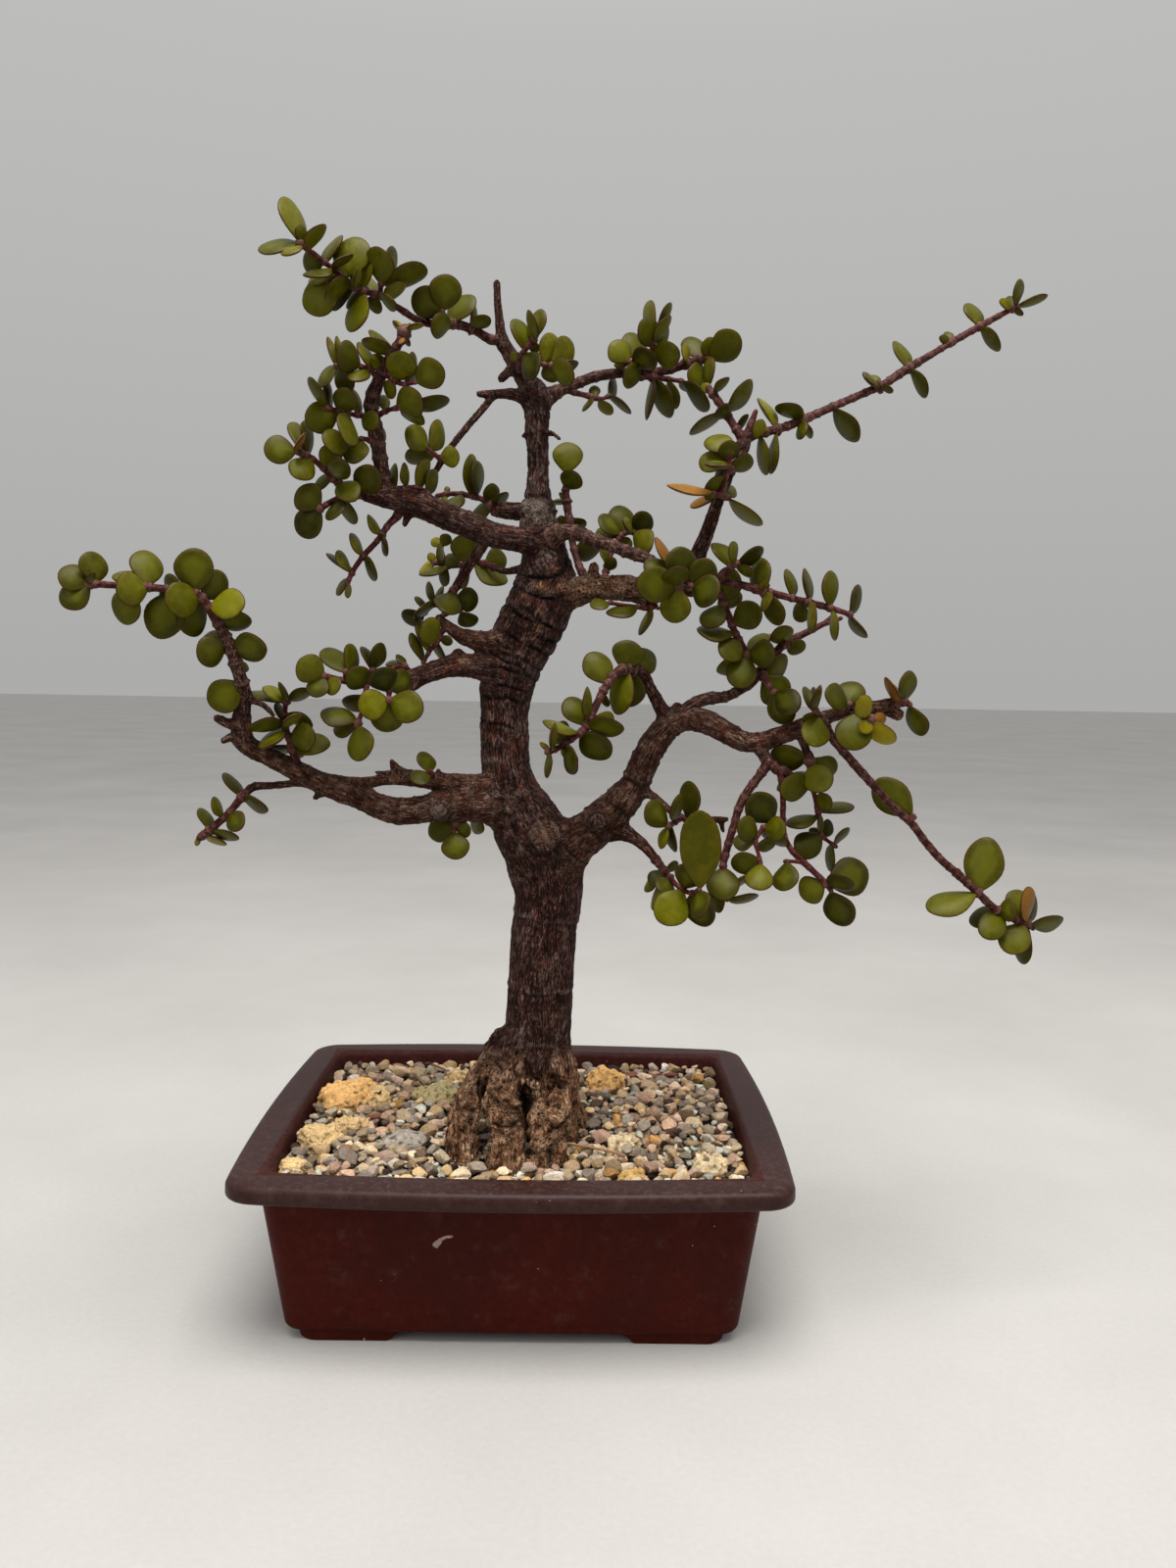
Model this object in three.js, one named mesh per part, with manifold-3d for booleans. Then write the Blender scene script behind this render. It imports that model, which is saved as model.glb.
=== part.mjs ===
// Dwarf jade bonsai in its training pot.
// Millimetres, +Z up, front of the pot toward -Y, resting plane z = 0.
import * as THREE from 'three';
import { mergeVertices } from 'three/addons/utils/BufferGeometryUtils.js';
import Module from 'manifold-3d';

const wasm = await Module();
wasm.setup();
const { Manifold, Mesh } = wasm;

// ---------- driving dimensions ----------
const RIM_W = 220;            // pot rim, left to right
const RIM_D = 178.7;          // pot rim, front to back
const POT_H = 71.6;           // table to rim top
const LIP = 8.4;              // height of the rolled rim
const OVERHANG = 11.2;        // rim beyond the body wall
const RIM_LAND = 15.7;        // flat of the rim, outer edge to inner edge
const BASE_W = 181.4;         // body, just above the feet
const BASE_D = 133;
const FOOT_H = 4;
const FOOT_L = 37;            // along the front
const FOOT_B = 27;            // along the side
const FLOOR_T = 3.6;
const WALL_T = 4.0;
const CORNER_R = 12;          // rim corner radius
const BOW_FRONT = 4.3;        // outward bow of the long sides
const BOW_SIDE = 2.7;         // outward bow of the short sides
const DRAIN_D = 15;
const DRAIN_X = 46;
const GAP = 0.3;              // clearance between separate pieces
const SOIL_TOP = 57.5;
const GRAVEL_TOP = 63.2;
const LEAF_T = 0.12;          // leaf thickness over its length
const CENTRE_X = 32.21;        // middle of the whole object's outline, from the pot centre
const CENTRE_Y = 0;

// ---------- skeleton: [x, y, z, radius] from the pot centre ----------
const WOOD = [
  // trunk
  [[8.33, -12, 42.81, 18.58], [6.2, -14, 83.93, 15.86], [7.54, -14, 110.46, 13.92], [11.28, -14, 171.52, 14.17], [9.49, -14, 182.7, 15.17], [3.2, -14, 195, 14.72], [-6.85, -14, 218.65, 10.17], [-7.79, -14, 230.86, 9.95], [-6.9, -13, 257.16, 11.34], [1.3, -12, 278.63, 13.33], [8.36, -14, 298.57, 12.03], [4.68, -15, 339.24, 4.37], [2.66, -15, 374, 4.73]],
  // leader left
  [[3.1, -15, 370.17, 4.93], [-10.47, -16, 393.38, 2.55]],
  // leader stub
  [[-10.45, -16, 391.09, 2.35], [-12.63, -16, 414.91, 1.46]],
  // apex knob a
  [[6.26, -15, 370.23, 2.37], [5.83, -16, 374.6, 1.77]],
  // apex knob b
  [[-7.21, -16, 381.24, 1.96], [-10.25, -17, 377.88, 1.76]],
  // apex left
  [[1.56, -16, 369.92, 3.15], [-6.21, -18, 371.61, 2.35], [-18.79, -22, 370.46, 1.36]],
  // apex left droop
  [[-13.11, -20, 370.65, 1.56], [-27.37, -28, 350.91, 1.44], [-35.17, -33, 337.11, 1.24]],
  // ring twig a
  [[1.7, -15, 355.87, 1.58], [-1.42, -16, 355.62, 0.99]],
  // ring twig b
  [[6.88, -17, 356.73, 1.58], [13.31, -22, 353.57, 0.78]],
  // upper left
  [[9.41, -16, 313.78, 5.18], [-5.82, -28, 313.73, 4.85], [-13.36, -31, 314.78, 5.01], [-42.51, -43, 325.05, 5.06], [-66.88, -52, 328.74, 2.02]],
  // ul under
  [[-43.39, -42, 322.23, 2.25], [-45.25, -42, 316.65, 1.13]],
  // back left
  [[5.15, -12, 325.2, 4.01], [-3.17, -6, 327.04, 3.65], [-13.24, -1, 327.93, 2.66]],
  // back low
  [[-14.36, -28, 315.11, 2.72], [-17.75, -24, 309.73, 2.35], [-27.56, -19, 295.21, 1.79]],
  // back mid
  [[4.55, -10, 303.61, 2.83], [-9.31, -1, 302.94, 1.44], [-14.47, 2, 304.74, 1.24]],
  // mid left
  [[-3.93, -16, 259.24, 6.84], [-19.48, -27, 262.91, 4.71], [-26.62, -30, 263.16, 4.49], [-38.69, -36, 259.47, 3.66], [-48.47, -40, 258.17, 1.91], [-61.49, -46, 255.72, 1.51]],
  // mid left knob
  [[-38.69, -36, 258.7, 2.89], [-42.25, -38, 254.82, 2.11]],
  // mid left bump
  [[-25.56, -29, 263.58, 3.91], [-25.97, -29, 267.46, 2.34]],
  // mid stub
  [[-7.69, -16, 273.16, 5.21], [-20.52, -25, 273.87, 3.74], [-25.05, -27, 275.3, 2.94], [-33.34, -30, 281.62, 1.75]],
  // low left
  [[-0.59, -14, 204.41, 8.98], [-17.16, -21, 206.17, 6.84], [-47.94, -30, 204.31, 5.52], [-55.49, -32, 206.01, 5.1], [-77.67, -38, 215.68, 4.25], [-99.14, -44, 227.38, 3.62], [-108.67, -45, 233, 2.85]],
  // ll up
  [[-106.41, -45, 231.9, 3.23], [-107.19, -46, 238, 3.78], [-105.76, -48, 249.39, 2.82]],
  // ll knob1
  [[-107.66, -47, 238.04, 2.26], [-115.06, -51, 241.46, 1.68]],
  // ll knob2
  [[-107.53, -45, 233.4, 2.28], [-111.1, -47, 234.21, 1.7], [-113.83, -48, 232.71, 1.32]],
  // ll side
  [[-105.39, -48, 249.02, 2.07], [-100.63, -49, 247.99, 1.31], [-93.8, -51, 242.93, 0.93]],
  // ll spur
  [[-87.21, -40, 219.59, 2.12], [-87.47, -42, 225.13, 1.53]],
  // ll upper
  [[-6.33, -15, 213.44, 5.29], [-15.3, -20, 214.99, 4.22], [-46.29, -28, 217.63, 3.16], [-79.43, -37, 216.73, 2.33]],
  // ll broken
  [[-45.1, -28, 218.04, 2.77], [-49.45, -28, 219.96, 2.57], [-52.06, -29, 224.35, 1.18]],
  // ll broken2
  [[-50.08, -29, 219.24, 1.77], [-58.4, -31, 220.06, 0.78]],
  // ll bud
  [[-32.53, -24, 216.29, 1.79], [-34.02, -25, 220.75, 0.99]],
  // ll under
  [[-74.8, -37, 214.47, 2.33], [-80.35, -40, 210.41, 1.16]],
  // ll low twig
  [[-79.38, -39, 216.14, 2.51], [-103.82, -44, 214.68, 1.72], [-106.61, -45, 212.05, 1.52]],
  // ll cut
  [[-31.85, -26, 206.1, 4.77], [-32.89, -34, 205.01, 3.33]],
  // rough
  [[9.72, -16, 290.53, 6.8], [31.48, -24, 295.08, 4.91], [45.05, -28, 294.64, 4.87], [56.57, -31, 293.48, 2.71], [72.39, -35, 295, 1.92]],
  // rough low
  [[41.27, -26, 292.78, 2.35], [54.2, -28, 287.07, 0.98]],
  // rough knot
  [[24.82, -22, 294.33, 3.55], [27.8, -24, 303.17, 2.16]],
  // to top right
  [[66.35, -34, 294.21, 2.7], [68.49, -36, 308.11, 3.25], [75.25, -39, 328.46, 2.27], [79.87, -39, 339.68, 1.89], [84.07, -37, 347.89, 2.46]],
  // right low
  [[7.91, -14, 178.53, 12.31], [40.61, -24, 209.01, 7.2], [44.85, -25, 214.4, 6.38], [51.89, -28, 231.08, 5.73], [60.18, -30, 241.56, 5.3], [65.54, -31, 243.65, 4.9], [71.33, -32, 243, 4.89], [88.76, -35, 234.84, 4.09], [95.23, -36, 235.01, 3.88], [106.02, -38, 239.16, 3.48], [122.27, -44, 246.59, 2.67], [143.19, -48, 251.21, 2.45]],
  // rl end
  [[140.48, -47, 249.63, 2.65], [145.63, -48, 247.1, 2.46]],
  // rl knot1
  [[30.41, -22, 198.93, 5.23], [31.8, -31, 201.7, 3.35]],
  // rl cut
  [[9.54, -18, 187.45, 8.94], [8.64, -31, 193.38, 5.33]],
  // rl bump
  [[60.94, -30, 242.75, 3.53], [61.91, -31, 247.89, 2.15]],
  // rl down
  [[36.03, -23, 197.93, 5.22], [47.17, -27, 193.81, 2.59], [54.65, -31, 186.5, 1.78]],
  // rl mid
  [[46.85, -25, 214.03, 3.19], [53.03, -29, 212.14, 1.78], [64.26, -34, 204.16, 1.57], [70.77, -36, 202.93, 1.56], [81.96, -37, 204.02, 1.17]],
  // rl mid b
  [[79.63, -37, 203.59, 1.17], [80.79, -38, 199.41, 0.97]],
  // arch
  [[56.97, -30, 244.65, 3.14], [45.26, -37, 262.78, 2.31]],
  // rl spur2
  [[110.41, -39, 241.21, 2.51], [113.69, -38, 229.99, 1.55]],
  // root left
  [[-4.24, -16, 96.04, 9.13], [-17.06, -24, 73.31, 5.74], [-26.37, -32, 59.2, 3.64]],
  // root fl
  [[0.21, -20, 86.86, 9.89], [-13.74, -38, 56.13, 6.79]],
  // root f
  [[4.4, -22, 87.64, 9.03], [3.94, -40, 55.17, 7.17]],
  // root fr
  [[12.47, -18, 90.57, 9.1], [20.59, -36, 57.36, 6.42]],
  // root r
  [[14.96, -14, 84.91, 8.35], [31.33, -17, 52.68, 4.18]],
  // root b
  [[7.21, -6, 81.93, 10.18], [8.7, 6, 68.68, 7.83], [10.2, 18, 61.88, 5.79]],
  // root bl
  [[1.78, -8, 82.57, 8.45], [-7.22, 3, 69.6, 6.49], [-14.44, 14, 61.71, 4.86]],
];

// stems and leaves of each leafy branch; a leaf is
// [base xyz, tip xyz, upper-face normal xyz, width]
const BRANCHES = {
  shoot_top_left: {
    stems: [
      [[-10.83, -16.06, 393.07, 1.76], [-16.58, -18, 393.47, 1.76], [-24.7, -23, 396.06, 1.74], [-37.69, -30, 394.93, 1.52], [-42.21, -33, 395.45, 1.32], [-55.76, -42, 401.53, 1.11], [-61.48, -45, 402.27, 1.1], [-81.97, -57.41, 414.71, 0.89]],
      [[-31.48, -26.15, 395.61, 1.15], [-32.4, -34.85, 398.55, 0.75]],
      [[-54.82, -41.44, 400.51, 0.92], [-53.63, -45.56, 405.59, 0.73]],
    ],
    leaves: [
      [-81.29, -57, 414.3, -87.36, -52, 431.81, -0.883, 0.271, -0.384, 14.5],
      [-81.29, -57, 414.3, -97, -54.03, 413.31, -0.156, -0.554, 0.818, 13.59],
      [-81.29, -57, 414.3, -80.12, -57.28, 420.72, -0.953, 0.242, 0.184, 7.36],
      [-80.72, -56.7, 413.97, -85.92, -62.84, 408.45, -0.27, -0.507, 0.818, 8.1],
      [-78.54, -55.33, 412.63, -72.01, -62.1, 419.81, -0.77, -0.059, 0.635, 11.61],
      [-72.96, -51.95, 409.24, -70.24, -43.04, 422.21, -0.721, -0.491, 0.489, 11.61],
      [-67.14, -48.43, 405.71, -62.23, -45.06, 421.62, -0.379, -0.876, 0.299, 14.5],
      [-70.67, -50.57, 407.85, -62.82, -58.93, 410.23, -0.491, -0.221, 0.842, 8.76],
      [-60.85, -44.67, 402.19, -61.5, -43.78, 416.47, -0.713, -0.702, 0.011, 13.12],
      [-53.94, -44.5, 404.28, -53.13, -52.31, 415.79, 0.682, 0.626, 0.377, 13.32],
      [-53.79, -45, 404.9, -49.2, -36.85, 419.45, 0.959, -0.038, -0.281, 12.14],
      [-53.79, -45, 404.9, -37.61, -37.1, 411.69, -0.418, 0.078, 0.905, 14.5],
      [-52.03, -39.52, 399.86, -46.32, -45.9, 405.57, -0.633, 0.107, 0.767, 9.9],
      [-73.53, -52.3, 409.59, -83.15, -46, 411.27, -0.508, -0.826, 0.246, 8.91],
      [-70.67, -50.57, 407.85, -78.75, -59.11, 401.64, -0.147, -0.488, 0.86, 11.4],
      [-68.31, -49.14, 406.42, -81.24, -38.37, 407.91, -0.347, -0.531, 0.773, 11.36],
      [-64.3, -46.71, 403.98, -72.32, -57.76, 397.39, -0.647, 0.019, 0.762, 11.5],
      [-66.55, -48.07, 405.35, -83.06, -43.92, 395.76, -0.383, -0.879, 0.285, 14.5],
      [-63.17, -46.02, 403.3, -74.54, -36.84, 399.15, -0.651, -0.592, 0.475, 11.61],
      [-62.61, -45.68, 402.96, -60.51, -58.05, 405.78, -0.962, -0.108, 0.249, 7.71],
      [-60.21, -44.33, 402.11, -65.9, -45.07, 387.23, -0.724, -0.617, 0.308, 14.5],
      [-57.03, -42.67, 401.7, -62.19, -28.93, 412.51, -0.692, 0.268, -0.671, 7.77],
      [-56.4, -42.33, 401.61, -57.28, -37.41, 396.06, -0.692, -0.591, -0.415, 7.76],
      [-55.15, -41.57, 401.27, -47.33, -53.59, 394.28, -0.711, -0.055, -0.701, 7.51],
      [-60.85, -44.67, 402.19, -68.23, -38.62, 398.38, -0.691, -0.539, 0.482, 9.03],
      [-32.31, -34, 398.26, -42.95, -37.63, 403.9, 0.159, -0.939, -0.305, 11.98],
      [-32.16, -32.6, 397.79, -44.53, -21.74, 400.16, -0.176, -0.397, 0.901, 11.61],
      [-32.31, -34, 398.26, -29.2, -38.19, 410.81, 0.664, -0.644, -0.38, 13.19],
      [-30.4, -26.07, 395.56, -21.76, -22.42, 408.23, -0.47, -0.695, 0.544, 13.06],
      [-29.13, -25.39, 395.67, -36.74, -38.92, 392.08, -0.649, 0.156, 0.745, 10.08],
      [-22.19, -21.46, 395.26, -20.92, -13.95, 405.92, -0.992, -0.016, 0.124, 9.39],
      [-22.19, -21.46, 395.26, -15.19, -27.58, 398.93, 0.325, -0.17, -0.93, 9.05],
    ],
  },
  shoot_left_side: {
    stems: [
      [[-65.94, -51.49, 328.29, 1.47], [-69.92, -55, 331.44, 1.27], [-77.33, -59, 338.07, 1.08], [-82.66, -61.34, 340.03, 0.72]],
    ],
    leaves: [
      [-81.88, -61, 339.74, -93.13, -64.38, 339.61, 0.238, -0.812, 0.534, 11.61],
      [-80.25, -60.28, 339.14, -85.35, -46.99, 351.7, -0.891, 0.083, -0.446, 11.11],
      [-78.79, -59.64, 338.61, -79.55, -51.7, 351.75, -0.998, 0.01, -0.061, 11.61],
      [-81.88, -61, 339.74, -77.99, -68.44, 344.99, -0.89, -0.166, 0.424, 7.67],
      [-76.77, -58.7, 337.57, -81.66, -66.36, 329.92, 0.047, -0.721, 0.691, 10.03],
      [-69.84, -54.93, 331.38, -63.3, -67.73, 335.76, -0.368, -0.465, -0.805, 9.11],
      [-69.84, -54.93, 331.38, -77.81, -49.16, 330.05, -0.538, -0.581, 0.611, 7.49],
      [-68.46, -53.71, 330.29, -60.47, -62.43, 322.99, 0.138, -0.558, 0.818, 9.63],
      [-73.45, -56.91, 334.6, -70.91, -50.52, 342.27, -0.967, 0.216, 0.134, 7.94],
    ],
  },
  shoot_left_low: {
    stems: [
      [[-60.72, -49.46, 326.86, 1.29], [-66.5, -54, 324.86, 1.1], [-74.73, -58.36, 319.42, 1.09]],
    ],
    leaves: [
      [-74.04, -58, 319.87, -81.36, -61.81, 326.6, -0.609, 0.758, -0.233, 11.61],
      [-74.04, -58, 319.87, -82.92, -56.16, 310.45, -0.398, -0.895, 0.2, 11.61],
      [-67.57, -54.57, 324.15, -68.93, -62, 315.12, -0.616, -0.565, 0.548, 9.4],
      [-66.38, -53.91, 324.9, -64.22, -46.89, 316.03, -0.746, -0.411, -0.524, 11.35],
      [-61.4, -50, 326.62, -54.09, -57.92, 335.62, -0.612, -0.77, -0.181, 11.61],
    ],
  },
  shoot_left_droop: {
    stems: [
      [[-46.56, -44.07, 324.75, 1.69], [-47.36, -43, 320.92, 1.69], [-64.23, -47, 298.07, 0.93], [-66.99, -48.14, 291.23, 0.75]],
    ],
    leaves: [
      [-53.73, -44.51, 312.3, -58.8, -48.14, 318.93, -0.823, 0.178, -0.539, 10.02],
      [-53.73, -44.51, 312.3, -50.51, -49, 304.37, -0.932, -0.297, -0.208, 8.62],
      [-60.06, -46.01, 303.72, -65.14, -49.88, 311.68, -0.871, 0.149, -0.468, 10.85],
      [-60.06, -46.01, 303.72, -54.55, -51.34, 295.31, -0.865, -0.331, -0.378, 10.43],
      [-64.5, -47.11, 297.4, -69.37, -50.94, 305.3, -0.871, 0.129, -0.474, 10.99],
      [-64.5, -47.11, 297.4, -75.12, -35.7, 305.25, -0.57, 0.034, -0.821, 11.61],
      [-65.58, -47.56, 294.72, -71.6, -42.01, 290.15, 0.764, 0.44, -0.472, 7.43],
      [-66.12, -47.78, 293.39, -64.7, -52.43, 287.74, -0.833, -0.511, 0.211, 4.23],
    ],
  },
  shoot_left_upper_row: {
    stems: [
      [[-35.58, -39.58, 326.9, 1.13], [-38.92, -42, 330.05, 0.94], [-49.05, -45.28, 329.77, 0.74]],
    ],
    leaves: [
      [-48.19, -45, 329.79, -50.82, -40.15, 338.97, -0.899, -0.436, -0.027, 9.42],
      [-44.31, -43.74, 329.9, -44.51, -47.43, 338.92, -0.994, 0.106, 0.011, 10.06],
      [-40.94, -42.65, 329.99, -36.9, -37.55, 341.52, -0.952, 0.143, 0.271, 11.61],
      [-37.54, -41, 328.75, -33.68, -35.94, 337.77, -0.936, 0.203, 0.287, 10.13],
    ],
  },
  shoot_back_left: {
    stems: [
      [[-12.13, -1.24, 327.84, 1.84], [-18.76, 1, 332.54, 1.23], [-26.35, 3, 334.72, 1.24], [-39.4, 5.15, 334.37, 1.03]],
    ],
    leaves: [
      [-23.59, 2.27, 333.93, -24.17, 0.41, 351.23, -0.965, 0.264, -0.004, 14.5],
      [-21.52, 1.73, 333.34, -20.78, -0.88, 348.26, -0.979, 0.188, 0.081, 14.18],
      [-16.39, 0.2, 330.86, -14.52, -3, 338.74, -0.808, 0.453, 0.376, 9.32],
      [-15.21, -0.2, 330.02, -8.33, -2.45, 335.44, -0.57, 0.187, 0.8, 9.57],
      [-34.87, 4.4, 334.49, -36.41, 1.32, 329.45, -0.62, -0.606, 0.499, 4.24],
      [-34.13, 4.28, 334.51, -34.45, 5.44, 338.59, -0.657, 0.69, -0.304, 2.65],
      [-27.76, 3.23, 334.68, -32.88, -8.25, 327, -0.321, -0.432, 0.843, 9.65],
      [-14.62, -0.4, 329.6, -25.08, 7.18, 325.49, -0.61, -0.517, 0.6, 11.61],
    ],
  },
  shoot_back_yellow: {
    stems: [
      [[-13.31, 1.57, 304.5, 1.45], [-22.78, 7, 307.51, 1.04], [-34.69, 13, 305.77, 0.84], [-42.19, 16.36, 307.82, 0.85]],
      [[-34.35, 12.59, 305.05, 0.84], [-37.16, 16, 311.03, 0.85], [-38.35, 17.2, 316.15, 0.64]],
    ],
    leaves: [
      [-40.14, 15.44, 307.26, -48.21, 22.68, 304.7, -0.597, -0.409, 0.691, 8.3],
      [-40.76, 15.72, 307.43, -43.07, 15.79, 311.74, -0.594, 0.73, -0.337, 3.82],
      [-26.88, 9.07, 306.91, -27.35, 7.69, 319.01, -0.095, 0.99, 0.1, 11.73],
      [-34.05, 12.68, 305.86, -46.23, 7.99, 300.99, -0.258, -0.278, 0.925, 12.22],
      [-35.38, 13.29, 305.97, -37.15, 16.48, 297.63, -0.872, -0.49, -0.003, 9.41],
      [-18.74, 4.68, 306.23, -9.47, 12.56, 309.79, -0.625, 0.776, -0.079, 10.69],
      [-22.59, 6.89, 307.45, -9.31, 6.62, 297.8, -0.5, 0.493, -0.713, 14.5],
      [-24.83, 8.03, 307.21, -29.27, 14.33, 296.77, -0.906, -0.396, 0.149, 11.61],
      [-36.76, 13.92, 306.33, -38.68, 7.2, 314.24, -0.983, 0.145, -0.114, 9.84],
      [-28.94, 10.1, 306.61, -35.17, 9.55, 310.01, -0.439, 0.655, -0.615, 8.14],
      [-37.98, 16.83, 314.59, -43.04, 22.11, 318.3, -0.532, -0.765, 0.362, 4.67],
      [-37.98, 16.83, 314.59, -34.35, 13.11, 319.52, 0.161, 0.841, 0.516, 5.52],
    ],
  },
  shoot_back_low: {
    stems: [
      [[-26.54, -18.89, 296.26, 1.59], [-32.96, -20, 289.55, 0.99], [-40.89, -22.19, 283.28, 0.79]],
      [[-29.44, -19.2, 294.04, 1.19], [-25.79, -16.8, 284.29, 0.8]],
    ],
    leaves: [
      [-28.87, -18.83, 292.52, -31.03, -32.74, 283.34, -0.394, 0.547, -0.739, 11.52],
      [-28.09, -18.31, 290.44, -19.23, -13.95, 289.78, 0.323, -0.728, -0.605, 10.18],
      [-26.1, -17, 285.11, -21.55, -11.48, 279.02, -0.25, -0.617, -0.746, 8.76],
      [-26.83, -17.48, 287.06, -34.64, -12.09, 284.42, 0.534, 0.396, -0.747, 8.08],
      [-35.93, -20.82, 287.21, -39.68, -20.34, 296.47, -0.891, -0.308, -0.333, 10.46],
      [-34.75, -20.49, 288.14, -34.6, -12.94, 295.13, -0.882, -0.297, 0.365, 6.93],
      [-39.59, -21.83, 284.31, -43.5, -15.25, 290.85, -0.781, 0.141, -0.608, 7.38],
      [-35.93, -20.82, 287.21, -41.97, -35.03, 282.77, -0.66, 0.021, 0.751, 9.39],
      [-40.2, -22, 283.83, -49.32, -16.95, 280.93, -0.032, -0.541, -0.84, 9.58],
    ],
  },
  shoot_mid_twig: {
    stems: [
      [[-30.2, -28.96, 279.11, 1.17], [-39.69, -32.15, 263.34, 0.78]],
    ],
    leaves: [
      [-39.23, -32, 264.1, -44.49, -27.86, 275.72, -0.892, 0.104, -0.441, 11.61],
      [-37.17, -31.31, 267.53, -42.75, -23.56, 282.15, -0.925, 0.067, -0.373, 13.56],
      [-34.73, -30.49, 271.58, -36.73, -40.85, 280.64, -0.903, 0.357, 0.239, 10.98],
      [-33.96, -30.22, 272.86, -33.17, -20.53, 264.31, -0.859, -0.298, -0.416, 9.58],
      [-33.18, -29.96, 274.15, -27.91, -29.39, 272.07, -0.218, -0.749, -0.625, 4.56],
    ],
  },
  shoot_mid_left_tip: {
    stems: [
      [[-60.72, -45.56, 255.57, 1.32], [-74.68, -53.44, 258.31, 0.93]],
      [[-67.05, -48.77, 255.54, 0.94], [-66.22, -50.23, 261, 0.75]],
    ],
    leaves: [
      [-73.91, -53, 258.16, -82.61, -59.33, 263.39, -0.67, 0.687, -0.283, 11.61],
      [-73.91, -53, 258.16, -77.15, -57.71, 250.41, -0.335, -0.736, 0.588, 9.56],
      [-72.57, -52.25, 257.9, -68.54, -57.01, 251.6, -0.678, -0.726, 0.118, 7.69],
      [-66.46, -49.8, 259.39, -75.47, -38.5, 268.7, 0.436, -0.34, 0.834, 11.61],
      [-66.35, -50, 260.14, -64.28, -42.62, 269.9, 0.972, -0.234, -0.029, 10.98],
    ],
  },
  shoot_mid_left_mid: {
    stems: [
      [[-58.58, -44.34, 257.5, 1.13], [-59.07, -49, 253.17, 0.94], [-59.09, -51, 247.98, 0.93], [-61.38, -54.31, 239.41, 1.12]],
      [[-58.99, -44.64, 256.14, 1.13], [-56.45, -47.36, 261.8, 0.75]],
    ],
    leaves: [
      [-58.95, -47.86, 254.23, -64.24, -54.28, 260.86, 0.504, -0.786, -0.359, 10.32],
      [-57.06, -46.71, 260.45, -60.13, -38.73, 269.77, 0.905, -0.125, 0.405, 10.1],
      [-56.79, -47, 261.05, -53.33, -45.24, 271.24, 0.923, -0.278, -0.266, 11.61],
      [-59.08, -49.86, 250.94, -67.96, -41.17, 245.57, 0.067, -0.474, -0.878, 9.4],
      [-60.99, -53.75, 240.87, -75.11, -52.88, 245.53, -0.269, 0.363, -0.892, 13.38],
      [-60.99, -53.75, 240.87, -71.78, -43.15, 237.37, 0.65, 0.459, -0.606, 9.78],
      [-61.16, -54, 240.22, -58.58, -58.07, 226.4, -0.677, -0.73, 0.089, 12.87],
    ],
  },
  shoot_leftmost: {
    stems: [
      [[-105.64, -47.68, 249.31, 2.63], [-107.11, -52, 260.56, 2.41], [-110.95, -56, 273.64, 2.2], [-116.5, -60, 284.94, 1.63], [-119.43, -62, 287.99, 1.44], [-140.43, -72, 289.74, 1.23], [-153.26, -77.35, 289.13, 0.87]],
    ],
    leaves: [
      [-151.73, -76.71, 289.2, -161.72, -79.32, 293.67, -0.445, 0.631, -0.635, 11.61],
      [-150.33, -76.13, 289.27, -151.8, -74.92, 301.21, -0.916, 0.374, -0.145, 11.61],
      [-151.73, -76.71, 289.2, -161.28, -79.33, 281.98, -0.167, -0.837, 0.52, 11.61],
      [-152.43, -77, 289.17, -147.62, -84.35, 293.11, 0.68, 0.053, -0.731, 3.76],
      [-135.11, -69.46, 289.3, -137.07, -61.4, 303.4, -0.861, 0.383, -0.335, 12.11],
      [-133.77, -68.83, 289.18, -141.48, -79.31, 287.18, -0.808, 0.588, -0.036, 12.43],
      [-139.11, -71.33, 289.66, -144.21, -67.94, 275.87, -0.531, -0.848, -0.012, 13],
      [-137.77, -70.74, 289.52, -146.84, -63.47, 295.78, 0.315, -0.361, 0.878, 9.31],
      [-119.37, -61.96, 287.93, -118.65, -63.7, 304.2, 0.303, -0.946, -0.114, 14.5],
      [-117.97, -61, 286.46, -125.72, -73.95, 283.56, 0.845, -0.526, 0.092, 13.76],
      [-117.48, -60.67, 285.96, -110.58, -52.88, 295.54, -0.862, 0.427, 0.273, 11.61],
      [-115.57, -59.33, 283.05, -100.61, -63.27, 284.09, -0.237, -0.732, 0.638, 12.53],
      [-112.79, -57.33, 277.38, -101.11, -53.05, 278.6, -0.253, 0.449, 0.857, 11.61],
      [-125.1, -64.7, 288.46, -132.52, -65.88, 271.04, -0.299, -0.935, 0.193, 14.5],
      [-121.61, -63.04, 288.17, -120.77, -56.61, 272.28, -0.959, 0.279, 0.06, 14.5],
      [-123.06, -63.73, 288.29, -133.13, -55.88, 292.41, -0.639, -0.593, -0.49, 8.76],
      [-126.4, -65.32, 288.57, -131.77, -64.86, 285.81, -0.333, -0.802, 0.496, 4.66],
      [-109.98, -54.99, 270.34, -119, -62.31, 263.57, -0.736, 0.521, 0.433, 11.96],
      [-110.56, -55.6, 272.32, -123.34, -48.52, 268.12, -0.523, -0.573, 0.631, 11.61],
      [-109.02, -53.99, 267.06, -94.77, -55.31, 269.28, -0.046, 0.689, 0.724, 12.4],
      [-107.68, -52.6, 262.51, -105.06, -44.73, 259.88, -0.825, 0.399, 0.401, 4.45],
      [-106.43, -49.99, 255.33, -116.98, -53.87, 246.13, -0.104, -0.875, 0.472, 13.6],
    ],
  },
  shoot_low_left_cluster: {
    stems: [
      [[-87.26, -41.83, 223.89, 1.53], [-91.2, -45, 239.73, 0.95], [-89.77, -47.2, 249.37, 0.94]],
    ],
    leaves: [
      [-90.02, -46.8, 247.81, -98.3, -49.14, 253.64, 0.597, -0.15, 0.788, 11.58],
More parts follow.
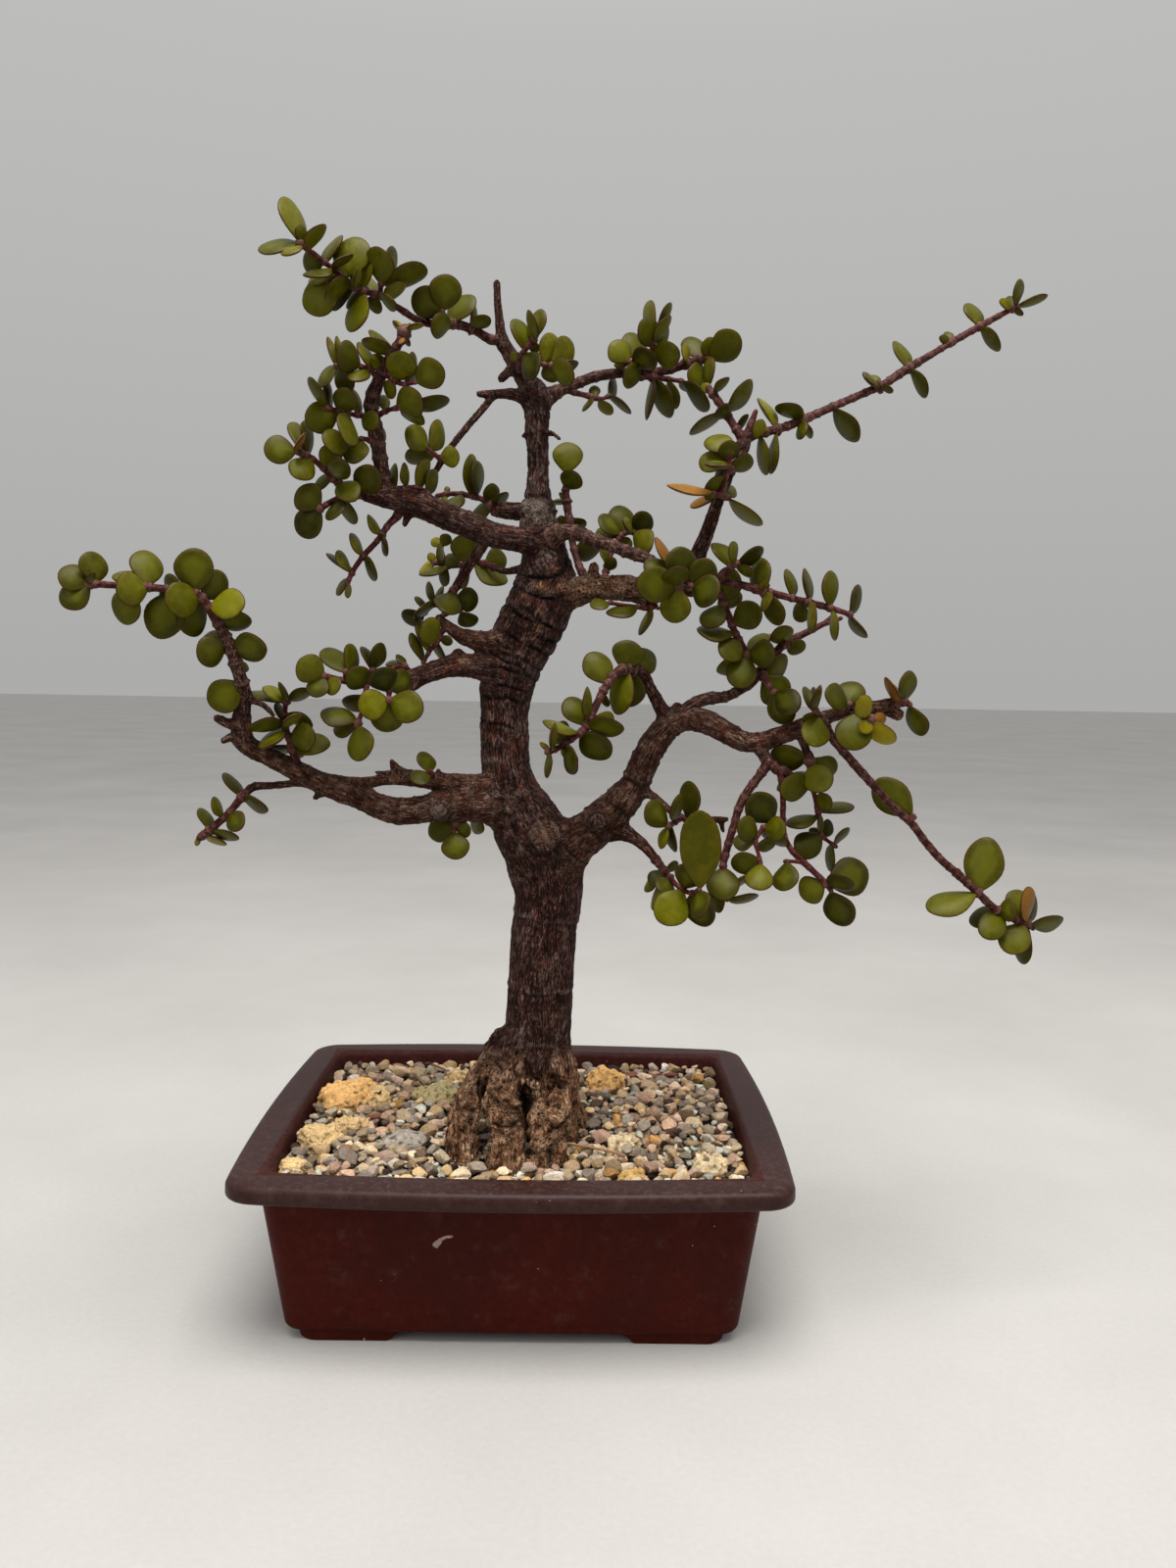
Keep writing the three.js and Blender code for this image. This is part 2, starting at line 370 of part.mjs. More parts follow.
      [-90.02, -46.8, 247.81, -106.73, -36.2, 252.59, 0.207, -0.113, 0.972, 13.38],
      [-89.9, -47, 248.5, -80.55, -44.98, 252.76, -0.447, 0.269, 0.853, 11.43],
      [-90.02, -46.8, 247.81, -89.52, -54.36, 255.32, 0.85, 0.398, 0.344, 8.17],
      [-91, -44.83, 238.97, -94.96, -38.89, 247.08, 0.884, -0.045, 0.465, 9.37],
      [-90.64, -45.86, 243.5, -80.2, -43.47, 239.09, 0.257, 0.472, 0.843, 11.61],
      [-91, -44.83, 238.97, -103.22, -53.51, 238.03, -0.245, 0.243, 0.939, 13.28],
      [-90.79, -44.67, 238.2, -83.13, -58.26, 243.73, -0.58, 0.005, 0.815, 7.13],
      [-89.72, -43.81, 233.77, -77.08, -55.32, 236.39, 0.437, 0.621, 0.651, 10.95],
      [-90.63, -44.54, 237.42, -97.46, -54.52, 229.99, -0.451, -0.313, 0.836, 11.61],
      [-89.04, -43.25, 231.12, -99.74, -31.34, 227.29, -0.105, 0.218, 0.97, 8.75],
      [-88.55, -42.86, 229.05, -74.01, -42.33, 232.26, -0.177, -0.452, 0.875, 13.52],
      [-88.73, -43, 229.77, -86.44, -33.2, 226.06, -0.815, 0.362, 0.453, 4.58],
      [-90.05, -44.08, 235.11, -103.73, -32.25, 233.54, -0.311, -0.238, 0.92, 11.47],
    ],
  },
  shoot_low_left_twig: {
    stems: [
      [[-105.66, -44.91, 213.13, 1.52], [-112.87, -46, 204.4, 1.33], [-124.03, -48.13, 194.32, 1.33]],
    ],
    leaves: [
      [-107.78, -45.23, 210.56, -115.35, -39.56, 219.49, -0.771, -0.02, -0.637, 11.61],
      [-107.78, -45.23, 210.56, -96.91, -50.3, 206.68, -0.49, -0.469, -0.735, 11.47],
      [-114.48, -46.31, 202.94, -118.51, -49.61, 210.44, -0.884, 0.027, -0.466, 9.58],
      [-112.43, -45.89, 204.95, -105.43, -52.68, 199.48, -0.645, -0.756, 0.113, 8.86],
      [-119.98, -47.35, 197.98, -123.83, -42.45, 206.13, -0.88, 0.079, -0.469, 9.85],
      [-119.98, -47.35, 197.98, -108.94, -45.51, 194.02, -0.23, -0.44, -0.868, 11.61],
      [-121.68, -47.68, 196.45, -115.52, -41.41, 191.4, -0.311, -0.388, -0.868, 9.73],
      [-122.79, -47.9, 195.41, -126.22, -45.17, 191.78, -0.748, -0.619, 0.241, 3.12],
    ],
  },
  shoot_near_trunk_left: {
    stems: [
      [[-36.57, -25.62, 216.83, 1.19], [-36.74, -32.78, 220.94, 0.98]],
    ],
    leaves: [
      [-36.7, -31.36, 220.12, -39.81, -26.53, 228.32, 0.741, -0.41, 0.532, 9.54],
      [-36.7, -31.36, 220.12, -42.96, -37.69, 216.98, 0.042, -0.481, 0.875, 8.74],
    ],
  },
  shoot_under_branch: {
    stems: [
      [[-24.66, -21.55, 202.78, 1.41], [-26.85, -24, 199.1, 1], [-27.83, -24, 194.99, 0.8]],
      [[-25.95, -22, 202.24, 1.2], [-20.24, -22, 201.38, 1], [-16.27, -20.73, 201.8, 0.8]],
    ],
    leaves: [
      [-26.87, -24, 199.02, -38.5, -19.22, 194.08, 0.509, 0.651, -0.562, 11.61],
      [-27.62, -24, 195.87, -25.39, -29.14, 185.06, 0.496, 0.819, -0.287, 11.61],
      [-27.04, -24, 198.3, -20.48, -24.9, 195.09, -0.356, -0.784, -0.508, 7.84],
      [-17.12, -21, 201.71, -19.84, -7.21, 193.32, 0.888, 0.354, 0.293, 7.13],
      [-26.49, -23.6, 199.71, -23.92, -8.42, 200.5, -0.817, 0.167, -0.552, 4.8],
    ],
  },
  shoot_behind_trunk: {
    stems: [
      [[24.61, -21.65, 298.52, 1.78], [22.32, -16, 303.39, 1.6], [19.79, -10, 311.04, 1.41], [18.45, -7, 318.12, 1.62], [15.56, -2.82, 338.25, 1.42]],
      [[15.67, -3.13, 335.29, 1.02], [16.04, -1.87, 344.03, 0.61]],
    ],
    leaves: [
      [16.5, -4.18, 331.72, 12.93, -6.02, 334.88, 0.733, -0.464, 0.497, 3.82],
      [16.5, -4.18, 331.72, 10.23, 7.74, 333.21, -0.109, -0.182, 0.977, 4.49],
      [17.66, -5.85, 323.65, 11.8, -1.29, 322.7, 0.563, 0.789, 0.245, 5.68],
      [17.46, -5.57, 325.03, 23.3, 1.15, 321.18, 0.238, 0.316, 0.918, 8.13],
      [18.48, -7.06, 317.98, 25.37, -1.81, 318.84, -0.379, 0.389, 0.84, 7.41],
      [19.66, -9.73, 311.69, 30.98, -3.38, 312.87, -0.393, 0.566, 0.725, 11.61],
      [16, -2, 343.14, 16.5, 3.74, 357.59, 0.033, -0.929, 0.368, 12.63],
      [15.78, -2.9, 336.92, 20.01, -8.93, 343.45, 0.241, 0.786, 0.569, 10.02],
    ],
  },
  shoot_behind_right: {
    stems: [
      [[31.52, -22.84, 295.94, 1.39], [33.52, -13, 305.83, 1.2], [36.32, -9, 313.03, 1.01], [39.93, -7, 318.5, 1.01], [44.87, -5.79, 319.7, 0.81]],
    ],
    leaves: [
      [39.53, -7.22, 317.89, 29.75, -8.06, 325.65, 0.535, -0.583, 0.611, 11.61],
      [40.62, -6.83, 318.66, 38.14, -2.4, 331.18, 0.571, -0.732, 0.372, 11.61],
      [44.02, -6, 319.49, 50.73, -7.54, 326.93, 0.484, -0.661, -0.573, 11.12],
      [44.02, -6, 319.49, 39.08, -16.64, 322.84, 0.872, -0.278, 0.404, 7.11],
      [39.13, -7.44, 317.28, 29.45, 0.66, 320.94, -0.111, -0.516, 0.849, 10.94],
      [44.02, -6, 319.49, 51.61, -15.36, 310.79, 0.845, 0.492, 0.208, 11.61],
      [33.31, -14.04, 304.79, 32.33, -7.58, 312.31, 0.778, -0.425, 0.463, 7.6],
      [32.89, -16.11, 302.71, 36.08, -20.36, 307.54, 0.294, 0.802, 0.519, 5.59],
      [38.33, -7.89, 316.07, 43.81, -3.82, 314.51, -0.18, 0.554, 0.813, 4.4],
    ],
  },
  shoot_under_rough: {
    stems: [
      [[52.97, -27.69, 288.59, 1.17], [49.84, -29, 286.94, 0.97], [33.27, -31.11, 288.98, 0.78]],
    ],
    leaves: [
      [34.16, -31, 288.87, 26.78, -34.5, 287.01, 0.008, -0.483, 0.876, 8.1],
      [44.98, -29.62, 287.54, 33.36, -36, 283.24, -0.147, -0.359, 0.921, 11.61],
      [50.44, -28.75, 287.26, 47.06, -34.17, 276.28, -0.914, -0.174, 0.367, 11.61],
    ],
  },
  shoot_right_mid: {
    stems: [
      [[72.37, -34.77, 295.37, 1.73], [76.55, -36, 293.48, 1.53], [89.92, -30.84, 268.19, 1.17]],
    ],
    leaves: [
      [78.54, -35.23, 289.72, 81.49, -39.74, 302.81, 0.815, 0.579, 0.011, 12.88],
      [77.21, -35.74, 292.23, 86.35, -29.48, 290.22, 0.15, -0.494, -0.856, 9.29],
      [78.87, -35.1, 289.09, 71.49, -39.85, 279.32, 0.535, 0.525, -0.661, 11.61],
      [82.89, -33.55, 281.48, 93.47, -35.61, 287.69, 0.125, -0.863, -0.489, 11.9],
      [84.85, -32.8, 277.79, 68.53, -35.68, 277.74, -0.077, 0.345, -0.936, 13.97],
      [85.85, -32.41, 275.88, 78.42, -39.67, 267.47, -0.279, 0.827, -0.488, 11.36],
      [89.14, -31.14, 269.57, 85, -38.1, 256, 0.577, 0.642, -0.505, 12.73],
      [88.85, -31.25, 270.22, 78.42, -27.5, 261.41, 0.444, -0.502, -0.742, 12.63],
      [89.14, -31.14, 269.57, 98.52, -42.49, 269.15, 0.622, 0.491, 0.61, 11.61],
      [89.51, -31, 268.97, 96.71, -30.61, 278.03, 0.723, 0.358, -0.59, 11.61],
      [89.51, -31, 268.97, 99.8, -18.98, 276.87, 0.598, 0.015, -0.801, 11.61],
    ],
  },
  shoot_end_left: {
    stems: [
      [[116.72, -42.21, 244.61, 1.53], [112.66, -52.79, 248.9, 0.94]],
    ],
    leaves: [
      [113.53, -50.52, 247.98, 107.65, -52.86, 256.71, 0.81, -0.396, 0.433, 10.94],
      [113.21, -51.25, 248.28, 113.73, -37.27, 255.85, -0.994, 0.079, -0.078, 8.63],
      [112.96, -52, 248.58, 111.05, -63.74, 256.9, -0.915, 0.322, 0.244, 8.89],
      [114.87, -47.03, 246.56, 111.21, -56.58, 234.51, 0.573, -0.716, 0.399, 11.61],
      [114.1, -49.04, 247.38, 109.59, -47.03, 243.08, 0.35, -0.664, -0.661, 6.9],
    ],
  },
  shoot_end_mid: {
    stems: [
      [[127.52, -44.15, 248.38, 1.33], [125.21, -53.85, 250.9, 0.93]],
      [[127.19, -44.11, 248.64, 1.14], [128.77, -55, 248.18, 0.93], [132.66, -61.73, 245.18, 0.92]],
    ],
    leaves: [
      [125.41, -53, 250.68, 114.51, -60.16, 254.87, 0.601, -0.615, 0.511, 10.94],
      [125.41, -53, 250.68, 129.76, -45.39, 259.3, 0.016, -0.754, 0.657, 10.52],
      [131.54, -59.8, 246.04, 125.89, -67.71, 253.47, 0.736, -0.661, -0.144, 8.78],
      [128.85, -55.13, 248.12, 124.23, -61.15, 233.84, -0.129, -0.896, 0.425, 14.53],
      [132.24, -61, 245.5, 128.46, -62.19, 240.35, -0.075, -0.958, 0.277, 6.1],
      [132.24, -61, 245.5, 140.19, -49.54, 245.19, 0.822, -0.569, 0.035, 5.51],
      [132.24, -61, 245.5, 140.93, -55.42, 235.65, -0.565, -0.397, -0.723, 11.61],
    ],
  },
  shoot_end_tip: {
    stems: [
      [[142.34, -47.78, 251.02, 1.89], [147.05, -49, 252.05, 1.7], [150.58, -49, 250.63, 0.94]],
    ],
    leaves: [
      [144.73, -48.4, 251.55, 138.32, -57.95, 260.58, 0.853, -0.086, 0.514, 10.53],
      [145.5, -48.6, 251.72, 144.71, -39.67, 258.69, 0.646, -0.433, 0.628, 8.22],
      [147.72, -49, 251.78, 148.64, -50.94, 264.08, 0.749, -0.644, -0.158, 11.61],
      [149.74, -49, 250.97, 155.56, -47.67, 238.93, 0.851, 0.282, 0.443, 11.75],
    ],
  },
  shoot_spur_hanging: {
    stems: [
      [[113.49, -38.13, 231.25, 1.55], [119.7, -34, 203.44, 0.79], [120.69, -34, 197.91, 0.79], [127.47, -34, 192.69, 0.79]],
    ],
    leaves: [
      [114.5, -37.45, 226.71, 119.9, -46.36, 216.41, 0.805, 0.587, -0.083, 11.94],
      [114.34, -37.56, 227.44, 126.56, -31.12, 222.62, 0.069, -0.682, -0.728, 11.61],
      [116.32, -36.25, 218.59, 101.73, -47.71, 216.76, 0.591, -0.651, -0.476, 11.61],
      [114.01, -37.78, 228.9, 99.09, -33.76, 229.46, -0.194, -0.618, -0.762, 14.02],
      [115.32, -36.91, 223.03, 102.86, -31.33, 215.54, 0.555, 0.122, -0.823, 13.52],
      [118.41, -34.85, 209.2, 122.52, -39.64, 214.34, -0.565, -0.777, -0.279, 7.83],
      [118.89, -34.5, 207.04, 133.67, -30.36, 210.37, 0.188, 0.114, -0.976, 12.96],
      [119.22, -34.3, 205.6, 105.83, -37.1, 202.04, 0.219, 0.174, -0.96, 12.19],
      [119.22, -34.3, 205.6, 119.01, -41.78, 200.12, 0.998, -0.05, 0.029, 7.02],
      [121.81, -34, 197.05, 125.12, -30.74, 203.51, 0.757, -0.65, -0.064, 7.96],
      [126.06, -34, 193.73, 130.4, -37.44, 201.68, 0.683, -0.456, -0.57, 9.84],
      [125.41, -34, 194.28, 124.37, -30.22, 183.02, 0.997, 0.037, -0.075, 11.45],
      [120.56, -34, 198.6, 110.76, -38.88, 189.95, -0.086, 0.906, -0.413, 11.75],
      [120.67, -34, 198.02, 116.72, -29.82, 199.67, 0.158, 0.507, -0.847, 4.09],
      [114.17, -37.67, 228.17, 122.87, -24.33, 226.39, 0.317, -0.328, -0.89, 4.64],
    ],
  },
  shoot_low_front: {
    stems: [
      [[54.24, -30.35, 186.97, 1.78], [57.2, -35, 183.6, 1.38], [63.1, -50, 178.47, 0.95], [66.37, -56, 177.71, 0.94], [69.85, -62.76, 180.3, 0.74]],
    ],
    leaves: [
      [69.46, -62, 180.01, 68.72, -61.65, 210.58, -0.102, -0.995, 0.009, 16.32],
      [64.19, -52, 178.22, 67.25, -59.09, 189.52, -0.302, -0.842, -0.447, 11.58],
      [68.84, -60.8, 179.55, 70.13, -69.42, 171.03, -0.909, -0.354, 0.22, 11.15],
      [64.19, -52, 178.22, 54.83, -58.04, 166.48, 0.079, -0.911, 0.406, 14.28],
      [66.99, -57.2, 178.17, 73.38, -52.82, 164.05, -0.621, -0.624, -0.474, 12.81],
      [59.98, -42.06, 181.19, 55.41, -49.22, 176.01, 0.309, -0.655, 0.689, 8.74],
      [57.96, -36.92, 182.94, 63.7, -32.08, 185.21, 0.675, -0.597, -0.433, 4.8],
      [58.21, -37.57, 182.72, 51.98, -41, 178.02, -0.25, -0.582, 0.774, 8.49],
      [57.44, -35.64, 183.35, 50.66, -29.05, 174.05, 0.821, 0.041, -0.569, 11.59],
      [59.98, -42.06, 181.19, 52.69, -37.26, 167.64, 0.891, 0.141, -0.432, 12.9],
    ],
  },
  shoot_mid_front: {
    stems: [
      [[64.13, -33.14, 204.24, 1.37], [61.74, -41, 203.42, 1.16], [57.81, -45.66, 201.69, 0.96]],
      [[63.45, -33.21, 204.23, 1.18], [66.98, -39.79, 203.55, 0.97]],
    ],
    leaves: [
      [58.37, -45, 201.94, 49.27, -49.88, 211.01, -0.697, 0.615, -0.368, 11.61],
      [58.37, -45, 201.94, 55.57, -44.11, 192.86, -0.944, -0.184, 0.273, 10.03],
      [59.34, -43.86, 202.36, 60.38, -37.26, 191.13, -0.947, -0.231, -0.223, 10.92],
      [61.26, -41.57, 203.21, 62.38, -48.45, 214.3, -0.881, 0.357, 0.311, 11.28],
      [66.23, -38.38, 203.7, 68.02, -39.94, 219.33, 0.923, 0.378, -0.068, 14.06],
    ],
  },
  shoot_arch: {
    stems: [
      [[45.98, -36.46, 262.72, 2.12], [41.27, -40, 263.09, 2.1], [37.01, -43, 261.11, 1.9], [30.63, -47, 251.61, 1.51], [25.14, -51, 240, 1.31], [20.7, -53, 236.28, 1.12], [10.71, -55.17, 230.58, 1.12]],
    ],
    leaves: [
      [33.98, -44.9, 256.61, 26.39, -41.08, 268.97, -0.471, 0.716, -0.515, 12.72],
      [39.45, -41.29, 262.24, 42.47, -40.4, 273.98, -0.017, -0.997, 0.08, 12.76],
      [42.98, -38.71, 262.96, 52.43, -26.4, 268.86, -0.818, 0.552, 0.158, 11.18],
      [41.18, -40.06, 263.05, 36.65, -39.66, 245.04, -0.85, -0.484, 0.208, 14.5],
      [43.55, -38.29, 262.91, 41.83, -33.58, 247.68, -0.678, -0.721, -0.146, 13.78],
      [32.12, -46.06, 253.83, 33.09, -42.03, 247.73, -0.77, -0.461, -0.441, 4.81],
      [25.46, -50.78, 240.66, 18.55, -47.13, 251.79, -0.562, 0.617, -0.551, 11.9],
      [27.03, -49.62, 243.99, 24.86, -55.56, 255.38, -0.976, 0.203, -0.086, 11.61],
      [22.92, -52, 238.14, 8.8, -56.9, 241.11, -0.261, 0.177, -0.949, 13.13],
      [20.07, -53.14, 235.92, 11.76, -40.76, 239.47, -0.702, -0.59, 0.398, 9.78],
      [13.27, -54.61, 232.04, 12.71, -66.44, 241.23, -0.996, 0.079, 0.029, 9.59],
      [25.46, -50.78, 240.66, 39.94, -55.59, 241.19, -0.127, -0.478, -0.869, 13.25],
      [26.71, -49.85, 243.33, 36.47, -42.73, 239.46, 0.221, -0.678, -0.701, 10.87],
      [24.03, -51.5, 239.07, 34.07, -47.89, 227.75, -0.437, -0.67, -0.601, 13.39],
      [16.91, -53.82, 234.12, 22.03, -61.43, 223.88, -0.92, -0.343, -0.192, 11.61],
      [18.17, -53.55, 234.84, 20.46, -48.07, 226.16, -0.768, -0.43, -0.474, 8.91],
      [11.48, -55, 231.02, 11, -60.25, 221.76, -0.978, -0.157, 0.139, 10.44],
      [11.48, -55, 231.02, 8.38, -52.48, 234.56, -0.556, 0.365, -0.747, 3.7],
    ],
  },
  shoot_apex_front: {
    stems: [
      [[-2.81, -16.18, 379.57, 1.37], [-2.96, -23, 382.59, 1.16], [-0.83, -28, 385.82, 0.96], [3.63, -30.32, 390.01, 0.95]],
      [[-3.61, -22.38, 382.69, 0.97], [2.28, -28, 381.79, 0.77], [10.43, -32.41, 379.19, 0.76]],
    ],
    leaves: [
      [-0.87, -27.9, 385.76, -3.46, -24.21, 399.1, 0.788, -0.533, 0.308, 11.61],
      [3.02, -30, 389.43, 1.41, -39.32, 397.34, 0.936, 0.12, 0.332, 11.61],
      [3.02, -30, 389.43, 4.65, -26.61, 401.9, 0.802, 0.541, -0.252, 11.61],
      [6.95, -30.53, 380.3, 10.88, -26.64, 392.28, 0.811, -0.581, -0.076, 11.61],
      [9.67, -32, 379.43, 17.68, -23.79, 390.39, 0.85, -0.44, -0.291, 11.61],
      [0.61, -28.75, 387.17, 5.18, -25.19, 387.42, 0.599, -0.749, -0.283, 4.2],
      [-1.3, -26.89, 385.1, 4.61, -35.68, 374.6, -0.871, -0.484, -0.085, 11.06],
      [-2.43, -23.5, 382.51, -6.57, -21.42, 386.7, -0.346, -0.931, 0.12, 4.64],
      [9.67, -32, 379.43, 18.57, -40.36, 372.6, 0.757, 0.359, 0.546, 10.9],
      [7.63, -30.9, 380.08, 11.25, -27.03, 374.16, 0.471, 0.524, 0.71, 8.56],
      [9.67, -32, 379.43, 20.3, -27.72, 380.33, 0.14, -0.142, -0.98, 11.44],
    ],
  },
  shoot_mid_left_front: {
    stems: [
      [[-51.49, -40.19, 258.87, 1.14], [-50.09, -49, 254.81, 0.94], [-49.02, -55.68, 249.14, 0.93]],
      [[-43.63, -37.6, 260.32, 0.96], [-46.12, -39.4, 263, 0.77]],
      [[-50.88, -45.16, 255.02, 0.95], [-49.75, -44, 261.18, 0.95], [-45, -38.32, 262.58, 0.96]],
    ],
    leaves: [
      [-49.65, -51.73, 252.5, -52.78, -58.73, 261.94, -0.224, -0.746, -0.627, 11.3],
      [-49.13, -55, 249.72, -59.65, -61.11, 246.3, 0.468, -0.875, 0.124, 12.12],
      [-49.13, -55, 249.72, -35.51, -60.13, 244.67, -0.281, -0.939, 0.197, 12.69],
      [-49.13, -55, 249.72, -52.03, -50.76, 237.26, 0.084, -0.937, -0.338, 12.66],
      [-49.83, -50.64, 253.42, -42.75, -42.71, 259.06, 0.807, -0.517, -0.285, 10.67],
      [-45.57, -39, 262.41, -54.37, -24.59, 264.31, -0.004, -0.133, 0.991, 7.29],
      [-45.57, -39, 262.41, -48.72, -35.95, 267.35, 0.647, -0.391, 0.654, 4.38],
    ],
  },
  branch_upright_left: {
    stems: [
      [[-51.01, -44.86, 325.2, 2.98], [-56.61, -50, 357.62, 2.75], [-55.7, -51, 363.12, 2.74], [-52.99, -52, 368.96, 2.18], [-44.1, -55.17, 382.8, 1.62]],
      [[-44.99, -55, 381.61, 1.44], [-42.74, -55, 386.03, 1.44]],
      [[-51.66, -51.39, 370.85, 1.09], [-47.13, -57, 366.8, 0.9], [-43.09, -60, 364.77, 0.89], [-37.71, -62.36, 365.12, 0.71]],
      [[-55.33, -48.52, 355.59, 1.1], [-41.33, -57.48, 358.27, 0.72]],
      [[-52.92, -51.33, 367.47, 1.09], [-55.92, -56, 370.39, 0.9], [-58.78, -60, 370.73, 0.89], [-67.43, -65.48, 369.56, 0.71]],
      [[-51.77, -52.37, 372.82, 0.91], [-49.05, -56.63, 376.27, 0.72]],
      [[-55.98, -49.37, 355.63, 1.1], [-60.62, -54, 354.55, 0.91], [-72.44, -63.57, 355.25, 0.71]],
      [[-54.51, -47.34, 345.75, 1.11], [-58.82, -52, 346.45, 0.91], [-66.05, -59.62, 342.93, 0.72]],
    ],
    leaves: [
      [-43.51, -55, 384.52, -49.18, -43.96, 391.43, 0.594, -0.185, 0.783, 3.72],
      [-43.15, -55, 385.23, -36.05, -59.86, 386.42, -0.212, -0.071, 0.975, 4.96],
      [-43.51, -55, 384.52, -41.5, -51.43, 388.37, 0.902, -0.045, -0.429, 3.1],
      [-44.22, -55, 383.11, -44.31, -59.15, 378.85, 0.66, 0.531, -0.531, 3.1],
      [-43.86, -55, 383.82, -42.33, -50.56, 380.84, 0.549, 0.327, 0.769, 3.1],
      [-45.97, -57.86, 366.22, -41.81, -67.13, 374.44, -0.049, -0.675, -0.736, 11.94],
      [-42.44, -60.29, 364.81, -39.68, -51.22, 376.73, 0.975, -0.005, -0.222, 11.38],
      [-38.53, -62, 365.07, -27.72, -65.82, 369.38, -0.176, -0.913, -0.368, 11.61],
      [-47.53, -56.5, 367.16, -50.03, -51.8, 361.7, 0.768, 0.615, 0.178, 7.4],
      [-46.39, -54.24, 357.3, -36.39, -62.2, 360.41, 0.441, 0.773, 0.456, 11.76],
      [-42.08, -57, 358.13, -27.2, -51.48, 359.98, 0.141, -0.049, -0.989, 14],
      [-44.53, -55.43, 357.66, -37.77, -48.51, 352.91, 0.421, 0.184, 0.888, 10.95],
      [-50.85, -51.39, 356.45, -53.34, -43.87, 364.19, 0.688, 0.6, -0.408, 4.61],
      [-66.67, -65, 369.66, -71.47, -51.9, 381.7, -0.953, -0.079, -0.294, 9.75],
      [-66.03, -64.59, 369.75, -66.2, -60.16, 380.24, -1, -0.023, -0.012, 10.33],
      [-58.72, -59.92, 370.72, -65.18, -70.05, 374.25, -0.857, 0.493, -0.15, 11.47],
      [-66.03, -64.59, 369.75, -74.45, -61.77, 364.11, -0.574, -0.594, 0.563, 10.8],
      [-61.46, -61.7, 370.37, -68.97, -51.11, 364.84, -0.782, -0.612, -0.117, 10.4],
      [-56.74, -57.14, 370.48, -60.63, -67.22, 363.75, -0.12, -0.519, 0.846, 7.8],
      [-55.98, -56.08, 370.4, -59.86, -47.08, 382.45, -0.88, 0.196, -0.433, 11.06],
      [-49.45, -56, 375.76, -55.57, -65.98, 379.53, 0.301, 0.17, 0.938, 11.24],
      [-49.45, -56, 375.76, -55.27, -47.11, 387.21, 0.761, -0.265, 0.593, 11.08],
      [-52.22, -52.28, 370.16, -54.77, -53.59, 377.15, 0.846, -0.491, 0.206, 8.6],
      [-71.74, -63, 355.21, -74.12, -72.74, 362.85, -0.786, -0.251, -0.565, 11.61],
      [-70.59, -62.07, 355.14, -72.92, -48.69, 366.54, -0.99, -0.077, -0.12, 9.12],
      [-67.63, -59.67, 354.97, -61.49, -66.12, 360.8, 0.316, -0.483, -0.816, 9.43],
      [-61.19, -54.46, 354.58, -63.22, -46.92, 364.8, -0.944, 0.144, -0.297, 9.42],
      [-67.02, -59.18, 354.93, -78, -64.1, 349.36, 0.419, -0.902, -0.103, 11.8],
      [-64.03, -56.76, 354.75, -62.08, -68.23, 341.54, -0.94, 0.187, -0.286, 11.61],
      [-59.62, -53, 354.78, -52.53, -59.1, 349.6, -0.741, -0.593, -0.316, 7.92],
      [-63.42, -56.85, 344.21, -71.25, -67.14, 342.74, -0.588, 0.559, -0.585, 10.75],
      [-59.84, -53.08, 345.95, -62.28, -58.66, 336.46, -0.377, -0.76, 0.53, 10.2],
      [-57.23, -50.29, 346.2, -53.39, -40.31, 352.76, 0.721, -0.552, 0.418, 8.18],
      [-65.46, -59, 343.22, -73.34, -59.35, 335.8, 0.646, -0.367, -0.669, 11.61],
    ],
  },
  branch_apex_right: {
    stems: [
      [[3.18, -15.19, 368.15, 4.34], [11.69, -13, 373.87, 2.57], [26.28, -9, 380.89, 2.19], [56.56, -3, 385.67, 1.82], [64.7, -1.89, 388.72, 1.82]],
      [[13.56, -12.17, 375.9, 1.59], [25.26, -9.83, 373.03, 1]],
      [[49.18, -4.13, 384.8, 1.41], [49.18, -11, 386.63, 0.99], [49.6, -16, 389.94, 0.98], [51.75, -19.29, 399.47, 0.78]],
      [[49.72, -7.49, 385.85, 1], [39.6, -14.51, 385.69, 0.79]],
      [[49.77, -4.69, 384.29, 1.21], [51.07, -6.31, 380.1, 1.2]],
      [[50.62, -4.41, 383.43, 1.21], [44.41, -10.59, 379.88, 0.8]],
      [[49.58, -5.25, 382.33, 1.21], [57.45, -3, 382.15, 1.01], [63.91, -4.16, 381.07, 0.81]],
      [[63, -2, 388.13, 1.82], [71.48, -2, 390.91, 1.62], [74.57, -5.66, 389.56, 1]],
      [[23.52, -10, 373.42, 1], [29.6, -10, 372.17, 0.8], [34, -8.78, 373.96, 0.8]],
    ],
    leaves: [
      [49.89, -16.45, 391.24, 45.25, -23.46, 399.89, 0.788, -0.612, -0.066, 11.61],
      [50.94, -18.05, 395.88, 56.75, -4.25, 398.85, 0.912, -0.325, -0.252, 11.72],
      [51.25, -18.53, 397.26, 46.12, -7.3, 409.96, 0.958, 0.176, 0.227, 11.61],
      [51.4, -18.76, 397.95, 57.12, -15, 407.86, -0.88, 0.138, 0.455, 11.39],
      [50.33, -17.12, 393.19, 56.17, -24, 401.42, -0.767, 0.112, 0.632, 11.61],
      [41.02, -13.53, 385.71, 33.12, -14.31, 393.21, -0.429, 0.82, -0.379, 11.61],
      [41.02, -13.53, 385.71, 34.97, -8.77, 386.15, -0.459, -0.632, 0.624, 4.87],
      [44.32, -11.24, 385.76, 42.45, -5.92, 400.18, -0.655, 0.665, -0.358, 12.03],
      [41.7, -13.06, 385.72, 50.58, -24.72, 386.85, -0.241, -0.271, -0.932, 11.15],
      [49.54, -15.38, 389.53, 60.03, -23.42, 386.64, -0.511, -0.391, -0.765, 11.61],
      [46, -9, 380.8, 37.96, -22.9, 379.77, -0.814, 0.443, 0.374, 10.62],
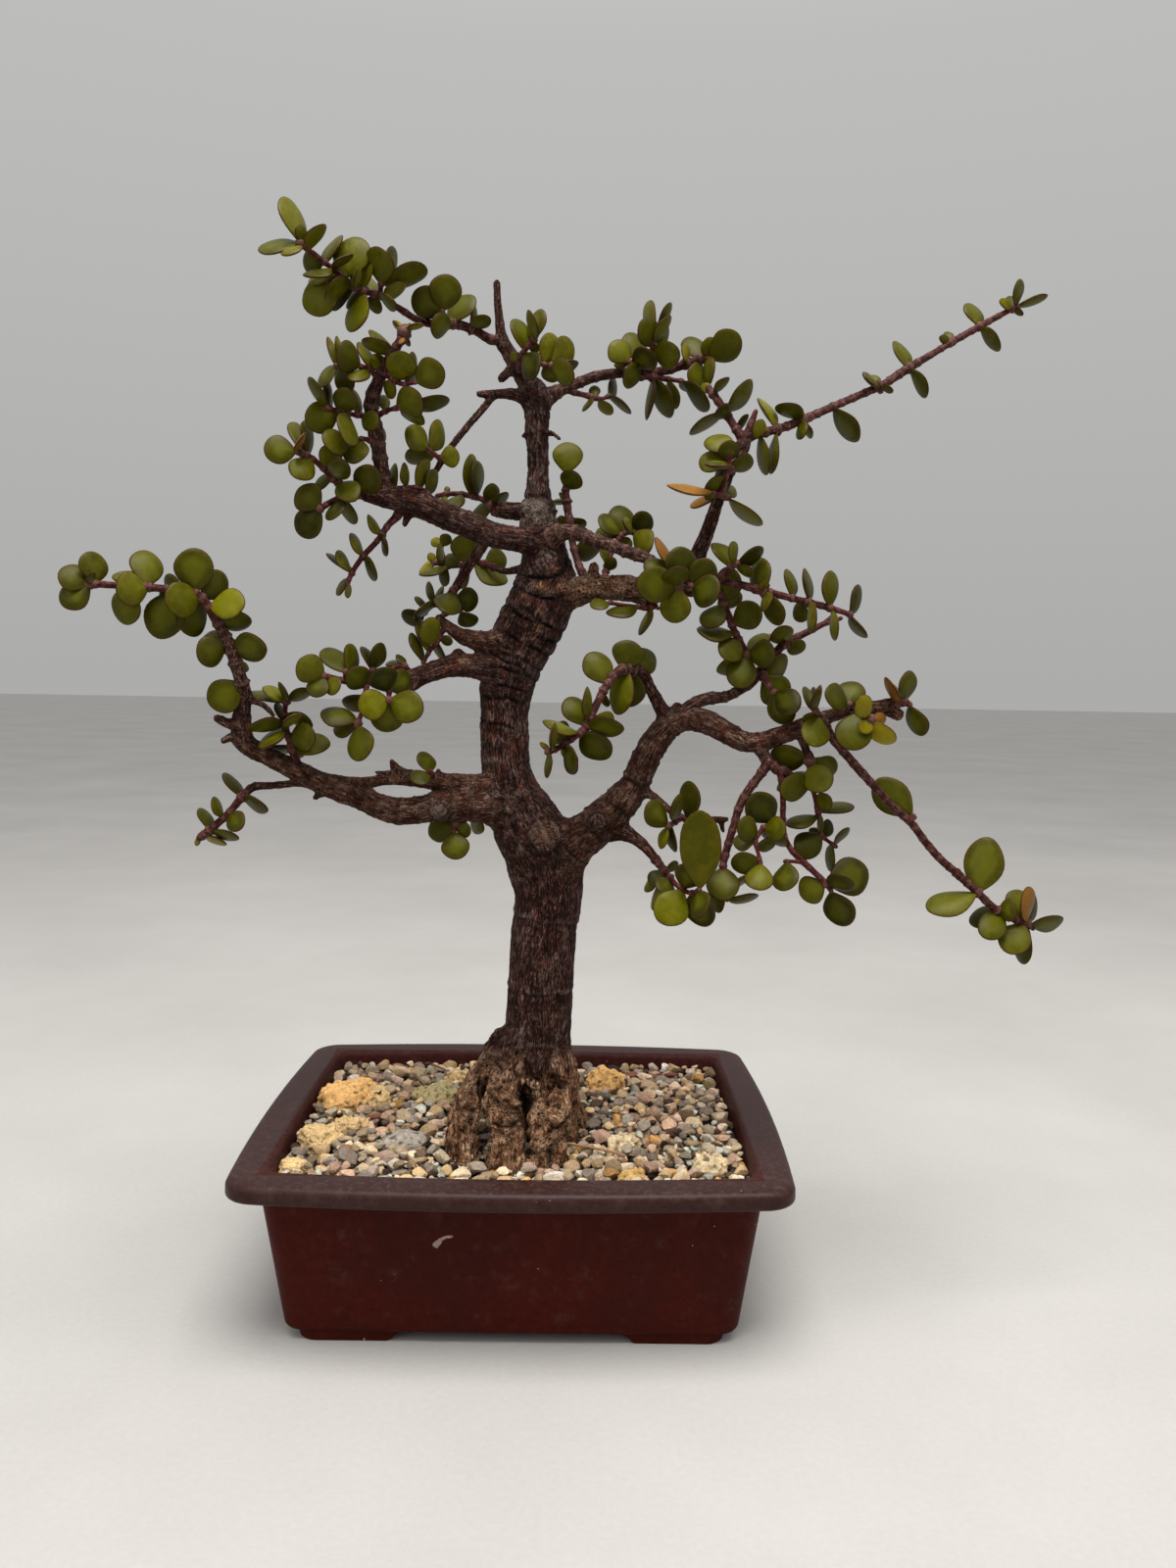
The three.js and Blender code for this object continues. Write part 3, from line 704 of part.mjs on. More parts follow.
      [50.62, -5.75, 381.55, 49.29, -10.58, 364.24, 0.994, 0.064, -0.094, 14.5],
      [51.85, -4.6, 382.28, 58.23, -2.72, 366.44, 0.877, 0.285, 0.387, 14.5],
      [57.58, -3.02, 382.13, 61.65, 0.66, 371.2, 0.889, 0.204, 0.409, 11.61],
      [63.04, -4, 381.22, 73.97, -10.22, 369.44, 0.755, 0.099, 0.648, 14.17],
      [62.34, -3.87, 381.34, 70.83, 8.59, 379.15, -0.293, 0.032, -0.956, 9.61],
      [70.76, -2, 390.66, 66.29, 6.67, 401.48, 0.316, -0.672, 0.669, 10.87],
      [72.5, -3.2, 390.47, 75.08, -5.59, 398.56, 0.685, -0.609, -0.399, 10.19],
      [74.01, -5, 389.8, 85.69, -7.31, 399.38, 0.409, -0.638, -0.653, 14.46],
      [72.5, -3.2, 390.47, 74.74, -12.42, 378.3, 0.984, 0.17, 0.053, 11.51],
      [70.04, -2, 390.41, 69.2, -3.89, 377.07, 0.745, -0.665, 0.047, 11.98],
      [65.86, -2, 389.04, 62.41, -7.46, 394.77, 0.897, -0.417, 0.142, 8.6],
      [25.81, -10, 372.95, 23.3, -13.54, 366.24, 0.805, 0.342, -0.485, 7.01],
      [27.23, -10, 372.66, 27.16, -5.53, 378.62, 0.022, 0.806, -0.591, 4.78],
      [28.8, -10, 372.29, 33.79, -6.81, 366.31, 0.659, 0.279, 0.699, 9.04],
      [33.19, -9, 373.63, 35.39, 3.23, 383.24, 0.985, -0.175, -0.003, 7.61],
      [32.48, -9.2, 373.34, 42.27, -14.37, 367.18, 0.526, -0.016, 0.85, 11.61],
    ],
  },
  branch_hanging: {
    stems: [
      [[93.71, -35.82, 236.19, 2.91], [98.24, -38.18, 225.43, 2.13]],
      [[98.37, -37.83, 227.75, 1.94], [86.56, -42, 210.14, 1.73], [80.68, -45.13, 190.21, 1.54]],
      [[97.19, -37.84, 227.57, 1.94], [102.08, -39, 223.67, 1.55], [103.23, -40, 218.73, 1.35], [103.76, -42, 203.42, 1.16], [104.72, -42, 197.59, 1.16], [107.41, -43, 192.71, 1.16], [112.65, -44.14, 187.64, 1.16]],
      [[100.27, -37.87, 224.73, 1.74], [108, -39.13, 221.04, 1.55]],
      [[104.34, -41.37, 205.1, 1.16], [98.67, -47, 203.97, 0.95], [94.44, -50, 202, 0.95], [91.77, -51, 197.5, 0.76], [93.8, -53.2, 188.19, 0.76]],
      [[111.38, -43.88, 188.89, 1.16], [123.42, -46.12, 176.84, 0.77]],
      [[112.74, -43.48, 188.15, 0.96], [102.86, -50.52, 189.59, 0.76]],
      [[81.13, -44.57, 191.83, 1.54], [80.01, -47, 187.48, 1.34], [81.35, -52.32, 173.66, 0.76]],
    ],
    leaves: [
      [99.18, -46.5, 204.07, 90.37, -49.76, 215.52, 0.085, -0.974, -0.212, 13.1],
      [95.05, -49.57, 202.28, 101.38, -60, 202.94, -0.851, -0.508, 0.131, 9.87],
      [92.91, -50.57, 199.43, 83.62, -57.12, 204.86, -0.673, 0.621, -0.403, 10.21],
      [92.09, -51.35, 196.03, 100.06, -47.15, 195.54, 0.301, -0.66, -0.688, 7.79],
      [91.82, -50.98, 197.59, 83.41, -48.46, 196.38, 0.251, 0.449, -0.858, 9.38],
      [95.05, -49.57, 202.28, 104.35, -38.78, 193.46, -0.476, -0.273, -0.836, 10.98],
      [93.25, -52.61, 190.7, 83.36, -48.03, 186.79, -0.073, -0.742, -0.667, 11.61],
      [93.61, -53, 189.05, 91.78, -61.81, 179.95, 0.626, 0.493, -0.604, 11.39],
      [104.16, -49.59, 189.4, 102.78, -57.53, 179.12, -0.785, -0.435, 0.441, 11.61],
      [120.09, -45.5, 180.17, 111.57, -41.83, 174.34, 0.439, 0.898, -0.019, 11.61],
      [120.63, -45.6, 179.63, 137.97, -42.29, 185.56, -0.111, 0.951, -0.29, 15.38],
      [120.63, -45.6, 179.63, 128.68, -56.08, 182.96, -0.308, -0.485, -0.818, 11.09],
      [122.79, -46, 177.47, 129.69, -44.48, 163, 0.693, 0.604, 0.394, 13.77],
      [80.03, -47.27, 186.83, 79.12, -56.72, 174.99, 0.109, 0.773, -0.625, 13.39],
      [80.92, -50.62, 178.09, 75.52, -41.98, 169.27, -0.915, -0.37, 0.16, 10.04],
      [81.27, -52, 174.5, 93.82, -47.1, 174.13, 0.126, -0.392, -0.911, 11.61],
      [80.85, -50.34, 178.81, 91.98, -39.78, 181.37, 0.471, -0.309, -0.826, 11.61],
    ],
  },
  branch_drooping_right: {
    stems: [
      [[117.12, -41, 244.45, 2.3], [122.5, -41, 236.89, 1.73], [129, -39, 229.92, 1.74], [150.07, -33, 208.94, 1.57], [157.6, -31, 202.86, 1.58], [171.4, -27, 187.64, 1.6], [179.01, -24.8, 181.6, 1.61]],
      [[157.32, -29.74, 203.11, 1.19], [160.42, -24.26, 205.24, 1.2]],
      [[177.65, -25.2, 182.72, 1.61], [194.87, -20, 167.95, 1.63], [200.33, -19, 164.1, 1.43], [211.99, -17, 159.69, 1.23], [215.24, -17, 156.61, 0.82]],
    ],
    leaves: [
      [159.63, -25.67, 204.7, 145.8, -18.65, 219.03, -0.151, 0.822, -0.549, 14.5],
      [188.89, -21.81, 173.08, 194.7, -15.53, 195.28, 0.286, 0.897, -0.336, 16.22],
      [188.89, -21.81, 173.08, 166.79, -26.65, 166.8, 0.216, 0.259, -0.941, 14.5],
      [198.51, -19.33, 165.38, 204.52, -25.57, 166.74, 0.728, 0.674, -0.126, 9.8],
      [207.01, -17.85, 161.57, 210.29, -12.04, 172.9, 0.408, -0.858, 0.311, 11.61],
      [212.06, -17, 159.63, 209.39, -22.75, 175.69, 0.82, -0.569, -0.071, 13.36],
      [212.06, -17, 159.63, 218.76, -6.64, 169.91, 0.82, -0.571, 0.035, 11.61],
      [201.66, -18.77, 163.6, 190.03, -26.16, 155.61, 0.107, -0.801, 0.589, 11.92],
      [198.51, -19.33, 165.38, 189.64, -11.14, 158.95, 0.658, 0.131, -0.741, 11.61],
      [210.56, -17.24, 160.23, 201.71, -23.03, 148.28, 0.613, 0.428, -0.664, 13.37],
      [212.51, -17, 159.2, 211.01, -13.23, 141.58, 0.996, 0, -0.085, 14.5],
      [213.03, -17, 158.71, 226.45, -19.74, 161.32, 0.038, -0.585, -0.81, 13.31],
    ],
  },
  branch_upper_right: {
    stems: [
      [[4.1, -15.32, 311.93, 4.78], [10.36, -23, 314.19, 3.92], [15.46, -26, 316.64, 3.31], [21.32, -28, 315.74, 2.91], [65.09, -42, 298.87, 1.51], [89.97, -47.18, 293.89, 1.5]],
      [[88.23, -47, 294.26, 1.5], [102.73, -47, 290.96, 1.31], [127.21, -44.93, 284.93, 0.94]],
      [[75.86, -44.35, 296.77, 1.5], [76.97, -47, 299.04, 1.31], [82.07, -49.28, 303.95, 0.93]],
      [[61.16, -39.17, 300.79, 1.33], [59, -56.83, 293.67, 0.92]],
      [[59.44, -48.38, 297.46, 0.93], [64.98, -54.62, 293.89, 0.92]],
    ],
    leaves: [
      [103.42, -46.94, 290.79, 103.06, -41.01, 301.85, 0.867, -0.427, 0.256, 11.53],
      [110.47, -46.34, 289.05, 108.89, -42.18, 302.6, 0.908, -0.361, 0.213, 12.01],
      [110.47, -46.34, 289.05, 109.88, -58.41, 279.11, 0.998, -0.062, 0.015, 10.63],
      [108.97, -46.47, 289.42, 106.62, -39.46, 283.05, 0.942, 0.336, -0.004, 8.45],
      [118.46, -45.67, 287.08, 117.79, -46.84, 301.61, 0.838, -0.546, -0.013, 13.1],
      [119.16, -45.61, 286.91, 120.72, -49.83, 275.16, 0.99, -0.036, 0.138, 11.61],
      [126.34, -45, 285.14, 132.06, -39.93, 296.05, 0.864, -0.437, -0.25, 11.61],
      [126.34, -45, 285.14, 132.94, -41.05, 275.99, 0.803, 0.034, 0.594, 11.61],
      [92.94, -47, 293.19, 91.78, -50.96, 296.77, -0.023, -0.685, -0.728, 4.5],
      [92.94, -47, 293.19, 93.27, -53.12, 285.64, 0.955, 0.249, -0.159, 7.75],
      [95.18, -47, 292.68, 98.68, -44.03, 280.21, 0.864, 0.375, 0.335, 11.68],
      [92.94, -47, 293.19, 90.9, -37.18, 306.08, 0.939, 0.329, -0.103, 11.61],
      [79.83, -48.28, 301.8, 74.12, -42.77, 311.99, 0.579, -0.535, 0.615, 11.61],
      [81.45, -49, 303.36, 78.7, -54.37, 310.44, 0.912, -0.408, 0.044, 8.64],
      [81.45, -49, 303.36, 92.49, -44.22, 308.45, 0.513, -0.353, -0.782, 11.61],
      [80.91, -48.76, 302.84, 88.72, -48.83, 297.98, 0.529, 0.109, 0.842, 9.97],
      [59.1, -56, 294, 43.44, -60.81, 293.96, 0.293, -0.953, -0.079, 13.93],
      [59.49, -52.78, 295.3, 47.45, -47.04, 304.36, -0.307, 0.556, -0.772, 13.53],
      [59.34, -54.06, 294.78, 59.9, -55.55, 308.7, 0.581, -0.807, -0.108, 12.86],
      [59.1, -56, 294, 56.8, -65.98, 299.71, 0.14, -0.516, -0.845, 10.96],
      [63.98, -53.5, 294.52, 71.64, -55.9, 303.69, 0.38, -0.766, -0.518, 11.61],
      [64.43, -54, 294.24, 73.86, -63.13, 289.86, -0.65, -0.745, 0.153, 13.36],
      [59.1, -56, 294, 57.12, -54.55, 280.27, -0.697, -0.716, 0.025, 12.71],
      [60.05, -48.22, 297.14, 50.9, -45.71, 313.1, -0.825, 0.227, -0.518, 14.5],
    ],
  },
  branch_secondary_right: {
    stems: [
      [[61.75, -31, 243.37, 2.94], [67.37, -31, 248.76, 2.35], [74.07, -30, 251.58, 2.55], [81.23, -29, 252.46, 2.16], [87.19, -28, 255.29, 1.97], [92.36, -27, 258.5, 1.77], [103.87, -24, 272.86, 1.78], [115.53, -22, 279.4, 1.39], [121.77, -22, 282.66, 1.19], [129.13, -20.87, 285.06, 0.89]],
      [[121.15, -22, 282.01, 0.99], [125.46, -22, 286.51, 0.79]],
      [[95.72, -26.17, 262.02, 1.38], [96.52, -33, 259.39, 1.17], [99.9, -37.53, 254.23, 0.97]],
      [[104.68, -23.14, 272.62, 1.19], [104.51, -29.86, 274.56, 0.98]],
    ],
    leaves: [
      [96.05, -29, 260.93, 105.66, -29.55, 251.46, -0.105, -0.993, -0.049, 13.85],
      [99.5, -37, 254.84, 107.34, -47.08, 247.22, -0.836, -0.523, -0.167, 11.61],
      [99.5, -37, 254.84, 105.95, -32.65, 242.15, -0.657, -0.545, -0.521, 12.35],
      [96.05, -29, 260.93, 107.11, -22.85, 268.05, 0.644, -0.581, -0.498, 11.61],
      [105.89, -23.65, 273.99, 101.26, -33.48, 280.13, 0.239, -0.586, -0.774, 10.1],
      [105.89, -23.65, 273.99, 113.97, -21.86, 271.98, 0.083, 0.583, 0.809, 8.65],
    ],
  },
  branch_top_right: {
    stems: [
      [[83.64, -37.18, 347.85, 2.46], [86.75, -35.82, 353.72, 1.9]],
      [[85, -36, 349.83, 1.9], [89.36, -36, 363.47, 0.95]],
      [[84.5, -36.32, 352.18, 1.71], [71.18, -26.68, 373.96, 1.35]],
      [[85.56, -36.36, 352.66, 1.9], [101.44, -29, 358.34, 1.73], [144.3, -9, 379.98, 1.6], [177.23, 3, 401.73, 1.43], [205.89, 12.24, 418.84, 1.04]],
    ],
    leaves: [
      [78.07, -31.66, 362.7, 88.28, -34, 374.5, -0.701, 0.273, 0.659, 14.5],
      [77.71, -31.41, 363.28, 64.41, -26.23, 355.95, -0.468, 0.057, 0.882, 14.5],
      [73.45, -28.32, 370.25, 78.56, -32.3, 376.58, -0.698, 0.19, 0.69, 9.88],
      [81.97, -34.49, 356.32, 86.84, -33.4, 361.64, -0.734, 0.261, 0.627, 7.61],
      [73.08, -28.06, 370.85, 69.21, -23.7, 375.48, -0.045, -0.717, 0.696, 4.29],
      [205.15, 12, 418.4, 204.11, 6.04, 427.69, 0.828, -0.51, -0.235, 11.61],
      [205.15, 12, 418.4, 218.52, 14.94, 423.98, -0.38, -0.029, 0.925, 11.97],
      [203.92, 11.6, 417.67, 203.14, 17.55, 424.08, -0.627, -0.609, 0.486, 4.56],
      [203.3, 11.4, 417.3, 196.25, 7, 419.12, 0.567, -0.734, 0.373, 4.88],
      [203.3, 11.4, 417.3, 207.28, 8.31, 414.55, 0.623, 0.112, 0.774, 4.22],
      [188.06, 6.49, 408.19, 185.77, 12.77, 419.87, 0.559, -0.69, 0.459, 11.59],
      [188.66, 6.68, 408.55, 196.41, 3.42, 398.24, 0.783, -0.069, 0.619, 11.84],
      [176.06, 2.58, 400.97, 174.09, 6.74, 406.28, 0.155, -0.749, 0.644, 4.08],
      [174.89, 2.16, 400.22, 169.32, -1.47, 401.54, 0.57, -0.782, 0.254, 3.92],
      [155.83, -4.8, 387.59, 151.72, -0.7, 400.24, 0.667, -0.618, 0.416, 11.61],
      [156.41, -4.59, 387.98, 163.48, -8.45, 376.17, 0.85, -0.047, 0.525, 12.56],
      [143.12, -9.53, 379.37, 140.79, -4.51, 385.3, 0.221, -0.7, 0.679, 4.58],
      [143.12, -9.53, 379.37, 134.56, -17.58, 381.21, 0.568, -0.446, 0.692, 8.28],
      [143.12, -9.53, 379.37, 147.47, -14.2, 376.5, 0.606, 0.078, 0.791, 4.48],
      [122.5, -19.17, 368.97, 133.69, -17.01, 355.96, 0.739, 0.123, 0.663, 14.5],
      [109.74, -25.13, 362.53, 106.23, -20.18, 367.1, 0.267, -0.571, 0.776, 4.47],
      [109.74, -25.13, 362.53, 113.06, -23.39, 355.12, 0.912, -0.022, 0.41, 8.83],
      [98.33, -30.44, 357.23, 92.22, -26.48, 370.37, 0.772, -0.41, 0.486, 12.78],
      [93.95, -32.47, 355.66, 87.67, -42.57, 355.78, 0.753, -0.471, -0.459, 7.66],
      [91.44, -33.64, 354.76, 95.03, -31.8, 339.28, 0.97, 0.058, 0.236, 14.5],
      [98.33, -30.44, 357.23, 97.05, -28.65, 340.21, 0.997, 0.043, -0.071, 14.5],
      [109.14, -25.41, 362.23, 98.33, -32.24, 366.19, 0.292, 0.111, 0.95, 11.61],
      [108.55, -25.68, 361.93, 108.12, -33.23, 353.88, 0.956, 0.181, -0.233, 7.06],
      [79.13, -32.44, 360.95, 74.24, -40.26, 363.37, -0.503, 0.531, 0.682, 7.63],
    ],
  },
  shoot_top_right_cluster: {
    stems: [
      [[80.16, -38.14, 338.88, 1.51], [77.98, -45, 339.37, 1.12], [77.53, -48, 341.75, 0.93], [79.13, -49.26, 345.65, 0.74]],
      [[76.48, -38.13, 330.89, 1.51], [75.15, -46, 329.29, 1.12], [71.55, -49.64, 329.57, 0.74]],
      [[75.81, -40, 330.62, 1.13], [80.08, -40, 328.34, 0.76]],
      [[78.22, -44.7, 340.19, 1.12], [76.39, -47, 333.9, 0.93], [74.92, -45.82, 328.44, 1.12]],
    ],
    leaves: [
      [77.62, -47.4, 341.28, 77.64, -51.71, 348.44, 0.552, -0.714, -0.431, 8.82],
      [77.89, -45.6, 339.85, 67.96, -40.45, 344.64, -0.028, -0.709, 0.705, 11.61],
      [77.89, -45.6, 339.85, 87.65, -45.08, 341.75, -0.196, 0.386, 0.902, 10.6],
      [77.71, -46.8, 340.8, 68.53, -60.19, 337.33, 0, -0.251, 0.968, 8.45],
      [78.8, -49, 344.85, 70.69, -40.44, 351.71, -0.002, -0.627, 0.779, 11.19],
      [78.19, -44.33, 339.32, 73.21, -38.25, 337.09, -0.748, -0.426, 0.508, 7.05],
      [77.27, -40, 329.84, 69.97, -50.18, 334.28, 0.476, -0.615, -0.629, 11.35],
      [72.18, -49, 329.52, 54.14, -52.17, 330.52, 0.101, -0.27, 0.958, 14.5],
      [76.6, -40, 330.2, 65.47, -30.58, 327.61, 0.391, 0.215, -0.895, 11.61],
      [78.61, -40, 329.12, 92.04, -37.84, 318.47, 0.613, 0.069, 0.787, 14.5],
      [77.94, -40, 329.48, 82.76, -26.47, 335.74, 0.515, -0.504, 0.693, 6.04],
    ],
  },
  shoot_inner_left: {
    stems: [
      [[-31.78, -30.43, 342.78, 1.15], [-33.05, -35, 343.15, 0.95], [-37.31, -41.73, 345.58, 0.66]],
    ],
    leaves: [
      [-36.47, -40.4, 345.07, -44.7, -46.1, 351.33, 0.703, -0.609, 0.369, 11.61],
      [-36.08, -39.79, 344.88, -32.08, -32.58, 357.13, -0.951, 0.269, 0.153, 11.61],
      [-34.55, -37.38, 344.01, -45.73, -32.59, 342.51, -0.027, 0.216, 0.976, 11.47],
      [-33.02, -34.91, 343.14, -25.28, -33.17, 344.23, 0.141, -0.874, 0.465, 8.59],
    ],
  },
};

// large stones on the gravel: [x, y, z, half sizes xyz, turn, seed, colour]
const STONES = [
  [-78.35, 21.33, 66.48, 14.26, 12.12, 8.5, 0.3, 1, 0xc39a63],
  [-66.7, 18.6, 66.63, 7.33, 6.6, 6.23, 1, 2, 0xbb955f],
  [-83.3, -24.68, 65.69, 9.39, 7.51, 6.6, 0.2, 3, 0xc3a06c],
  [-74.12, -11.58, 65.45, 8.39, 6.71, 4.99, 0.7, 4, 0xb09566],
  [-46.42, -26.05, 64.93, 11.41, 9.13, 4.85, 0.1, 5, 0x8d867c],
  [-39.77, 27.66, 65.68, 11.3, 9.04, 6.53, 0.4, 6, 0x8f8463],
  [-32.59, 49.78, 65.86, 6.12, 5.51, 4.4, 0.9, 7, 0xb98f5c],
  [-87.12, -53.21, 64.84, 5.78, 5.2, 4.26, 0.5, 8, 0xb08f5f],
  [38.85, 46.11, 66.77, 10.06, 8.55, 7.16, 0.3, 9, 0xc4965c],
  [44.51, -25.59, 64.93, 7.77, 6.6, 4.87, 0.6, 11, 0xb59a70],
  [77.72, -47.13, 65, 8.41, 6.73, 5.32, 0.2, 12, 0xb4a083],
  [46.31, -57.8, 64.51, 6.69, 6.02, 3.41, 0.4, 13, 0x8a7548],
];

// ---------- helpers ----------
const V = (x, y, z) => new THREE.Vector3(x, y, z);

function toSolid(geometry, weld = 1e-4) {
  const g = geometry.clone();
  g.deleteAttribute('uv');
  g.deleteAttribute('normal');
  const m = mergeVertices(g, weld);
  const idx = [];
  const src = m.index.array;
  for (let i = 0; i < src.length; i += 3) {
    const [a, b, c] = [src[i], src[i + 1], src[i + 2]];
    if (a !== b && b !== c && a !== c) idx.push(a, b, c);
  }
  const mesh = new Mesh({ numProp: 3, vertProperties: new Float32Array(m.attributes.position.array), triVerts: new Uint32Array(idx) });
  mesh.merge();
  let s = new Manifold(mesh);
  if (s.volume() < 0) {
    for (let i = 0; i < idx.length; i += 3) [idx[i], idx[i + 1]] = [idx[i + 1], idx[i]];
    const flipped = new Mesh({ numProp: 3, vertProperties: new Float32Array(m.attributes.position.array), triVerts: new Uint32Array(idx) });
    flipped.merge();
    s = new Manifold(flipped);
  }
  return s;
}

function toGeometry(solid) {
  const m = solid.getMesh();
  const g = new THREE.BufferGeometry();
  const pos = new Float32Array(m.numVert * 3);
  for (let i = 0; i < m.numVert; i++)
    for (let k = 0; k < 3; k++) pos[3 * i + k] = m.vertProperties[i * m.numProp + k];
  g.setAttribute('position', new THREE.BufferAttribute(pos, 3));
  g.setIndex(new THREE.BufferAttribute(new Uint32Array(m.triVerts), 1));
  g.computeVertexNormals();
  return g;
}

// repeatable hash noise in 0..1
function hash(a, b, c) {
  const s = Math.sin(a * 127.1 + b * 311.7 + c * 74.7) * 43758.5453;
  return s - Math.floor(s);
}

// a closed round bar along a list of [x, y, z, r]
function bar(pts, sides, grow = 0, turn = 0) {
  const n = pts.length;
  const P = pts.map((p) => V(p[0], p[1], p[2]));
  const T = P.map((p, i) => P[Math.min(i + 1, n - 1)].clone().sub(P[Math.max(i - 1, 0)]).normalize());
  let N = new THREE.Vector3().crossVectors(T[0], Math.abs(T[0].z) < 0.9 ? V(0, 0, 1) : V(1, 0, 0)).normalize();
  if (turn) N.applyAxisAngle(T[0], turn);
  const frames = T.map((t) => {
    N = N.clone().sub(t.clone().multiplyScalar(N.dot(t))).normalize();
    return [N.clone(), new THREE.Vector3().crossVectors(t, N)];
  });
  if (grow > 0) {
    P[0].addScaledVector(T[0], -grow);
    P[n - 1].addScaledVector(T[n - 1], grow);
  }
  const g = new THREE.CylinderGeometry(1, 1, 1, sides, n - 1, false);
  const a = g.attributes.position;
  for (let i = 0; i < a.count; i++) {
    const x = a.getX(i), y = a.getY(i), z = a.getZ(i);
    const j = Math.round((0.5 - y) * (n - 1));
    const r = pts[j][3] + grow;
    const p = P[j].clone().addScaledVector(frames[j][0], x * r).addScaledVector(frames[j][1], z * r);
    a.setXYZ(i, p.x, p.y, p.z);
  }
  return toSolid(g);
}

// leaf: a flattened closed blade, narrow at the base and broad past the middle
const OUTLINE = [[0, 0], [0.56, 0.5], [0.96, 0.24], [0.96, -0.24], [0.56, -0.5]];
function leaf(d, grow = 0) {
  const b = V(d[0], d[1], d[2]), t = V(d[3], d[4], d[5]), nrm = V(d[6], d[7], d[8]).normalize();
  const a = t.clone().sub(b);
  const L = a.length();
  a.normalize();
  const side = new THREE.Vector3().crossVectors(nrm, a).normalize();
  const k = OUTLINE.length;
  const g = new THREE.SphereGeometry(1, k, 2);
  const p = g.attributes.position;
  const th = L * LEAF_T * 0.5 + grow;
  for (let i = 0; i < p.count; i++) {
    const x = p.getX(i), y = p.getY(i), z = p.getZ(i);
    const q = b.clone();
    if (Math.abs(y) > 0.5) {
      q.addScaledVector(a, 0.58 * L).addScaledVector(nrm, Math.sign(y) * th);
    } else {
      const o = OUTLINE[((Math.round(Math.atan2(z, -x) / (2 * Math.PI) * k) % k) + k) % k];
      const s = o[0] * L + (o[0] > 0 ? grow : 0), w = o[1] * d[9];
      q.addScaledVector(a, s).addScaledVector(side, w + Math.sign(w) * grow);
    }
    p.setXYZ(i, q.x, q.y, q.z);
  }
  return toSolid(g);
}

// a solid with a rounded and slightly bowed rectangular plan, one ring per level
// levels: [z, half width, half depth, corner radius, bow factor]
function plan(hw, hd, r, bow, N) {
  const out = [];
  const corner = (cx, cy, a0) => {
    for (let i = 0; i <= 3; i++) {
      const a = a0 + (i / 3) * Math.PI / 2;
      out.push([cx + r * Math.cos(a), cy + r * Math.sin(a)]);
    }
  };
  const bx = BOW_SIDE * bow, by = BOW_FRONT * bow;
  const ex = hw - bx, ey = hd - by;       // corners pulled in by the bow
  const sideY = (t) => ex + bx * (1 - t * t);
  corner(ex - r, ey - r, 0);
  for (const t of [0.5, -0.5]) out.push([(ex - r) * t, ey + by * (1 - t * t)]);
  corner(-(ex - r), ey - r, Math.PI / 2);
  for (const t of [0.5, -0.5]) out.push([-sideY(t), (ey - r) * t]);
  corner(-(ex - r), -(ey - r), Math.PI);
  for (const t of [-0.5, 0.5]) out.push([(ex - r) * t, -(ey + by * (1 - t * t))]);
  corner(ex - r, -(ey - r), 1.5 * Math.PI);
  for (const t of [-0.5, 0.5]) out.push([sideY(t), (ey - r) * t]);
  return out;
}
function loft(levels) {
  const rings = levels.map((l) => plan(l[1], l[2], l[3], l[4]));
  const k = rings[0].length, n = levels.length;
  const g = new THREE.CylinderGeometry(1, 1, 1, k, n - 1, false);
  const a = g.attributes.position;
  for (let i = 0; i < a.count; i++) {
    const x = a.getX(i), y = a.getY(i), z = a.getZ(i);
    const j = n - 1 - Math.round((0.5 - y) * (n - 1));
    if (Math.hypot(x, z) < 0.5) { a.setXYZ(i, 0, 0, levels[j][0]); continue; }
    const m = ((Math.round(Math.atan2(x, z) / (2 * Math.PI) * k) % k) + k) % k;
    a.setXYZ(i, rings[j][m][0], rings[j][m][1], levels[j][0]);
  }
  return toSolid(g);
}

function block(x0, x1, y0, y1, z0, z1) {
  const g = new THREE.BoxGeometry(x1 - x0, y1 - y0, z1 - z0);
  g.translate((x0 + x1) / 2, (y0 + y1) / 2, (z0 + z1) / 2);
  return toSolid(g);
}
function pin(x, y, z0, z1, r, sides = 20) {
  const g = new THREE.CylinderGeometry(r, r, z1 - z0, sides);
  g.rotateX(Math.PI / 2);
  g.translate(x, y, (z0 + z1) / 2);
  return toSolid(g);
}
const overlapBox = (a, b, pad = 0.5) => {
  const A = a.boundingBox(), B = b.boundingBox();
  for (let k = 0; k < 3; k++) if (A.min[k] - pad > B.max[k] || B.min[k] - pad > A.max[k]) return false;
  return true;
};
const largest = (s) => {
  const parts = s.decompose();
  let best = parts[0];
  for (const p of parts) if (p.volume() > best.volume()) best = p;
  return best;
};

// ---------- pot ----------
const hw = RIM_W / 2, hd = RIM_D / 2;
const bodyTopW = hw - OVERHANG, bodyTopD = hd - OVERHANG;
const outer = loft([
  [FOOT_H, BASE_W / 2 - 2.4, BASE_D / 2 - 2.4, 7, 0.2],
  [FOOT_H + 0.9, BASE_W / 2 - 0.8, BASE_D / 2 - 0.8, 8, 0.25],
  [FOOT_H + 3, BASE_W / 2, BASE_D / 2, 8.5, 0.3],
  [POT_H - LIP - 0.4, bodyTopW, bodyTopD, 9, 0.8],
  [POT_H - LIP + 1.7, hw - 1, hd - 1, 11.5, 1],
  [POT_H - LIP + 3.6, hw, hd, CORNER_R, 1],
  [POT_H - 3, hw, hd, CORNER_R, 1],
  [POT_H, hw - 3.6, hd - 3.6, 11, 1],
]);
const iw = hw - RIM_LAND, id = hd - RIM_LAND;
const cavityLevels = (shrink, top) => [
  [FOOT_H + FLOOR_T + shrink, BASE_W / 2 - WALL_T - 0.8 - shrink, BASE_D / 2 - WALL_T - 0.8 - shrink, 6, 0.3],
  [POT_H - 2, iw - shrink, id - shrink, 7, 0.8],
  [top, iw + 1.2 - shrink, id + 1.2 - shrink, 7, 0.8],
];
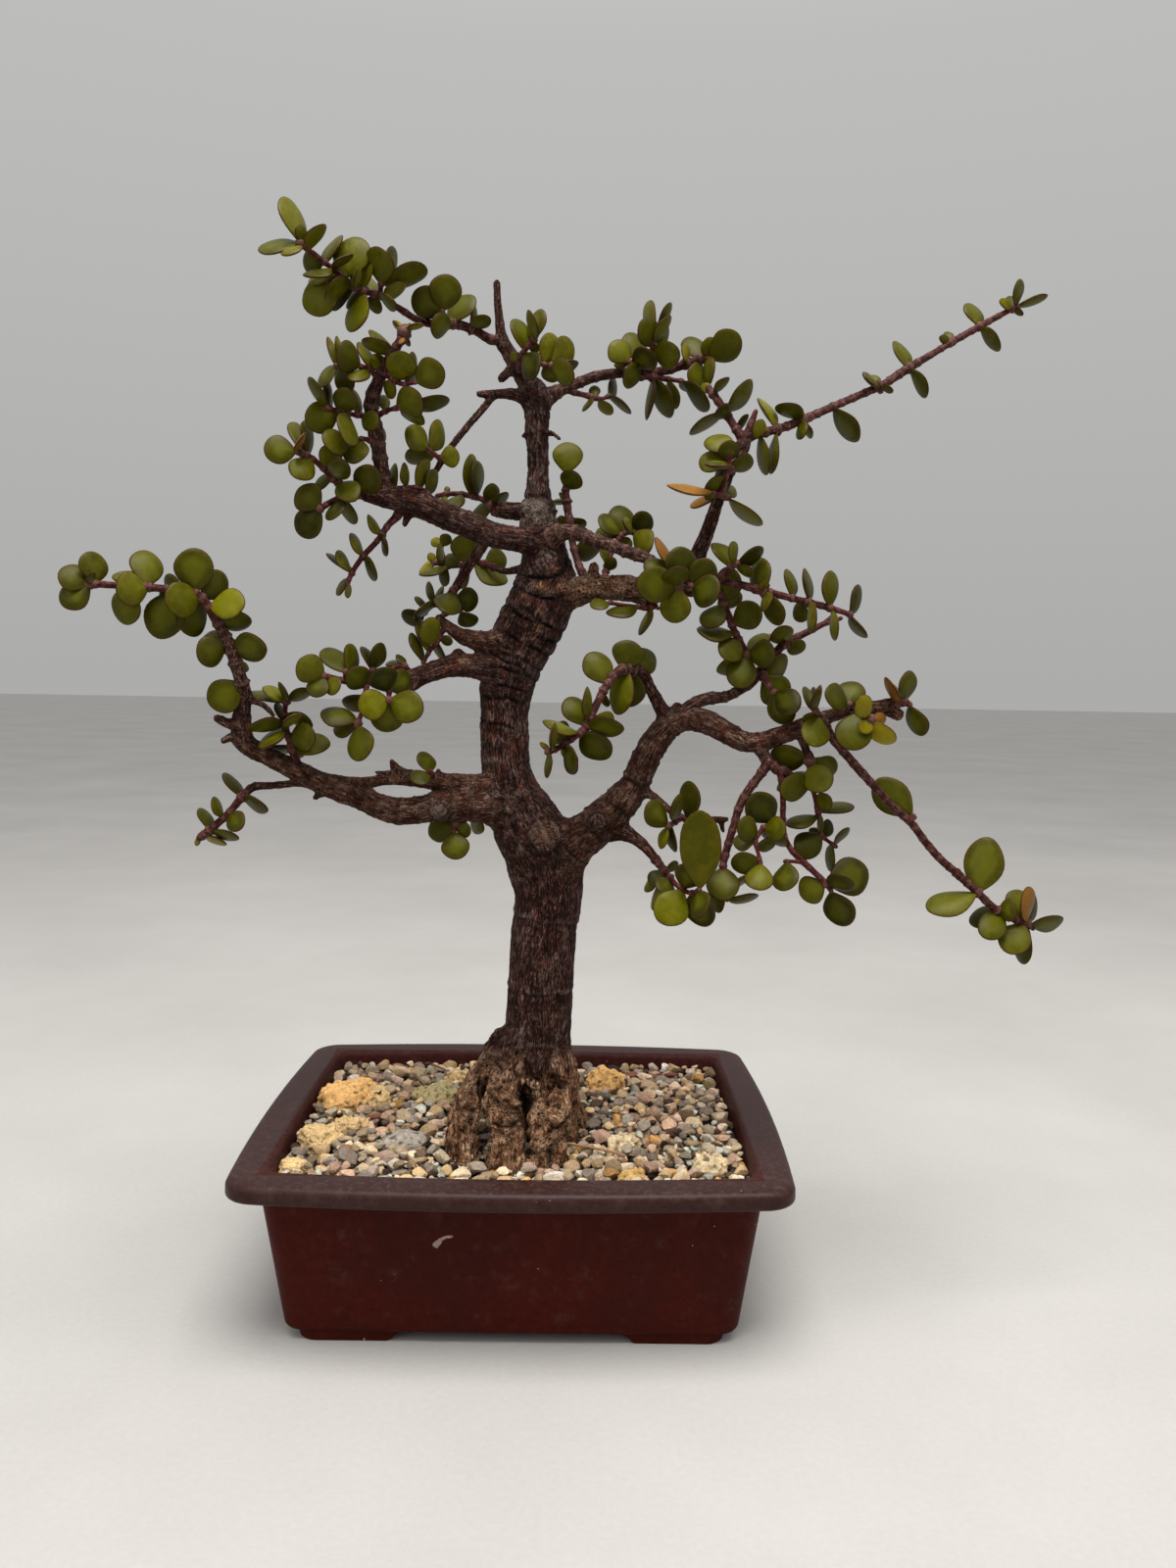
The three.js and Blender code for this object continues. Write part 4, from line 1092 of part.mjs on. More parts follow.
let pot = outer.subtract(loft(cavityLevels(0, POT_H + 1)));
const fx = 83.7, fy = 63.7;
for (const sx of [-1, 1]) for (const sy of [-1, 1]) {
  const g = new THREE.BoxGeometry(FOOT_L, FOOT_B, FOOT_H + 0.8);
  g.translate(sx * (fx - FOOT_L / 2), sy * (fy - FOOT_B / 2), (FOOT_H + 0.8) / 2);
  const a = g.attributes.position;
  for (let i = 0; i < a.count; i++) {
    const top = a.getZ(i) > 1;
    const innerX = Math.abs(a.getX(i)) < fx - 1, innerY = Math.abs(a.getY(i)) < fy - 1;
    a.setX(i, a.getX(i) - (top && innerX ? sx * 5 : 0) + (top && !innerX ? sx * 0.6 : 0));
    a.setY(i, a.getY(i) - (top && innerY ? sy * 3 : 0) + (top && !innerY ? sy * 0.4 : 0));
  }
  pot = pot.add(toSolid(g));
}
for (const s of [-1, 1]) pot = pot.subtract(pin(s * DRAIN_X, 0, -1, FOOT_H + FLOOR_T + 2, DRAIN_D / 2));

// ---------- drain screens ----------
const SCREEN = 31, SCREEN_T = 1.2, HOLE = 6.4, PITCH = 9;
const screens = [-1, 1].map((s) => {
  const z0 = FOOT_H + FLOOR_T + GAP;
  let m = block(s * DRAIN_X - SCREEN / 2, s * DRAIN_X + SCREEN / 2, -SCREEN / 2, SCREEN / 2, z0, z0 + SCREEN_T);
  for (const i of [-1, 0, 1]) for (const j of [-1, 0, 1])
    m = m.subtract(block(s * DRAIN_X + i * PITCH - HOLE / 2, s * DRAIN_X + i * PITCH + HOLE / 2, j * PITCH - HOLE / 2, j * PITCH + HOLE / 2, z0 - 1, z0 + SCREEN_T + 1));
  return m;
});
const screenRoom = [-1, 1].map((s) => block(s * DRAIN_X - SCREEN / 2 - GAP, s * DRAIN_X + SCREEN / 2 + GAP, -SCREEN / 2 - GAP, SCREEN / 2 + GAP, FOOT_H + FLOOR_T - 1, FOOT_H + FLOOR_T + 2 * GAP + SCREEN_T));

// ---------- trunk, main branches and root flare ----------
const sidesFor = (pts) => { const r = Math.max(...pts.map((p) => p[3])); return r > 12 ? 8 : r > 6 ? 6 : r > 3 ? 5 : 4; };
const ROOT_BASE = SOIL_TOP - 6;
const below = (z) => block(-150, 150, -150, 150, -50, z);
let wood = largest(Manifold.union(WOOD.map((t) => bar(t, sidesFor(t)))).subtract(below(ROOT_BASE)));
const woodRoom = WOOD.map((t) => bar(t, sidesFor(t), GAP));
const rootRoom = Manifold.union(WOOD.filter((t) => Math.min(...t.map((p) => p[2])) < 90).map((t) => bar(t, sidesFor(t), GAP))).subtract(below(ROOT_BASE - GAP));

// ---------- leafy branches ----------
const stemSides = (t) => { const r = Math.max(...t.map((p) => p[3])); return r > 2.4 ? 5 : r > 1.25 ? 4 : 3; };
// how far a branch's many-sided stems are turned about their own line
const TURNS = {};
const leafy = Object.entries(BRANCHES).map(([name, data]) => ({
  name, data,
  solid: Manifold.union(data.stems.map((t) => bar(t, stemSides(t), 0, TURNS[name])).concat(data.leaves.map((l) => leaf(l)))),
  rooms: data.stems.map((t) => bar(t, stemSides(t), GAP, TURNS[name])).concat(data.leaves.map((l) => leaf(l, GAP))),
}));
// what is left of a solid once the rooms that reach it are taken out, and how much falls off
function cut(solid, rooms) {
  const near = rooms.filter((r) => overlapBox(solid, r, 0));
  if (!near.length) return { kept: solid, loss: 0 };
  const kept = largest(solid.subtract(Manifold.union(near)));
  return { kept, loss: solid.volume() - kept.volume() };
}
// a shoot ends on the bark; one that lies along the bark keeps its foot and the bark makes way
for (const b of leafy) {
  const near = woodRoom.filter((w) => overlapBox(b.solid, w, 0));
  if (!near.length) continue;
  const whole = b.solid.subtract(Manifold.union(near));
  const kept = largest(whole);
  if (whole.volume() - kept.volume() < 4) { b.solid = kept; continue; }
  const bark = cut(wood, b.rooms.filter((r) => r.intersect(wood).volume() > 0));
  const inside = b.solid.intersect(wood).volume();
  if (bark.loss - inside < 0.35 * inside + 60) wood = bark.kept;
  else b.solid = kept;
}
// where two branches cross, the one that would lose less gives way
leafy.forEach((a, i) => leafy.slice(i + 1).forEach((b) => {
  if (!overlapBox(a.solid, b.solid, 0) || a.solid.intersect(b.solid).volume() < 1e-6) return;
  const ca = cut(a.solid, b.rooms), cb = cut(b.solid, a.rooms);
  if (ca.loss < cb.loss) a.solid = ca.kept; else b.solid = cb.kept;
}));

// ---------- stones, gravel and soil ----------
function rock(s, grow = 0) {
  const g = new THREE.IcosahedronGeometry(1, 1);
  const a = g.attributes.position;
  for (let i = 0; i < a.count; i++) {
    const p = V(a.getX(i), a.getY(i), a.getZ(i));
    const k = [Math.round(p.x * 50), Math.round(p.y * 50), Math.round(p.z * 50)];
    p.multiplyScalar(0.86 + 0.26 * hash(k[0] + s[7], k[1], k[2]));
    p.set(p.x * s[3], p.y * s[4], p.z * s[5]);
    p.multiplyScalar(1 + grow / Math.max(4, p.length()) * 1.6);
    p.applyAxisAngle(V(0, 0, 1), s[6]);
    a.setXYZ(i, p.x + s[0], p.y + s[1], p.z + s[2]);
  }
  return toSolid(g);
}
const bowl = loft(cavityLevels(GAP, POT_H + 30));
// a box over the whole bowl whose top is the lumpy gravel surface, raised by lift
function bedSolid(lift) {
  const g = new THREE.BoxGeometry(2 * iw + 4, 2 * id + 4, 14, 8, 6, 1);
  const a = g.attributes.position;
  for (let i = 0; i < a.count; i++) {
    const x = a.getX(i), y = a.getY(i), top = a.getZ(i) > 0;
    const near = Math.exp(-((x - 2) ** 2 + (y + 16) ** 2) / (2 * 32 ** 2));
    const lump = (hash(Math.round(x), Math.round(y), 3) - 0.5) * 2.6;
    a.setZ(i, top ? GRAVEL_TOP + 2.2 * near + lump + lift : SOIL_TOP + GAP);
  }
  return toSolid(g);
}
const inner = loft(cavityLevels(GAP, POT_H - 0.2));
const gravel = largest(bedSolid(0).intersect(inner).subtract(rootRoom));
const bedRoom = bedSolid(GAP);
const stones = [];
const stoneRooms = [];
STONES.forEach((s) => {
  let r = rock(s).intersect(bowl).subtract(bedRoom);
  for (const q of stoneRooms) if (overlapBox(r, q, 0)) r = r.subtract(q);
  for (const w of woodRoom) if (overlapBox(r, w, 0)) r = r.subtract(w);
  stones.push(largest(r));
  stoneRooms.push(rock(s, GAP + 0.15));
});
let soil = inner.subtract(block(-150, 150, -150, 150, SOIL_TOP, 100)).subtract(rootRoom);
for (const q of screenRoom) soil = soil.subtract(q);
soil = largest(soil);

// ---------- object ----------
const object = new THREE.Group();
object.name = 'dwarf_jade_bonsai';
const toFrame = new THREE.Matrix4().makeTranslation(-CENTRE_X, -CENTRE_Y, 0);
// true when, with vertices at one place counted as one, each edge has just two faces
function closed(g, grid) {
  const p = g.attributes.position, idx = g.index.array, ids = new Map(), at = [], edges = new Map();
  for (let i = 0; i < p.count; i++) {
    const k = [p.getX(i), p.getY(i), p.getZ(i)].map((v) => Math.round(v / grid)).join();
    if (!ids.has(k)) ids.set(k, ids.size);
    at.push(ids.get(k));
  }
  for (let i = 0; i < idx.length; i += 3) {
    const f = [at[idx[i]], at[idx[i + 1]], at[idx[i + 2]]];
    if (f[0] === f[1] || f[1] === f[2] || f[0] === f[2]) continue;
    for (let k = 0; k < 3; k++) {
      const e = f[k] + '_' + f[(k + 1) % 3];
      edges.set(e, (edges.get(e) || 0) + 1);
    }
  }
  for (const [e, n] of edges) if (n !== 1 || !edges.has(e.split('_').reverse().join('_'))) return false;
  return true;
}
// the solid in the object's own frame, with vertices closer than a hundredth of a
// millimetre welded, so that no hair-thin sliver is left where pieces were joined
function settled(solid, name) {
  for (const weld of [1e-2, 7e-3, 5e-3, 3e-3, 2e-3, 1.5e-2, 2e-2, 1e-3]) {
    try {
      const s = toSolid(toGeometry(largest(solid)).applyMatrix4(toFrame), weld);
      const g = toGeometry(largest(s));
      const again = toSolid(g, 1e-3);
      if (again.decompose().length === 1 && closed(g, 1e-4) && closed(g, 1e-3)) return g;
    } catch (e) { /* pinched at this distance: try another */ }
  }
  throw new Error(name + ' stays pinched');
}
function add(name, solid, color, roughness) {
  const m = new THREE.Mesh(settled(solid, name), new THREE.MeshStandardMaterial({ name: name + '_mat', color, roughness, metalness: 0 }));
  m.name = name;
  object.add(m);
}
add('pot', pot, 0x4a1d17, 0.45);
add('drain_screen_left', screens[0], 0x1c1c1c, 0.6);
add('drain_screen_right', screens[1], 0x1c1c1c, 0.6);
add('soil', soil, 0x3b2c22, 0.95);
add('gravel', gravel, 0xa3937c, 0.95);
stones.forEach((s, i) => add('stone_' + String(i + 1).padStart(2, '0'), s, STONES[i][8], 0.9));
add('trunk_and_main_branches', wood, 0x5a453d, 0.85);
for (const b of leafy) add(b.name, b.solid, 0x66752c, 0.45);

export default object;
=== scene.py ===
import math

import bpy
import numpy as np
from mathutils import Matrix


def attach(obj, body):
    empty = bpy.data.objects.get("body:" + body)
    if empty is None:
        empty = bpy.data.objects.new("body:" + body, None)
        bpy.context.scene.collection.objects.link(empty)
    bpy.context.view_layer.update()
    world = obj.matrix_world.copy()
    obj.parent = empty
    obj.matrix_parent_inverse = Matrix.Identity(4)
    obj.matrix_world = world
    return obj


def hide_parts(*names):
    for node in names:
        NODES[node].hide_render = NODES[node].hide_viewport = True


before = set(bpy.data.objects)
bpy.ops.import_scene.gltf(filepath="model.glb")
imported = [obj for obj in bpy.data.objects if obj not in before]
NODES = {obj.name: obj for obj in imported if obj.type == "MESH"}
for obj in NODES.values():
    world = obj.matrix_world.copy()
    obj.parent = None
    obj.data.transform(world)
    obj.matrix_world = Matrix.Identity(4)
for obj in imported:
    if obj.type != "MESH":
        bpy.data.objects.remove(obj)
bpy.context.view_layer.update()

import openvdb
from mathutils import Matrix, Vector

F4 = np.float32

# ------------------------------------------------------------------ tables, millimetres from the pot centre
CX = 32.21                      # the frame's origin is this far to the right of the pot centre
# wood: name -> [x, y, z, radius] along each bar
WOOD = {
    "trunk": [[8.33, -12, 42.81, 18.58], [7.74, -12, 55.91, 18.54], [7.19, -13, 69.33, 17.2], [6.2, -14, 83.93, 15.86], [6.48, -14, 95.51, 14.37], [7.54, -14, 110.46, 13.92], [8.51, -14, 131.67, 13.66], [9.48, -14, 152.71, 13.6], [11.28, -14, 171.52, 14.17], [9.49, -14, 182.7, 15.17], [3.2, -14, 195, 14.72], [-3.49, -14, 208.47, 11.83], [-6.85, -14, 218.65, 10.17], [-7.79, -14, 230.86, 9.95], [-7.95, -14, 247.07, 10.12], [-6.9, -13, 257.16, 11.34], [-3.43, -12, 268.11, 12.15], [1.3, -12, 278.63, 13.33], [6.05, -13, 288.66, 13.28], [8.36, -14, 298.57, 12.03], [8.3, -15, 305.21, 9.99], [7.01, -15, 312.67, 8.78], [5.32, -15, 319.71, 7.57], [4.83, -15, 326.75, 6.76], [4.76, -15, 332.22, 5.37], [4.68, -15, 339.24, 4.37], [4.56, -15, 348.18, 4.36], [4.04, -15, 357.85, 4.75], [3.95, -15, 365.56, 5.13], [3.08, -15, 371.71, 5.32], [2.66, -15, 374, 4.73]],
    "leader_left": [[3.1, -15, 370.17, 4.93], [-0.13, -15, 376.26, 3.94], [-3.69, -16, 382.07, 3.34], [-7.67, -16, 388.1, 2.94], [-10.47, -16, 393.38, 2.55]],
    "leader_stub": [[-10.45, -16, 391.09, 2.35], [-11.31, -16, 399.44, 1.96], [-12.17, -16, 406.99, 1.56], [-12.63, -16, 414.91, 1.46]],
    "apex_knob_a": [[6.26, -15, 370.23, 2.37], [5.83, -16, 374.6, 1.77]],
    "apex_knob_b": [[-7.21, -16, 381.24, 1.96], [-10.25, -17, 377.88, 1.76]],
    "apex_left": [[1.56, -16, 369.92, 3.15], [-6.21, -18, 371.61, 2.35], [-12.73, -20, 371.03, 1.76], [-18.79, -22, 370.46, 1.36]],
    "apex_left_droop": [[-13.11, -20, 370.65, 1.56], [-17.58, -22, 364.42, 1.46], [-22.7, -25, 357.63, 1.45], [-27.37, -28, 350.91, 1.44], [-31.99, -31, 343.51, 1.34], [-35.17, -33, 337.11, 1.24]],
    "ring_twig_a": [[1.7, -15, 355.87, 1.58], [-1.42, -16, 355.62, 0.99]],
    "ring_twig_b": [[6.88, -17, 356.73, 1.58], [10.9, -20, 355.83, 0.98], [13.31, -22, 353.57, 0.78]],
    "upper_left": [[9.41, -16, 313.78, 5.18], [1.74, -23, 313.27, 5.1], [-5.82, -28, 313.73, 4.85], [-13.36, -31, 314.78, 5.01], [-20.81, -34, 317.7, 5.17], [-28.15, -37, 319.82, 4.94], [-35.38, -40, 322.64, 5.09], [-42.51, -43, 325.05, 5.06], [-48.56, -45, 325.76, 4.47], [-54.92, -47, 326.09, 3.34], [-61.77, -50, 327.7, 2.58], [-66.88, -52, 328.74, 2.02]],
    "ul_under": [[-43.39, -42, 322.23, 2.25], [-45.25, -42, 316.65, 1.13]],
    "back_left": [[5.15, -12, 325.2, 4.01], [-3.17, -6, 327.04, 3.65], [-9.44, -3, 327.73, 3.46], [-13.24, -1, 327.93, 2.66]],
    "back_low": [[-14.36, -28, 315.11, 2.72], [-17.75, -24, 309.73, 2.35], [-21.02, -22, 305.22, 2.16], [-24.72, -20, 299.88, 1.98], [-27.56, -19, 295.21, 1.79]],
    "back_mid": [[4.55, -10, 303.61, 2.83], [-2.96, -5, 303.51, 1.84], [-9.31, -1, 302.94, 1.44], [-14.47, 2, 304.74, 1.24]],
    "mid_left": [[-3.93, -16, 259.24, 6.84], [-11.56, -22, 260.7, 5.76], [-19.48, -27, 262.91, 4.71], [-26.62, -30, 263.16, 4.49], [-32.89, -33, 261.5, 4.07], [-38.69, -36, 259.47, 3.66], [-43.03, -38, 258.64, 2.88], [-48.47, -40, 258.17, 1.91], [-55.59, -43, 257.3, 1.71], [-61.49, -46, 255.72, 1.51]],
    "mid_left_knob": [[-38.69, -36, 258.7, 2.89], [-42.25, -38, 254.82, 2.11]],
    "mid_left_bump": [[-25.56, -29, 263.58, 3.91], [-25.97, -29, 267.46, 2.34]],
    "mid_stub": [[-7.69, -16, 273.16, 5.21], [-15.63, -22, 272.86, 4.36], [-20.52, -25, 273.87, 3.74], [-25.05, -27, 275.3, 2.94], [-29.55, -29, 278.25, 2.34], [-33.34, -30, 281.62, 1.75]],
    "low_left": [[-0.59, -14, 204.41, 8.98], [-10.12, -18, 205.53, 7.69], [-17.16, -21, 206.17, 6.84], [-24.99, -23, 206.27, 6.41], [-32.64, -26, 206.08, 6.17], [-40.32, -28, 204.99, 5.55], [-47.94, -30, 204.31, 5.52], [-55.49, -32, 206.01, 5.1], [-62.96, -34, 209.66, 4.69], [-70.36, -36, 212.49, 4.47], [-77.67, -38, 215.68, 4.25], [-84.91, -40, 219.62, 4.04], [-92.06, -42, 223.52, 3.83], [-99.14, -44, 227.38, 3.62], [-104.53, -45, 230.41, 3.8], [-108.67, -45, 233, 2.85]],
    "ll_up": [[-106.41, -45, 231.9, 3.23], [-107.19, -46, 238, 3.78], [-106.86, -47, 243.33, 3.39], [-105.76, -48, 249.39, 2.82]],
    "ll_knob1": [[-107.66, -47, 238.04, 2.26], [-111.95, -49, 239.56, 1.88], [-115.06, -51, 241.46, 1.68]],
    "ll_knob2": [[-107.53, -45, 233.4, 2.28], [-111.1, -47, 234.21, 1.7], [-113.83, -48, 232.71, 1.32]],
    "ll_side": [[-105.39, -48, 249.02, 2.07], [-100.63, -49, 247.99, 1.31], [-96.65, -50, 245.84, 1.12], [-93.8, -51, 242.93, 0.93]],
    "ll_spur": [[-87.21, -40, 219.59, 2.12], [-87.47, -42, 225.13, 1.53]],
    "ll_upper": [[-6.33, -15, 213.44, 5.29], [-15.3, -20, 214.99, 4.22], [-23.15, -22, 215.05, 4.01], [-30.93, -24, 215.92, 3.79], [-38.65, -26, 216.77, 3.37], [-46.29, -28, 217.63, 3.16], [-52.05, -29, 217.23, 2.37], [-57.62, -31, 216.53, 2.16], [-65.09, -33, 216.2, 2.15], [-72.49, -35, 216.66, 2.34], [-79.43, -37, 216.73, 2.33]],
    "ll_broken": [[-45.1, -28, 218.04, 2.77], [-49.45, -28, 219.96, 2.57], [-52.06, -29, 224.35, 1.18]],
    "ll_broken2": [[-50.08, -29, 219.24, 1.77], [-54.25, -30, 219.65, 1.18], [-58.4, -31, 220.06, 0.78]],
    "ll_bud": [[-32.53, -24, 216.29, 1.79], [-34.02, -25, 220.75, 0.99]],
    "ll_under": [[-74.8, -37, 214.47, 2.33], [-77.86, -39, 212.67, 1.74], [-80.35, -40, 210.41, 1.16]],
    "ll_low_twig": [[-79.38, -39, 216.14, 2.51], [-86.85, -40, 216.11, 1.54], [-94.04, -42, 215.42, 1.53], [-99.51, -43, 215.04, 1.53], [-103.82, -44, 214.68, 1.72], [-106.61, -45, 212.05, 1.52]],
    "ll_cut": [[-31.85, -26, 206.1, 4.77], [-32.89, -34, 205.01, 3.33]],
    "rough": [[9.72, -16, 290.53, 6.8], [17.72, -19, 292.45, 5.96], [24.82, -22, 294.33, 5.53], [31.48, -24, 295.08, 4.91], [38.09, -26, 295.05, 5.09], [45.05, -28, 294.64, 4.87], [50.47, -29, 293.9, 3.89], [56.57, -31, 293.48, 2.71], [64.13, -33, 294.24, 2.51], [72.39, -35, 295, 1.92]],
    "rough_low": [[41.27, -26, 292.78, 2.35], [47.16, -27, 289.72, 1.56], [54.2, -28, 287.07, 0.98]],
    "rough_knot": [[24.82, -22, 294.33, 3.55], [27.1, -23, 298.97, 2.76], [27.8, -24, 303.17, 2.16]],
    "to_top_right": [[66.35, -34, 294.21, 2.7], [66.84, -35, 301.74, 2.88], [68.49, -36, 308.11, 3.25], [70.9, -37, 314.44, 2.86], [73.27, -38, 321.86, 2.66], [75.25, -39, 328.46, 2.27], [77.74, -39, 334.45, 2.08], [79.87, -39, 339.68, 1.89], [82.5, -38, 345.08, 2.27], [84.07, -37, 347.89, 2.46]],
    "right_low": [[7.91, -14, 178.53, 12.31], [16.05, -17, 185.75, 10.59], [22.47, -19, 191.89, 9.52], [28.84, -21, 197.15, 8.67], [35.14, -23, 203.17, 8.02], [40.61, -24, 209.01, 7.2], [44.85, -25, 214.4, 6.38], [47.09, -26, 219.73, 5.76], [49.3, -27, 225.42, 5.94], [51.89, -28, 231.08, 5.73], [55.64, -29, 236.72, 5.51], [60.18, -30, 241.56, 5.3], [65.54, -31, 243.65, 4.9], [71.33, -32, 243, 4.89], [77.15, -33, 240.79, 4.68], [82.98, -34, 237.42, 4.29], [88.76, -35, 234.84, 4.09], [95.23, -36, 235.01, 3.88], [100.83, -37, 237.09, 3.68], [106.02, -38, 239.16, 3.48], [111.74, -40, 242.05, 3.27], [117.41, -42, 244.52, 3.06], [122.27, -44, 246.59, 2.67], [127.33, -45, 248.22, 2.47], [133.14, -46, 249.48, 2.66], [138.58, -47, 249.6, 2.84], [143.19, -48, 251.21, 2.45]],
    "rl_end": [[140.48, -47, 249.63, 2.65], [145.63, -48, 247.1, 2.46]],
    "rl_knot1": [[30.41, -22, 198.93, 5.23], [31.8, -31, 201.7, 3.35]],
    "rl_cut": [[9.54, -18, 187.45, 8.94], [8.64, -31, 193.38, 5.33]],
    "rl_bump": [[60.94, -30, 242.75, 3.53], [61.91, -31, 247.89, 2.15]],
    "rl_down": [[36.03, -23, 197.93, 5.22], [42.41, -25, 196.28, 3.4], [47.17, -27, 193.81, 2.59], [51.11, -29, 190.54, 2.18], [54.65, -31, 186.5, 1.78]],
    "rl_mid": [[46.85, -25, 214.03, 3.19], [53.03, -29, 212.14, 1.78], [58.44, -32, 207.79, 1.57], [64.26, -34, 204.16, 1.57], [70.77, -36, 202.93, 1.56], [76.89, -37, 203.94, 1.36], [81.96, -37, 204.02, 1.17]],
    "rl_mid_b": [[79.63, -37, 203.59, 1.17], [80.79, -38, 199.41, 0.97]],
    "arch": [[56.97, -30, 244.65, 3.14], [53.15, -32, 251.67, 2.54], [50.2, -34, 256.31, 2.33], [47.66, -36, 260.9, 2.51], [45.26, -37, 262.78, 2.31]],
    "rl_spur2": [[110.41, -39, 241.21, 2.51], [111.39, -39, 235.05, 1.93], [113.69, -38, 229.99, 1.55]],
    "root_left": [[-4.24, -16, 96.04, 9.13], [-10.9, -20, 84.59, 7.01], [-17.06, -24, 73.31, 5.74], [-21.94, -28, 65.14, 4.89], [-26.37, -32, 59.2, 3.64]],
    "root_fl": [[0.21, -20, 86.86, 9.89], [-6.58, -28, 75, 8.94], [-10.92, -34, 64.83, 7.64], [-13.74, -38, 56.13, 6.79]],
    "root_f": [[4.4, -22, 87.64, 9.03], [4.87, -30, 75.94, 8.5], [4.46, -36, 63.79, 8.02], [3.94, -40, 55.17, 7.17]],
    "root_fr": [[12.47, -18, 90.57, 9.1], [16.12, -26, 76.63, 8.16], [18.41, -32, 65.64, 7.27], [20.59, -36, 57.36, 6.42]],
    "root_r": [[14.96, -14, 84.91, 8.35], [21.86, -15, 70.31, 6.69], [27.04, -16, 59.99, 5.43], [31.33, -17, 52.68, 4.18]],
    "root_b": [[7.21, -6, 81.93, 10.18], [8.7, 6, 68.68, 7.83], [10.2, 18, 61.88, 5.79]],
    "root_bl": [[1.78, -8, 82.57, 8.45], [-7.22, 3, 69.6, 6.49], [-14.44, 14, 61.71, 4.86]],
}
